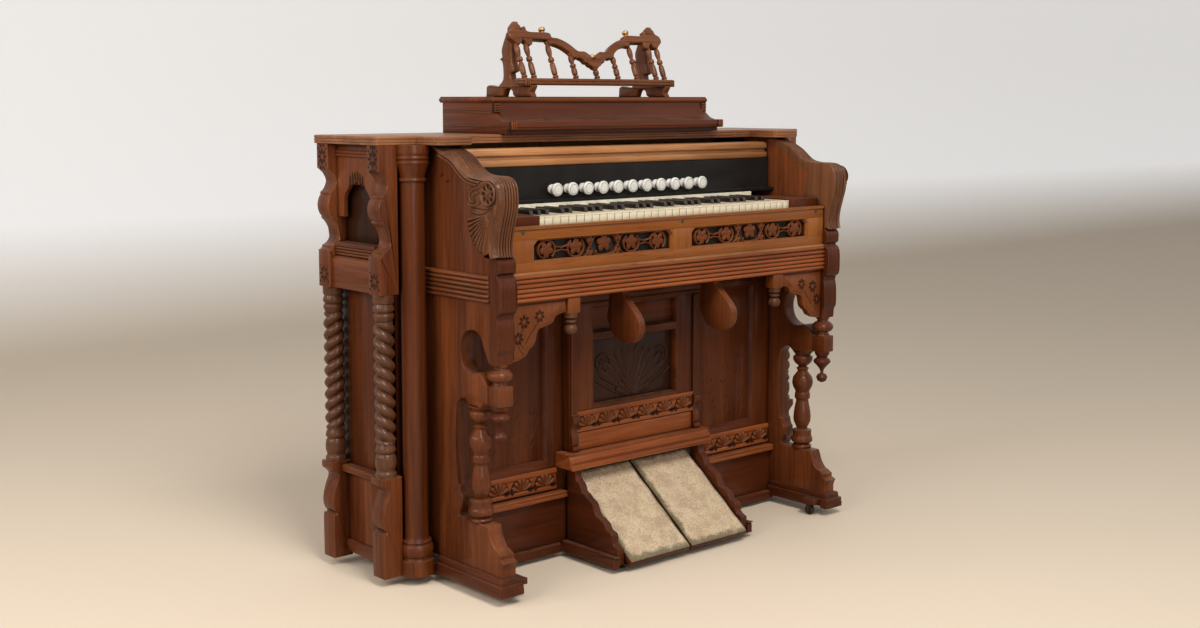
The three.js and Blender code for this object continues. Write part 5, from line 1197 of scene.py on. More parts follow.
@dataclass
class Columns:
    """The smooth corner columns, the four twisted columns and the turned legs."""

    corner_x: float = 610.0
    twist_x: float = 674.0
    radius: float = 24.5
    groove: float = 9.5
    pitch: float = 57.0
    leg: Point = (546.5, 53.0)
    leg_radius: float = 28.5

    def twist(self, name: str, x: float, y: float, hand: int, make: Maker) -> None:
        """Cuts a twisted column.

        The radius at angle a and height z is R less the groove depth times one less the absolute
        cosine of (a less hand times 2 pi z over the pitch), raised to 0.8, which leaves two round
        strands between two sharp grooves; the depth fades in over the first and last 9 mm.

        Args:
            name: The solid that it stands for.
            x: Axis place.
            y: Axis place.
            hand: 1 or -1, the way of the twist.
            make: Makes the piece.
        """
        base = catmull(spread(TWIST_BASE, 0, self.radius, 234, 312), 4, 50, closed=False)
        neck = catmull(spread(TWIST_NECK, 0, self.radius, 592.7, 654.7)[::-1], 4, 50, closed=False)
        z, angle = np.linspace(313, 592, 150), 2 * np.pi * np.arange(64) / 64
        strand = np.abs(np.cos(angle[None] - hand * 2 * np.pi * z[:, None] / self.pitch)) ** 0.8
        fade = np.clip(np.minimum(z - 312, 593 - z) / 9, 0, 1)[:, None]
        reach = self.radius - self.groove * (1 - strand) * fade - 2.5 * (1 - fade)
        radii = np.vstack([np.repeat(base[:, :1], 64, 1), reach, np.repeat(neck[:, :1], 64, 1)])
        height = np.concatenate([base[:, 1], z, neck[:, 1]])
        points = np.stack([x + radii * np.cos(angle), y + radii * np.sin(angle),
                           height[:, None] + 0 * angle], -1)
        make.piece(f"{name}_carved", [(points.reshape(-1, 3), tube_faces(len(height), 64))], "twist_z",
                   replaces=(name,), smooth=55)

    def build(self, make: Maker) -> None:
        """Makes every column and leg."""
        front, rear = CASE_FRONT + POST_WIDTH / 2, CASE_BACK - POST_WIDTH / 2
        for side in Side:
            name, centre = f"corner_column_{side.word}", (side.value * self.corner_x, CASE_FRONT, 0.0)
            make.piece(f"{name}_turned", [turned_shape(CORNER_COLUMN, centre, 72, 4, 62)], "column_z",
                       replaces=(name,))
            for place, y, hand in (("front", front, side.value), ("rear", rear, -side.value)):
                self.twist(f"twist_column_{side.word}_{place}", side.value * self.twist_x, y, hand, make)
            profile, centre = spread(LEG, 0, self.leg_radius, 147.3, 411.7), (side.value * self.leg[0],
                                                                              self.leg[1], 0)
            make.piece(f"leg_{side.word}_turned", [turned_shape(profile, centre, 64, 5, 58)], "column_z",
                       replaces=(f"leg_{side.word}",))


@dataclass
class Ends:
    """The two ends: carved posts, arched fret, shelf mouldings and the plain end panels."""

    head_bottom: float = 655.0
    arch_half: float = 57.0
    arch_spring: float = 858.0
    arch_top: float = 898.0

    def posts(self, side: Side, make: Maker) -> None:
        """Saws and rounds the upper and lower halves of the corner posts."""
        rear = CARCASS_HALF - LAP
        for label, node, shares, inner, low, high in (
                ("upper", "end_head", POST_HEAD, CARCASS_HALF, self.head_bottom, TOP_UNDER),
                ("lower", "end_panel", POST_FOOT, rear, 0, 234)):
            ends = [low, high] if label == "upper" else [high, low]
            outline = np.vstack([spread(shares, inner, POST_OUTER, low, high),
                                 [[inner, end] for end in ends]])
            outline = catmull(outline, 5, 50)
            for place, y in (("front", CASE_FRONT), ("rear", CASE_BACK - POST_WIDTH)):
                shape = flipped(carried_shape(outline, Plane.Y, eased(y, y + POST_WIDTH, 2.2)), side)
                make.piece(f"{label}_post_{side.word}_{place}", [shape], "walnut_z",
                           replaces=(f"{node}_{side.word}",) if place == "front" else ())

    def stars(self, side: Side, make: Maker) -> None:
        """Carves a star of eight thin petals between seed marks on the outer face of each post block, in dark
        gouges of painted shadow.
        """
        cuts: list[tuple] = []
        for y in (CASE_FRONT + POST_WIDTH / 2, CASE_BACK - POST_WIDTH / 2):
            for z, tall in ((961.0, True), (686.0, False)):
                cuts += star_cuts(y, z, 21.0, 8, 0.34)
                cuts += [(y + a, z + b, 90, 6, 5.0) for a in (-17.5, 17.5) for b in (-18.5, 18.5)]
                if tall:
                    cuts += [(y + 8 * k, z + 26 * s, 90 - s * 24 * k, 10, 4.2) for k in (-1, 0, 1)
                             for s in (-1, 1)]
        make.sided("post_stars", gouge_shapes(cuts, Plane.X, POST_OUTER, 1.0, 0.6), side, "cut_z")

    def between(self, side: Side, make: Maker) -> None:
        """Fits the arch, the mouldings and the rails between the posts."""
        y0, y1 = CASE_FRONT + POST_WIDTH - LAP, CASE_BACK - POST_WIDTH + LAP
        middle, t = (y0 + y1) / 2, np.linspace(0, 1, 85)
        arch = around(middle, self.arch_spring, self.arch_half, np.pi * (1 - t),
                      self.arch_top - self.arch_spring)
        arch[:, 1] += 7.0 * np.abs(np.sin(np.pi * 11 * t)) * ((t > 0.27) & (t < 0.73))
        outline = np.vstack([[[y0, TOP_UNDER], [y0, 822], [middle - self.arch_half, 822]], arch,
                             [[middle + self.arch_half, 822], [y1, 822], [y1, TOP_UNDER]]])
        make.sided("arch_fret", [carried_shape(outline, Plane.X, eased(660, 672, 1.4))], side, "walnut_z",
                   smooth=50)
        places = [10.5 * (k - 2.5) for k in range(6)]
        # dark gouges in the arch's crown: painted shadow of the cuts
        cuts = [(middle + a, 915 - 0.06 * a**2 / 4, 90, 34, 6.5) for a in places]
        make.sided("arch_gouges", gouge_shapes(cuts, Plane.X, 672.0, 1.0, 0.8), side, "cut_z")
        inner, lapped = CARCASS_HALF, CARCASS_HALF - LAP
        top = np.vstack([[[inner, 961], [674, 961]], reed_face(675, 3, 962, 977, 2),
                         [[670, 978], [670, TOP_UNDER], [inner, TOP_UNDER]]])
        shelf = np.vstack([[[inner, 730], [676, 730]], reed_face(677, 4.5, 731, 752, 3),
                           [[681, 753], [682, 760], [681, 762], [inner, 762]]])
        low = [[inner, 655], [688, 655], [690, 657], [690, 722], [688.5, 724], [684, 726], [680, 729.5],
               [inner, 729.5]]
        foot = [[lapped, 206], [664, 206], [668, 209], [674, 212], [674, 222], [672, 226], [lapped, 226]]
        rail = [[lapped, 14], [663, 14], [664, 15], [664, 38], [660, 42], [lapped, 42]]
        for name, section in (("head_moulding", top), ("end_shelf", shelf), ("end_rail", low),
                              ("foot_moulding", foot), ("foot_rail", rail)):
            shape = carried_shape(np.array(section, float), Plane.Y, [(y0, 0.0), (y1, 0.0)])
            make.sided(name, [shape], side, "walnut_y", smooth=45)

    def panels(self, side: Side, make: Maker) -> None:
        """Puts in the plain boards of the end."""
        for name, low, high, r, finish in (
                # darker walnut: painted shade towards the bottom of the end
                (f"end_board_{side.word}_lower", (CARCASS_HALF - 18, 263, 14),
                 (CARCASS_HALF, CASE_BACK, 745), 1.0, "warm_z"),
                # near-black finish: painted shade in the recess behind the arch
                (f"end_board_{side.word}_upper", (CARCASS_HALF - 18, 263, 745.4),
                 (CARCASS_HALF, CASE_BACK, TOP_UNDER), 1.0, "panel_z"),
                (f"closing_board_{side.word}", (543, 263, 14), (646.5, 281, TOP_UNDER), 1.0, "dusky_z"),
                (f"foot_panel_{side.word}", (CARCASS_HALF - LAP, 268, 14), (656, 437, 224), 2.0, "walnut_z")):
            make.piece(name, [flipped(box_shape(low, high, r), side)], finish)

    def build(self, make: Maker) -> None:
        """Makes both ends."""
        for side in Side:
            self.posts(side, make)
            self.stars(side, make)
            self.between(side, make)
            self.panels(side, make)


@dataclass
class SideBoards:
    """The side boards under the arms with their cut-outs, reeded bands and foot runners."""

    band: Point = (650.0, 711.0)
    reeds: int = 6
    front: float = -11.7
    back: float = 262.7

    def outline(self) -> np.ndarray:
        """The board's outline in Y and Z, from the foot scroll round to the back edge."""
        return np.vstack([
            curve_of(FOOT_SCROLL, -55, 24, 38.5, 147, 6, 60), curve_of(LEG_SLOT, 0, 125, 147, 412, 5, 60),
            curve_of(SMALL_ARCH, 0, 125, 147, 412, 4, 60), [[3.3, 422], [3.3, 466]],
            curve_of(COMMA_CUT, 0, 103, 466, 583, 6, 60), [[self.front, 515], [self.front, 754.5]],
            spread(UPPER_BOARD, -66, 150, 753, TOP_UNDER),
            [[154, TOP_UNDER], [self.back, TOP_UNDER], [self.back, 38.5]],
        ])

    def build(self, make: Maker) -> None:
        """Makes both side boards."""
        outline, (low, high) = self.outline(), self.band
        reeds = reed_face(CHEEK_FACE + 2.5, 6.5, low, high, self.reeds, 8)
        section = np.vstack([[[CHEEK_FACE - LAP, low]], reeds, [[CHEEK_FACE - LAP, high]]])
        runner = rectangle(515, -63, 580, 188)
        pocket = around(508, -20, 24, np.radians(np.linspace(73, -73, 21)))
        for side in Side:
            make.piece(f"side_board_{side.word}_sawn", [flipped(carried_shape(
                outline, Plane.X, eased(CHEEK_INNER + 0.5, CHEEK_FACE, 2.0)), side)], "walnut_z",
                replaces=(f"side_board_{side.word}",), smooth=50)
            make.sided("side_band", [carried_shape(section, Plane.Y, [
                (self.front, 1.0), (self.front + 1, 0.0), (self.back, 0.0)])], side, "walnut_y", smooth=45)
            make.sided("foot_runner", [
                carried_shape(np.vstack([runner, pocket]), Plane.Z,
                              [(0, 1.2), (1.2, 0.2), (2.4, 0), (12.2, 0)]),
                carried_shape(rounded_corners(runner, 3), Plane.Z, [(12, 0), (22, 0), (25, 1.2), (26, 3)])],
                side, "dusky_y")
            make.sided("castor_block", [box_shape((488, -42, 12), (516, 2, 26), 1.5)], side, "dusky_y")
            make.sided("foot_step", [carried_shape(rounded_corners(rectangle(521, -57, 574, 188), 3),
                                                   Plane.Z, [
                (24.5, 0), (35, 0), (38, 1.2), (40, 4)])], side, "dusky_y")


@dataclass
class LowerFront:
    """The lower front: side bays, the centre bay with its fan, shell rails, cornice and pilasters."""

    face: float = 160.0
    back: float = 180.0
    half: float = 524.7
    bottom: float = -8.0
    top: float = 646.7
    panel: tuple[float, ...] = (270.0, 216.0, 459.0, 592.0)
    bay_face: float = 131.0
    bay_half: float = 219.0
    bay_panel: float = 143.0
    shells: int = 6
    side_shells: int = 4

    def sides(self, side: Side, make: Maker) -> None:
        """Frames one side bay: stiles, rails, a recessed panel, the sill and the plinth."""
        f, b, (inner, low, outer, high) = self.face, self.back, self.panel
        make.sided("bay_stiles", [box_shape((205, f, 143), (inner, b, self.top), 0.8),
                                  box_shape((outer, f, 143), (self.half, b, self.top), 0.8)], side, "warm_z")
        make.sided("bay_rails", [box_shape((inner, f + 0.1, high), (outer, b, self.top), 0.8),
                                 box_shape((inner, f + 0.1, 143), (outer, b, low), 0.8)], side, "warm_x")
        make.sided("bay_panel", [box_shape((inner - 1, f + 9, low - 1), (outer + 1, b - 0.5, high + 1),
                                           0.4)], side,
                   "warm_z")
        bevel = [(-1.5, f + 1), (-1.5, f - 0.2), (-0.5, f - 0.6), (1.0, f + 0.4), (6, f + 8.6), (6, f + 10),
                 (-1.5, f + 10)]
        make.sided("bay_bevel", [ring_shape(rectangle(*self.panel), bevel)], side, "dusky_x", smooth=25)
        make.sided("bay_sill", [run_shape([
            (f, 128), (138.5, 128), (136.4, 129.6), (136.0, 133), (137.4, 136.4), (136.6, 139), (138.4, 143),
            (f, 143)], 221.9, self.half)], side, "rail_x")
        make.sided("bay_plinth", [box_shape((205, 150, 13), (self.half, b, 128.5), 0.6)], side, "dusky_x")
        make.sided("bay_base", [run_shape([(152, self.bottom), (139, self.bottom), (139, 9), (141, 12),
                                           (145, 14), (152, 14)], 238.4, self.half)], side, "dusky_x")
        sprigs, leaves = [], []
        for i, x in enumerate((306, 364, 420)):
            path = catmull([(x, 236), (x + 8, 270), (x - 7, 310 + 26 * i), (x + 5, 360 + 30 * i)], 8,
                           STROKE_CORNER, False)
            sprigs.append(band_shape(path, 2.4, Plane.Y, f + 9.2, f + 7.9))
            leaves += [ray_cut(*path[5 + 5 * k], 11, lean, 22, 7.5) for k in range(4) for lean in (48, 132)]
        make.sided("bay_sprigs", sprigs, side, "warm_z")
        leaves = [(side.value * a, z, 90 + side.value * (t - 90), *size) for a, z, t, *size in leaves]
        # the leaves are gouges in darker walnut than the bay: painted shade of the cuts
        make.piece(f"bay_leaves_{side.word}", gouge_shapes(leaves, Plane.Y, f + 9.0, -1.0, 0.8), "dusky_z")

    def shell_rail(self, name: str, start: float, end: float, low: float, high: float, face: float,
                   count: int, make: Maker) -> None:
        """Carves a rail of shells: each a fan of six lobes that rises from the round eye of an S scroll; the
        niche behind each fan is near-black painted shade and the scroll's eye and tail are dark gouges of
        painted shadow.
        """
        pitch, height = (end - start) / count, high - low
        root, shoulder = low + 0.22 * height, high - 0.26 * height
        make.piece(f"{name}_band", [
            box_shape((start, face - 4.6, low), (end, face + 1, low + 0.2 * height), 1.2),
            box_shape((start, face - 1.2, low + 0.1 * height), (end, face + 1, high), 0.6),
            run_shape([(face + 1, shoulder), (face - 2.6, shoulder), (face - 4.6, high - 0.2 * height),
                       (face - 4.6, high - 3), (face - 3, high), (face + 1, high)], start, end)],
            "rail_x", smooth=45)
        eye_shadows, fans, niche_shades = [], [], []
        turn = np.radians(np.linspace(0, 180, 25))
        for x in (start + (i + 0.5) * pitch for i in range(count)):
            arch = around(x, root, 0.47 * pitch, turn, 0.68 * height)
            niche_shades.append(carried_shape(arch, Plane.Y, [(face - 1.9, 0), (face, 0)]))
            fans.append(fan_shape(x, root - 1.5, 0.64 * height, 172, 14, 6, face - 1.8, 6.0))
            eye_shadows += [(x - 0.42 * pitch, low + 0.25 * height, 70, 0.34 * height, 0.16 * pitch),
                     (x + 0.36 * pitch, low + 0.2 * height, 8, 0.3 * pitch, 0.12 * height)]
        # near-black niche behind each fan: painted shade
        make.piece(f"{name}_niches", niche_shades, "cut_x", smooth=45)
        make.piece(f"{name}_fans", fans, "bracket_x", smooth=55)
        # dark gouges at each scroll's eye and tail: painted shadow
        make.piece(f"{name}_eyes", gouge_shapes(eye_shadows, Plane.Y, face - 4.7, -1.0, 0.8), "cut_x")

    def centre(self, make: Maker) -> None:
        """Frames the centre bay: two recessed panels, the plain sill board and the cornice."""
        f, b, p, h = self.bay_face, self.back, self.bay_panel, self.bay_half
        make.piece("bay_centre_stiles", [box_shape((low, f, 238), (high, b, self.top), 0.8)
                                         for low, high in ((-h, -p), (p, h))], "warm_z",
                                         replaces=("lower_front",))
        make.piece("bay_centre_rails", [box_shape((-p, f + 0.1, low), (p, b, high), 0.6) for low, high in (
            (590, self.top), (508, 524), (238, 342))], "warm_x")
        make.piece("bay_sill_board", [box_shape((-196, f - 1.6, 240), (196, f + 1, 283), 1.2)], "rail_x")
        make.piece("bay_frieze", [run_shape([
            (f + 1, 596), (f - 2, 596), (f - 5, 600), (f - 3, 604), (f - 7, 609), (f - 9, 616),
            (f - 9, self.top), (f + 1, self.top)], -h, h)], "dusky_x")
        make.piece("bay_upper_panel", [box_shape((-p - 1, f + 14, 522), (p + 1, b - 0.5, 592), 0.4)],
                   "warm_x")
        make.piece("bay_fan_panel", [box_shape((-p - 1, f + 16, 340), (p + 1, b - 0.5, 510), 0.4)], "panel_z")
        bevel = [(-1.5, f + 1), (-1.5, f - 0.3), (0.2, f - 0.8), (1.4, f + 1), (4.6, f + 9), (5.4, f + 16.6),
                 (-1.5, f + 16.6)]
        for label, low, high in (("upper", 524.0, 590.0), ("fan", 342.0, 508.0)):
            make.piece(f"bay_bevel_{label}", [ring_shape(rectangle(-p, low, p, high), bevel)], "warm_x",
                       smooth=25)
        at = f + 16.2
        shapes = [fan_shape(0, 349, 136, 152, 28, 11, at, 4.5, 0.2),
                  fan_shape(0, 349, 60, 165, 15, 9, at - 2.2, 3.2, 0.1)]
        turn, coil = np.radians(np.linspace(-60, 560, 61)), np.linspace(30, 5, 61)
        for s in (-1, 1):
            path = np.stack([s * (101 - coil * np.cos(turn)), 442 + coil * np.sin(turn)], 1)
            shapes += [band_shape(path, np.linspace(7, 3.6, 61), Plane.Y, at, at - 3.4),
                       stroke_shape([(s * 16, 352), (s * 60, 366), (s * 100, 388), (s * 132, 408)], 8, 6,
                                    Plane.Y, at, at - 3.0)]
        make.piece("bay_fan_carving", shapes, "panel_z", smooth=60)
        section = catmull([
            (b, 200), (97, 200), (97, 208), (99, 211.5), (103, 213), (102.2, 216), (101, 219),
            (101.6, 224), (105, 226.6), (108, 230), (108.4, 234.5), (112, 238), (b, 238)], 3, 75)
        make.piece("bay_cornice", [carried_shape(section, Plane.X, [
            (-240, 2.5), (-237.5, 0), (237.5, 0), (240, 2.5)])], "rail_x", smooth=45)

    def pilasters(self, make: Maker) -> None:
        """Shapes the pilasters with their scrolled brackets and little block caps."""
        scroll = catmull([(133, 326), (118.6, 326), (117, 318), (119, 309), (124.5, 300), (126.8, 292),
                          (125, 283), (121.8, 274), (121.4, 262), (124.6, 252), (133, 252)], 4, 60)
        foot = catmull([(133, 252), (119, 252), (117.4, 246), (119.4, 239.5), (133, 238)], 3, 60)
        parts = [carried_shape(rectangle(198, 126, 217, 133), Plane.Z, [(326, 0), (590, 0)]),
                 carried_shape(scroll, Plane.X, eased(197, 218, 1.6)),
                 carried_shape(foot, Plane.X, eased(198, 217, 1.2)),
                 box_shape((196.5, 121.5, 326), (218.5, 133, 331.5), 1.2)]
        for side in Side:
            make.sided("pilaster", parts, side, "warm_z", smooth=45)

    def build(self, make: Maker) -> None:
        """Makes the lower front's pieces."""
        for side in Side:
            self.sides(side, make)
            self.shell_rail(f"side_shells_{side.word}", *side.span(240.0, self.half - 1), 148.0, 200.0,
                            self.face, self.side_shells, make)
        self.shell_rail("centre_shells", -198.0, 198.0, 286.0, 336.0, self.bay_face, self.shells, make)
        self.centre(make)
        self.pilasters(make)


@dataclass
class Castors:
    """The small iron castors: a forked bracket and a wheel with a rounded tread."""

    radius: float = 13.0
    width: float = 12.0

    def build(self, make: Maker) -> None:
        """Turns the wheels and eases the forks."""
        half = self.width / 2
        near = [(4, -half), (8.4, -half), (9, -half + 1), (10.8, -half + 1), (11.4, -half),
                (12.4, -half + 0.6), (self.radius, -half + 2.6)]
        profile = near + [(r, -at) for r, at in near[::-1]]
        for side in Side:
            for end, x, y in (("front", 508.0, -12.0), ("rear", 590.0, 438.0)):
                name, centre = f"castor_{side.word}_{end}", (side.value * x, y, -8.0)
                make.softened(f"{name}_fork", "dark_iron", 0.0004, f"fork_{side.word}_{end}")
                make.piece(f"{name}_tread", [turned_shape(profile, centre, 36, 2, 60, Plane.X)], "dark_iron",
                           f"wheel_{side.word}_{end}", (f"{name}_wheel",))


@dataclass
class Keyboard:
    """The white and black keys, the stop knobs and the sliding fall."""

    count: int = 36
    pitch: float = 23.5
    gap: float = 1.0
    slot: float = 13.0
    sharp_front: float = 48.0
    sharp_back: float = 146.0
    sharp_top: float = 843.0
    stops: int = 11
    stop_pitch: float = 48.9
    stop_height: float = 880.0
    stop_face: float = 168.0

    def has_sharp(self, index: int) -> bool:
        """Whether a black key follows this white one."""
        return index % 7 in (0, 1, 2, 4, 5) and index < self.count - 1

    def naturals(self, make: Maker) -> None:
        """Makes every white key: an ivory top and front over a wooden stick, with its notches."""
        plates, sticks = [], []
        front, notch = self.sharp_front - 3, (self.slot - self.gap) / 2
        for i in range(self.count):
            left = -self.count * self.pitch / 2 + i * self.pitch + self.gap / 2
            right = left + self.pitch - self.gap
            a = left + (notch if i > 0 and self.has_sharp(i - 1) else 0)
            b = right - (notch if self.has_sharp(i) else 0)
            outline = [(left + 1.2, 0.2), (right - 1.2, 0.2), (right, 1.6)]
            outline += [(right, front), (b, front)] if b < right else []
            outline += [(b, 148), (a, 148)]
            outline += [(a, front), (left, front)] if a > left else []
            plate = np.array(outline + [(left, 1.6)], float)
            plates += [carried_shape(plate, Plane.Z, [(829.4, 0.0), (831.3, 0.0), (831.8, 0.2),
                                                      (832.0, 0.7)]),
                       box_shape((left + 0.3, 1.2, 813), (right - 0.3, 3.4, 829.6), 0.3)]
            sticks.append(carried_shape(plate * [1, 0.985] + [0, 1.2], Plane.Z, [(812, 0.3), (829.5, 0.3)]))
        make.piece("white_key_plates", plates, "aged_ivory", "white_keys", ("natural_keys",), 40)
        make.piece("white_key_sticks", sticks, "pine_y", "white_keys")

    def sharps(self, make: Maker) -> None:
        """Makes every black key with sloping sides and a rounded front."""
        f, b, top, low = self.sharp_front, self.sharp_back, self.sharp_top, 800.0
        outline = catmull([(f + 3.0, low), (f + 3.0, top - 16), (f + 0.3, top - 11), (f + 0.5, top - 9),
                           (f + 2.6, top - 2.6), (f + 8, top), (b - 40, top), (b, top), (b, low)], 3, 70)
        rows = [(-5, 2.2), (-4.7, 0.9), (-4.0, 0.2), (-3.2, 0), (3.2, 0), (4.0, 0.2), (4.7, 0.9), (5, 2.2)]
        sharps = [i for i in range(self.count) if self.has_sharp(i)]
        places = [-self.count * self.pitch / 2 + (i + 1) * self.pitch for i in sharps]
        make.piece("black_key_tops", [carried_shape(outline, Plane.X, [(x + a, r) for a, r in rows])
                                      for x in places], "black_key_stain", "black_keys", ("sharp_keys",), 50)

    def knobs(self, make: Maker) -> None:
        """Turns the stop knobs: a porcelain face in a pale turned head on a dark stem."""
        head = [(7.5, -27.6), (12.8, -28.0), (14.4, -27.4), (15.5, -26.2), (16.0, -24.2), (16.0, -21.4),
                (14.6, -18.8), (10.8, -16.8), (7.8, -15), (7.2, -12.5), (7.6, -9), (9.2, -6.5), (11.6, -5.2),
                (12.0, -3.4), (11.8, -0.4)]
        face = [(0.1, -28.35), (4, -28.3), (8.4, -28.1), (10.6, -27.8), (11.0, -27.2), (11.0, -25.5)]
        rim = [(10.8, -27.5), (11.0, -28.2), (11.6, -28.45), (12.2, -28.2), (12.4, -27.4)]
        parts = (("head", head, "glazed_porcelain", 40, 4, 60), ("face", face, "glazed_porcelain", 32, 3, 60),
                 ("rim", rim, "knob_ring", 32, 3, 80), ("stem", [(6.0, -0.5), (6.0, 62)], "black_key_stain",
                                                        20, 1, 60))
        for k in range(self.stops):
            centre = ((k - (self.stops - 1) / 2) * self.stop_pitch, self.stop_face, self.stop_height)
            node = f"stop_knob_{k + 1:02d}"
            for part, profile, finish, *fine in parts:
                make.piece(f"{node}_{part}", [turned_shape(profile, centre, *fine, Plane.Y)], finish,
                           f"stop_{k + 1:02d}", (node,) if part == "head" else ())

    def fall(self, make: Maker) -> None:
        """Runs the sliding fall's section along the keyboard: two rounded rails and the thin board."""
        low, high = 936.0, 980.0
        lower = [(176, low), (173.5, low + 0.8), (172, 940), (171.2, 945), (171.4, 949), (172.6, 952.6),
                 (177.5, 953.4)]
        upper = [(177.5, 961.4), (172.4, 962.6), (171.2, 966), (171.2, 971.5), (172, 976), (174, 978.9),
                 (178, high)]
        section = np.vstack([catmull(lower, 3, 70, False), catmull(upper, 3, 70, False),
                             [[213, high], [213, 958], [400, 958], [400, low]]])
        rows = [(-523, 1.2), (-521.8, 0), (521.8, 0), (523, 1.2)]
        make.piece("fall_board_rails", [carried_shape(section, Plane.X, rows)], "fall_x", "fall",
                   ("fall_board",), 50)

    def build(self, make: Maker) -> None:
        """Makes the keyboard's pieces."""
        self.naturals(make)
        self.sharps(make)
        self.knobs(make)
        self.fall(make)


@dataclass
class KeyFront:
    """The reeded rail, the key slip with its pierced scrolls, the key blocks and the brackets."""

    half: float = 519.7
    slip_face: float = -33.0
    slip_low: float = 709.0
    slip_high: float = 815.0
    window_inner: float = 32.0
    window_outer: float = 459.0
    window_low: float = 735.0
    window_high: float = 785.0
    chamfer: float = 12.0
    scrolls: int = 5
    fret_base: float = -19.5
    fret_crown: float = -27.2

    def rail(self, make: Maker) -> None:
        """Runs the reeded rail and builds the key bed behind it."""
        h = self.half
        section = np.vstack([[[-12, BED_UNDER]], reed_face(-34.0, -6.0, BED_UNDER, 709.0, 6, 8),
                             [[-12, 709]]])
        make.piece("reeded_rail", [carried_shape(section, Plane.X, [(-h, 0), (h, 0)])], "rail_x",
                   replaces=("key_bed",), smooth=45)
        make.piece("key_bed_boards", [box_shape((-h, -13, BED_UNDER), (h, 440, 667), 0.6),
                                      box_shape((-423, 183, 665.5), (423, 195, 811.5), 0.6)], "dusky_x")
        block = np.array([[-12, 668], [-12, 834.5], [-10.5, 836], [135, 836], [136, 835], [136, 668]], float)
        for side in Side:
            make.piece(f"key_block_{side.word}", [carried_shape(block, Plane.X,
                                                                eased(*side.span(424.2, h), 1.2))],
                       "dusky_y")

    def frame(self, make: Maker) -> None:
        """Frames the key slip from rails and stiles, with a bevelled edge round each window."""
        f, b, h, c = self.slip_face, self.slip_face + 20, self.half, self.chamfer
        inner, outer, low, high = self.window_inner, self.window_outer, self.window_low, self.window_high
        make.piece("slip_rails", [box_shape((-h, f, high), (h, b, self.slip_high - 3), 1.0),
                                  box_shape((-h, f, self.slip_low), (h, b, low), 1.0)], "oak_x",
                   replaces=("key_slip",))
        make.piece("slip_stiles", [box_shape((start, f - 0.05, low), (end, b, high), 0.5) for start, end in (
            (-h, -outer), (-inner, inner), (outer, h))], "oak_z")
        make.piece("slip_lip", [run_shape([(b, 809), (f - 2.2, 809), (f - 3, 810.4), (f - 3, 813.4),
                                           (f - 1.4, 815), (b, 815)], -h, h, 2, 80)], "oak_x")
        # paler golden wood on the bead: painted highlight along its upper curve
        make.piece("slip_low_bead", [run_shape([(b, 708.6), (f - 1.4, 708.6), (f - 3.2, 710), (f - 3.4, 712),
                                                (f - 2, 714), (b, 714)], -h + 0.3, h - 0.3, 3, 80)], "fall_x")
        profile = [(-2.5, f + 1), (-2.5, f - 0.3), (-1.0, f - 0.5), (3.4, f + 6.6), (3.4, f + 11),
                   (-2.5, f + 11)]
        for s, word in ((side.value, side.word) for side in Side):
            window = np.array([(s * inner, low), (s * outer, low), (s * outer, high - c),
                               (s * (outer - c), high), (s * (inner + c), high), (s * inner, high - c)])
            make.piece(f"window_bevel_{word}", [ring_shape(window, profile)], "oak_x", smooth=20)
            make.piece(f"window_corners_{word}", [
                carried_shape(np.array([(s * x, high), (s * (x + k * c), high), (s * x, high - c)]), Plane.Y,
                              [(f, 0), (b, 0)]) for x, k in ((inner, 1), (outer, -1))], "oak_x", smooth=20)

    def leaf(self, x: float, z: float, reach: float, turn: float, lobes: int) -> Shape:
        """A flat carved leaf: a round blade with lobes, domed, with a notch at its stem.

        The edge is reach times (0.66 plus 0.34 of the absolute cosine of lobes times half the angle);
        the height over the fret falls off as the fourth power of the way out.
        """
        v = 2 * np.pi * np.arange(96) / 96
        notch = 1 - 0.3 * np.exp(-((v - np.pi) / 0.3) ** 2)
        edge = reach * (0.66 + 0.34 * np.abs(np.cos(lobes * v / 2)) ** 0.9) * notch
        u = np.array([0.02, 0.3, 0.6, 0.82, 0.95, 1.0])[:, None]
        crease = 0.6 * np.abs(np.cos(lobes * v / 2))
        level = -25.8 - (1.4 + crease) * (1 - u**4) + 0.6 * u**4
        blade = around(x, z, u * edge, v + turn)
        rows = np.vstack([stand_outline(blade, Plane.Y, level),
                          stand_outline(blade[-1:], Plane.Y, self.fret_base)])
        return rows.reshape(-1, 3), tube_faces(7, 96)

    def ribbon(self, path: np.ndarray, width: float | np.ndarray, sunk: float = 0.0) -> Shape:
        """One band of the fret."""
        return band_shape(path, width, Plane.Y, self.fret_base, self.fret_crown + sunk)

    def scroll(self, i: int, x: float, middle: float) -> list[Shape]:
        """One scroll of the fret: an open ring round a leaf with its stem, or the middle leaf on its bow."""
        if i == 2:
            t = np.radians(np.linspace(-35, 215, 41))
            bow = np.stack([x + 31 * np.cos(t) * (0.8 + 0.2 * np.abs(np.sin(t))),
                            middle - 16 - 6.5 * np.sin(t)], 1)
            return [self.leaf(x, middle + 5.0, 21.0, math.pi / 2, 5), self.ribbon(bow, 4.6)]
        gap = 90 if i in (1, 3) else 270
        ring = around(x, middle, 24.0, np.radians(np.linspace(gap + 38, gap + 322, 57)), 21.6)
        u = np.linspace(0, 1, 12)
        stem = np.stack([x + (1 - u) * 9 * (1 if i % 2 else -1),
                         middle + (1 - 1.1 * u) * 21 * (1 if gap == 90 else -1)], 1)
        return [self.ribbon(ring, 5.4 + 1.0 * np.sin(np.linspace(0, np.pi, 57))),
                self.leaf(x, middle + 1, 19.4, math.radians(gap), 5), self.ribbon(stem, 4.0, 0.3)]

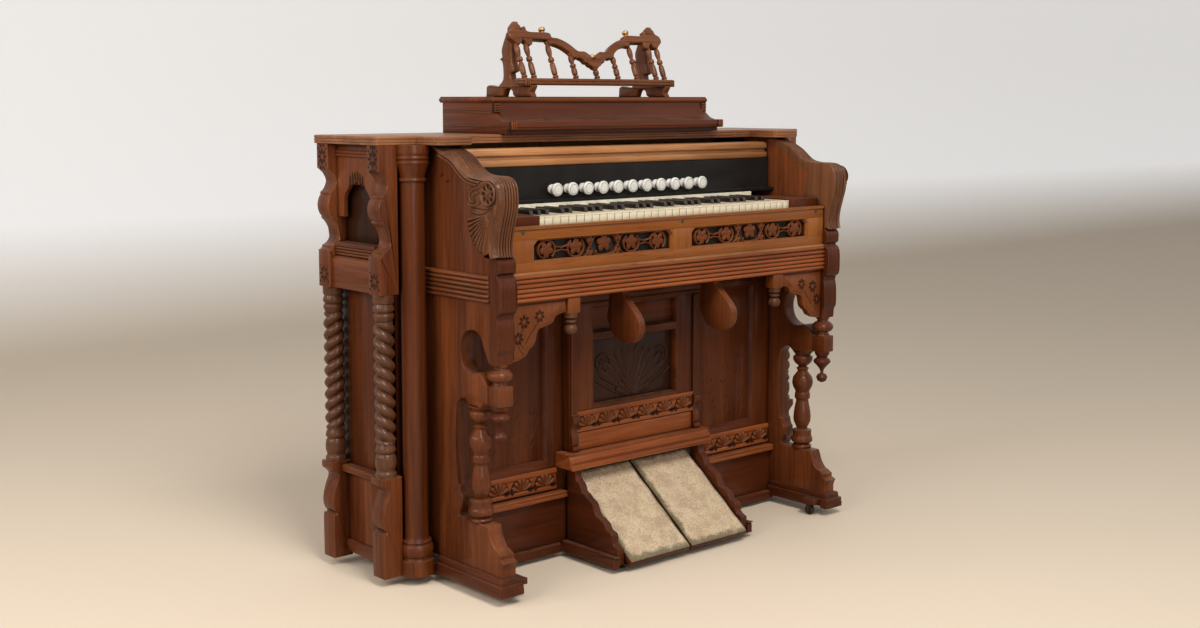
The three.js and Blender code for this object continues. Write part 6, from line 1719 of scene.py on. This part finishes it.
    def tie(self, i: int, x: float, middle: float) -> list[Shape]:
        """What ties two scrolls: crossed bands with small leaves, or a pair of pinched bands."""
        u, shapes = np.linspace(0, 1, 24), []
        if i in (2, 3):
            for lean in (1, -1):
                path = np.stack([x + lean * (18 - 36 * u), middle + 22 * np.cos(np.pi * u)], 1)
                shapes += [self.ribbon(path, 4.6, 0.4 * lean),
                           self.leaf(x, middle + 15.5 * lean, 10.5, lean * math.pi / 2, 3)]
            return shapes
        return [self.ribbon(np.stack([x + 19 * (2 * u - 1), middle + z * (0.35 + 0.65 * np.abs(2 * u - 1))],
                                     1), 4.2)
                for z in (-6.0, 6.0)]

    def fret(self, make: Maker) -> None:
        """Saws the scrollwork: rings open at one side, each round a leaf, tied by stems."""
        inner, outer, low, high = self.window_inner, self.window_outer, self.window_low, self.window_high
        step, middle, base = (outer - inner) / self.scrolls, (low + high) / 2, self.fret_base
        shapes: list[Shape] = []
        for side in Side:
            for i in range(self.scrolls):
                shapes += self.scroll(i, side.value * (inner + (i + 0.5) * step), middle)
            for i in range(1, self.scrolls):
                shapes += self.tie(i, side.value * (inner + i * step), middle)
            start, end = side.span(inner, outer)
            shapes += [box_shape((start, -25, z - 2), (end, base, z + 2), 0.5)
                       for z in (low + 1.5, high - 1.5)]
            shapes += [box_shape((x - 2, -25, low), (x + 2, base, high), 0.5) for x in (start, end)]
        make.piece("slip_scrollwork", shapes, "fret_x", smooth=55)
        make.piece("slip_backing_cloth", [box_shape((-outer, -14.2, low - 4), (outer, -13.4, high + 4), 0.1)],
                   "bellows_cloth_black")
        screw = [(0.1, -1.0), (3.6, -0.9), (5.2, -0.1), (5.4, 1)]
        make.piece("slip_screws", [turned_shape(screw, (x, self.slip_face - 0.2, 803), 20, 2, 60, Plane.Y)
                                   for x in (-489, 0, 489)], "steel_screw")

    def brackets(self, make: Maker) -> None:
        """Saws the brackets with a stepped edge, lays three star flowers with their stems on each in dark
        gouges and strokes of painted shadow, and turns the drops.
        """
        edge = curve_of(BRACKET_EDGE, 362, self.half, 518, 646.7, 6, 62)
        outline = np.vstack([edge, [[self.half, 646.7], [360.5, 646.7], [360.5, 611]]])
        rows = [(-8, 0.8), (-9, 0), (-26.8, 0), (-27.6, 0.3), (-27.8, 4.6), (-29.2, 5.2), (-30, 6.4)]
        stems = (((484, 592), (496, 578), (497, 560), (488, 545)),
                 ((441, 602), (452, 592), (470, 572), (480, 556)),
                 ((502, 560), (500, 548), (494, 538), (488, 532)))
        drop = spread(BRACKET_DROP, 0, 15.5, 561, 611)
        for side in Side:
            s, (inner, outer) = side.value, side.span(326, 362)
            make.piece(f"bracket_{side.word}_sawn", [carried_shape(outline * [s, 1], Plane.Y, rows)],
                       "bracket_z", replaces=(f"bracket_{side.word}",), smooth=45)
            # dark gouges and strokes: painted shadow of the carved flowers and stems
            cuts = [cut for x, z, reach in ((485, 604, 17.0), (441, 613, 15.5), (502, 568, 16.0))
                    for cut in star_cuts(s * x, z, reach, 7, 0.42)]
            make.piece(f"bracket_flowers_{side.word}", gouge_shapes(cuts, Plane.Y, -29.9, -1.0, 0.9), "cut_z")
            make.piece(f"bracket_stems_{side.word}", [stroke_shape(
                [(s * a, b) for a, b in points], 6, 1.8, Plane.Y, -29.5, -30.9) for points in stems], "cut_z")
            make.piece(f"bracket_block_{side.word}", [box_shape((inner, -36, 611), (outer, -8, 646.7), 1.5)],
                       "bracket_z")
            make.piece(f"bracket_drop_{side.word}", [turned_shape(drop, (s * 344, -22, 0), 40)], "greyed_z")

    def build(self, make: Maker) -> None:
        """Makes the front rail's pieces."""
        self.rail(make)
        self.frame(make)
        self.fret(make)
        self.brackets(make)


@dataclass
class TopWork:
    """The top board, the long desk box and the music rack."""

    lean: float = -22.8
    foot_y: float = 278.0
    ledge_top: float = 1146.0
    rail_half: float = 255.0

    def board(self, make: Maker) -> None:
        """Makes the top board with three fine reeds round its edge and two horns over the arms."""
        right = [(505, 218), (505, 136), (509, 127), (518, 122), (585, 122), (594, 127), (598, 136),
                 (598, 218), (699, 218), (702, 221), (702, 488)]
        outline = np.array([(-a, b) for a, b in right[::-1]] + right, float)
        rows = [(TOP_UNDER, 2.0), (992.8, 0.6), (994.6, 0), (996.6, 0.5), (997.4, 2.0), (998.2, 0.5),
                (1000.6, 0), (1003.4, 0.5), (1004.2, 2.0), (1005.0, 0.5), (1007.6, 0), (1010.2, 0.5),
                (1011.4, 1.6), (TOP_SURFACE, 3.0)]
        make.piece("top_board_moulded", [carried_shape(outline, Plane.Z, rows)], "top_x",
                   replaces=("top_board",), smooth=40)

    def desk_end(self, front: Shares, side: Side, make: Maker) -> None:
        """Shapes one end block of the desk and lays its reeds over dark boxes: painted shade in the gaps
        between them.
        """
        cheek = np.vstack([front, [(201, 1041.6), (213, 1043.2), (226, 1048), (235, 1054.6), (243, 1061),
                                   (246, 1063), (246, 1086), (455, 1086), (455, 1012)]])
        make.piece(f"desk_end_{side.word}", [carried_shape(cheek, Plane.X,
                                                           eased(*side.span(338.5, 356.5), 1.2))],
                   "warm_y", smooth=45)
        low, high = side.span(339.5, 355.5)
        # near-black boxes behind the reeds: painted shade in their gaps
        make.piece(f"desk_end_gaps_{side.word}", [box_shape((low - 2.5, 178.4, 1022.4),
                                                            (high + 0.5, 184, 1041.9), 0.4),
                                                  box_shape((low - 2.5, 243.4, 1061.6),
                                                            (high + 0.6, 250, 1086), 0.4)],
                   "cut_x")
        inside, outside = side.span(353, 358)
        reeds = [box_shape((low + 5.4 * k, 175.4, 1023.0), (low + 4.4 + 5.4 * k, 184, 1041.4), 2.0)
                 for k in range(3)]
        reeds += [box_shape((low - 1, 240, z), (high + 1, 250, z + 4.4), 2.1)
                  for z in (1063.2, 1068.9, 1074.6, 1080.3)]
        reeds += [box_shape((inside, 250, z), (outside, 452, z + 2.2), 0.9) for z in (1030, 1062, 1068)]
        make.piece(f"desk_end_reeds_{side.word}", reeds, "walnut_x")

    def desk(self, make: Maker) -> None:
        """Builds the long box: a lip, a cove that sweeps up to the lid, reeded end blocks and the lid."""
        front = [(199, TOP_SURFACE), (199, 1021.6), (183.4, 1021.6), (181, 1022.6), (180, 1025),
                 (180, 1026.6), (181.6, 1027.6), (180, 1028.6), (180, 1039), (181.2, 1041.2), (183.4, 1042),
                 (197.4, 1042), (198.4, 1043.4), (199.2, 1041.6)]
        cove = catmull([(201, 1041.4), (213, 1043.4), (226, 1048.6), (236, 1057), (242.6, 1068.6),
                        (245.2, 1080), (245.6, 1087.5)], 5, 50, False)
        section = np.vstack([front, cove, [[290, 1087.5], [290, TOP_SURFACE]]])
        make.piece("desk_front", [carried_shape(section, Plane.X, [(-342, 0), (342, 0)])], "dusky_x",
                   replaces=("desk_box",), smooth=40)
        for side in Side:
            self.desk_end(front[:-2], side, make)
        make.piece("desk_back_board", [box_shape((-340, 437, TOP_SURFACE), (340, 455, 1086), 0.8)],
                   "walnut_x")
        rows = [(1086, 4), (1088, 2.2), (1090, 0.6), (1092.5, 0), (1095.5, 0.2), (1097, 1.4), (1097.2, 3.2),
                (1099.8, 3.6), (1101, 4.8)]
        lid = rounded_corners(rectangle(-361, 242, 361, 465), 2)
        make.piece("desk_lid", [carried_shape(lid, Plane.Z, rows)], "walnut_x", smooth=40)

    def rail(self) -> np.ndarray:
        """The leaning rail's outline, with small scallops along the valley of its under edge."""
        mirror = [(-a, b) for a, b in RAIL_TOP[::-1]][1:] + [(-a, b) for a, b in RAIL_UNDER[::-1]][:-1]
        rail = catmull(spread([*RAIL_UNDER, *RAIL_TOP, *mirror], 0, self.rail_half, 28, 145), 10, 62)
        place = np.arange(len(rail)) / 10
        under = (place < len(RAIL_UNDER) - 1) | (place > len(rail) / 10 - len(RAIL_UNDER) + 1)
        valley = under & (np.abs(rail[:, 0]) < 74)
        rail[valley, 1] -= 3.2 * np.abs(np.sin(np.pi * rail[valley, 0] / 12.3)) ** 0.7 - 1.2
        return rail

    def spindle(self, x: float, rise: float) -> Shape:
        """One turned spindle of the rack, from the ledge to the rail's under edge."""
        top = 28 + rise * 117 + 6
        profile = [(6.0, -4), (6.2, 1), (7.4, 3), (7.4, 6), (4.2, 8.5), (6.8, 12), (7.4, 0.2 * top + 8),
                   (6.4, 0.36 * top + 4), (4.0, 0.45 * top), (7.4, 0.48 * top), (7.6, 0.51 * top + 1),
                   (7.2, 0.54 * top + 2), (4.0, 0.57 * top + 2), (6.8, 0.72 * top), (7.2, 0.82 * top),
                   (5.2, 0.92 * top), (4.2, top - 4), (6.4, top - 1), (5.6, top + 3)]
        return turned_shape(profile, (x, 0, 0), 28, 3, 50)

    def rack(self, make: Maker) -> None:
        """Saws the stands and the leaning rail, turns the spindles and finials and shapes the ledge."""
        stand = catmull(spread(STAND, 256, 438, 1101, 1285), 4, 62)
        for side in Side:
            make.piece(f"rack_stand_{side.word}", [carried_shape(stand, Plane.X,
                                                                 eased(*side.span(215, 235), 3.2))],
                       "rack_z", replaces=("music_rack",) if side is Side.LEFT else (), smooth=50)

        def leaning(name: str, shapes: list[Shape], finish: str, smooth: float) -> None:
            """Makes a piece that leans back from the ledge."""
            pivot = (0.0, self.foot_y, self.ledge_top)
            make.piece(name, [leaned(shape, self.lean, pivot) for shape in shapes], finish, smooth=smooth)
        leaning("rack_rail", [carried_shape(self.rail(), Plane.Y, eased(-9, 9, 2.6))], "rack_x", 50)
        leaning("rack_spindles", [
            self.spindle(sign * x * self.rail_half, rise)
            for x, rise in ((0, 0), (0.278, 0.28), (0.537, 0.53), (0.808, 0.55), (0.925, 0.53))
            for sign in ((1,) if x == 0 else (1, -1))], "rack_z", 50)
        finial = [(3.2, -3), (3.2, 1.5), (5.6, 2.4), (5.6, 3.4), (3.4, 4.6), (7.4, 7), (9.0, 11), (7.8, 14.6),
                  (4, 16.6), (0.1, 17)]
        leaning("rack_finials", [turned_shape([(r, seat + z) for r, z in finial], (x, 0, 0), 28, 4, 55)
                                 for x, seat in ((0, 49.6), (141, 121.1), (-141, 121.1))], "brass_ball", 55)
        ledge = rounded_corners(np.array([[-248, 292], [-262, 278], [-248, 256], [248, 256], [262, 278],
                                          [248, 292]],
                                         float), 3)
        rows = [(1129, 3.5), (1131, 1), (1134, 0), (1137.5, 0.4), (1138.6, 2.2), (1139.6, 0.4), (1142, 0),
                (1145, 1), (self.ledge_top, 2.5)]
        make.piece("rack_ledge", [carried_shape(ledge, Plane.Z, rows)], "rack_x", smooth=40)
        make.piece("rack_ledge_teeth", [box_shape((x - 2.3, 254.6, 1127), (x + 2.3, 262, 1145), 1.9)
                                        for x in (s * (237 + 5.6 * k) for s in (-1, 1) for k in range(3))],
                                        "rack_z")

    def build(self, make: Maker) -> None:
        """Makes the top's pieces."""
        self.board(make)
        self.desk(make)
        self.rack(make)


@dataclass
class Pedals:
    """The pedal box with its scalloped wings, the treadles, their carpets and the knee levers."""

    slope: float = 37.3
    hinge_y: float = -39.0
    hinge_z: float = 5.0
    board_low: float = 3.5
    board_high: float = 19.5
    carpet_low: float = 19.8
    carpet_high: float = 25.8
    carpet_size: Point = (194.0, 286.0)
    start: float = -25.0
    end: float = 262.0

    def box(self, make: Maker) -> None:
        """Saws the wings and frames the box round the treadles."""
        edge = curve_of(WING_EDGE, -48, 108, 36, 199.7, 6, 60)
        wing = np.vstack([[[-48, -8]], edge, [[138.7, 199.7], [138.7, -8]]])
        base = catmull([(-52, -8), (-52, 12), (-50, 16), (-46, 18), (-42, 20), (138.7, 20), (138.7, -8)], 3,
                       60)
        for side in Side:
            make.sided("pedal_wing", [carried_shape(wing, Plane.X, eased(200.5, 221.5, 2.4))], side,
                       "dusky_y", replaces=("pedal_box",) if side is Side.LEFT else (), smooth=50)
            make.sided("pedal_base", [carried_shape(base, Plane.X, [(220, 0), (236, 0), (238, 2)])], side,
                       "dusky_y")
            make.sided("pedal_toe", [box_shape((200.5, -52, -8), (238, -46.5, -3), 0.8)], side, "dusky_x")
        make.piece("pedal_sill", [box_shape((-236.5, -52, -8), (236.5, -34.3, -3), 0.8)], "dusky_x")
        barrel = turned_shape([(3.2, -198), (3.2, 198)], (0, self.hinge_y, self.hinge_z), 16, 1, 60, Plane.X)
        make.piece("pedal_hinge_barrel", [barrel], "steel_screw")

    def carpet(self, side: Side, inner: float, outer: float) -> tuple[Shape, np.ndarray]:
        """A crowned mat, bound and frayed round its edges, with a UV place for each of its points."""
        rng = np.random.default_rng(7 + side.value)
        wide, long = self.carpet_size
        u, v = np.meshgrid(np.linspace(0, 1, 118), np.linspace(0, 1, 84), indexing="ij")
        bump = np.zeros_like(u)
        for _ in range(26):
            a, b, w = rng.uniform(0, 1), rng.uniform(0, 1), rng.uniform(0.04, 0.16)
            bump += rng.uniform(-1, 1) * np.exp(-((u - a) ** 2 + (0.75 * (v - b)) ** 2) / w**2)
        edge = np.minimum(np.minimum(u, 1 - u) * long, np.minimum(v, 1 - v) * wide)
        crown = 1 - np.exp(-edge / 3.0)
        height = self.carpet_low + 1.2 + (4.6 + 0.55 * bump) * crown
        wave = 1.2 * np.sin(21 * u + 3 * side.value) * np.exp(-np.minimum(v, 1 - v) * 14)
        x = inner + 1.6 + (outer - inner - 3.2) * v + wave * np.sign(v - 0.5) * -1
        y = self.start + 1.2 + (long - 2.4) * u
        shape = slab_shape(np.stack([x, y, np.minimum(height, self.carpet_high + 1.5)], -1),
                           np.stack([x, y, np.full_like(x, self.carpet_low)], -1))
        return shape, np.tile(np.stack([v.ravel(), u.ravel()], 1), (2, 1))

    def treadles(self, make: Maker) -> None:
        """Makes each treadle and lays its carpet."""
        pivot = (0.0, self.hinge_y, self.hinge_z)
        for side in Side:
            (inner, outer), body = side.span(3.0, 198.0), f"treadle_{side.word}"
            board = box_shape((inner, self.start, self.board_low), (outer, self.end, self.board_high), 2.0)
            make.piece(body, [leaned(board, self.slope, pivot)], "dusky_y", body, (f"pedal_{side.word}",))
            mat, uv = self.carpet(side, inner, outer)
            carpet = make.piece(f"carpet_{side.word}", [leaned(mat, self.slope, pivot)], "pedal_carpet_pile",
                                body, (f"pedal_carpet_{side.word}",), 70, uv)

    def knees(self, make: Maker) -> None:
        """Shapes the knee levers as thick rounded paddles."""
        outline = catmull(spread(KNEE, -61, 55, 519, 646.7), 6, 55)
        rows = [(146, 2.2), (147, 0.7), (148.6, 0), (151.4, 0.3), (152.2, 1.6), (153.0, 0.3), (156, 0),
                (159, 0.3), (159.8, 1.6), (160.6, 0.3), (163.4, 0), (165, 0.7), (166, 2.2)]
        for side in Side:
            make.sided("knee_paddle", [carried_shape(outline, Plane.X, rows)], side, "walnut_z",
                       body=f"knee_{side.word}", replaces=(f"knee_lever_{side.word}",), smooth=60)

    def build(self, make: Maker) -> None:
        """Makes the pedal box, the treadles and the knee levers."""
        self.box(make)
        self.treadles(make)
        self.knees(make)


def pale_rays(g: Graph) -> bpy.types.NodeSocket:
    """Gives 1 for the rays that show the backdrop itself: seen, mirrored or through glass."""
    path = g.add("LightPath").outputs
    mirrored = g.maths("MAXIMUM", path["Is Glossy Ray"], path["Is Transmission Ray"])
    return g.maths("MAXIMUM", path["Is Camera Ray"], mirrored)


@dataclass
class Studio:
    """The camera of the photograph's view, soft lamps and a pale floor."""

    place: tuple[float, ...] = (-2.4959, -2.7846, 1.1121)
    aim: tuple[float, ...] = (0.0, 0.0, 0.65)
    yaw: float = 0.7199
    pitch: float = 0.1036
    lens: float = 44.4
    shift: float = -0.0495
    warm_white: Colour = (1.0, 0.97, 0.93)

    def stand(self, name: str, data: bpy.types.ID, place: Sequence[float],
              turn: Sequence[float]) -> bpy.types.Object:
        """Puts a camera or a lamp into the scene."""
        thing = bpy.data.objects.new(name, data)
        thing.location, thing.rotation_euler = place, turn
        bpy.context.scene.collection.objects.link(thing)
        return thing

    def camera(self) -> None:
        """Sets the camera up."""
        data = bpy.data.cameras.new("view_camera")
        data.lens, data.sensor_width, data.shift_y = self.lens, 36.0, self.shift
        data.clip_start, data.clip_end = 0.05, 60.0
        turn = (math.pi / 2 - self.pitch, 0.0, -self.yaw)
        bpy.context.scene.camera = self.stand("view_camera", data, self.place, turn)

    def lamp(self, name: str, place: Sequence[float], power: float, size: float) -> None:
        """Adds one soft square lamp that looks at the middle of the organ."""
        data = bpy.data.lights.new(name, "AREA")
        data.energy, data.size, data.color = power, size, self.warm_white
        x, y, z = np.asarray(self.aim) - np.asarray(place)
        self.stand(name, data, place, (math.pi / 2 + math.atan2(z, math.hypot(x, y)), 0.0, math.atan2(-x, y)))

    def lamps(self) -> None:
        """Adds the lamps and the even light of the room."""
        self.lamp("high_lamp", (-0.9, -2.3, 3.4), 92.0, 1.5)
        self.lamp("left_lamp", (-3.6, -0.5, 2.3), 44.0, 1.8)
        self.lamp("window_lamp", (-3.3, 1.1, 1.9), 20.0, 0.7)
        self.lamp("front_lamp", (-1.6, -3.9, 1.35), 24.0, 1.5)
        self.lamp("right_lamp", (2.9, -2.8, 1.9), 6.0, 1.8)
        world = bpy.data.worlds.new("room_light")
        world.use_nodes = True
        bpy.context.scene.world = world
        g = Graph(world.node_tree)
        seen = pale_rays(g)
        g.feed(world.node_tree.nodes["Background"], {
            "Color": g.mix(seen, (0.95, 0.97, 1.0, 1.0), (0.84, 0.82, 0.8, 1.0)),
            "Strength": g.plus(g.times(seen, 0.68), 0.32)})

    def floor(self) -> None:
        """Lays a floor that curves up into a backdrop: flat, then a quarter round, then upright."""
        bend = np.radians(np.linspace(0, 90, 13))
        depth = np.concatenate([[-12.0], 3.4 + 1.5 * np.sin(bend), [4.9]])
        height = np.concatenate([[0.0], 1.5 * (1 - np.cos(bend)), [9.0]])
        points = np.stack([np.repeat([[-16.0, 16.0]], len(depth), 0), np.repeat(depth[:, None], 2, 1),
                           np.repeat(height[:, None], 2, 1)], -1).reshape(-1, 3)
        mesh = bpy.data.meshes.new("pale_floor")
        mesh.from_pydata(points.tolist(), [], quads(len(depth), 2, round_columns=False).tolist())
        mesh.shade_smooth()
        material, g, shader = new_material("pale_floor")
        level = g.add("SeparateXYZ", {0: g.add("TexCoord").outputs["Object"]}).outputs["Z"]
        wall, seen = g.ramp(level, 0.02, 0.5), pale_rays(g)
        ground = g.mix(seen, (0.42, 0.35, 0.27, 1.0), (0.84, 0.7, 0.54, 1.0))
        g.feed(shader, {"Base Color": g.mix(wall, ground, (0.66, 0.65, 0.64, 1.0)), "Roughness": 0.7,
                        "Emission Color": (0.86, 0.84, 0.82, 1.0),
                        "Emission Strength": g.times(seen, g.times(wall, 0.56))})
        mesh.materials.append(material)
        floor = bpy.data.objects.new("pale_floor", mesh)
        bpy.context.scene.collection.objects.link(floor)

    def build(self) -> None:
        """Sets up the camera, the lamps and the floor."""
        self.camera()
        self.lamps()
        self.floor()


class CaseWork:
    """Every board that only needs its edges eased."""

    def build(self, make: Maker) -> None:
        """Makes the eased copies."""
        make.softened("stop_board", "black_lacquer_board")
        make.softened("key_strip", "silvered_felt_strip", 0.0006)
        make.softened("case_back", "pine_z")
        make.softened("reed_chest", "pine_x")
        make.softened("bellows_reservoir", "bellows_cloth_black")
        for side in Side:
            make.softened(f"exhauster_{side.word}", "bellows_cloth_black", body=f"bellows_{side.word}")


def main() -> None:
    """Builds the organ's dress piece by piece and reports how many there are."""
    logging.basicConfig(level=logging.INFO, format="%(name)s: %(message)s")
    bpy.context.scene.view_settings.view_transform = "Standard"
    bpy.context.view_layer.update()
    Studio().build()
    make = Maker(Finishes())
    for part in (CaseWork(), Arms(), Columns(), Ends(), SideBoards(), Keyboard(), KeyFront(), TopWork(),
                 Pedals(), LowerFront(), Castors()):
        part.build(make)
    LOG.info("%d pieces", make.count)


if __name__ == "__main__":
    main()
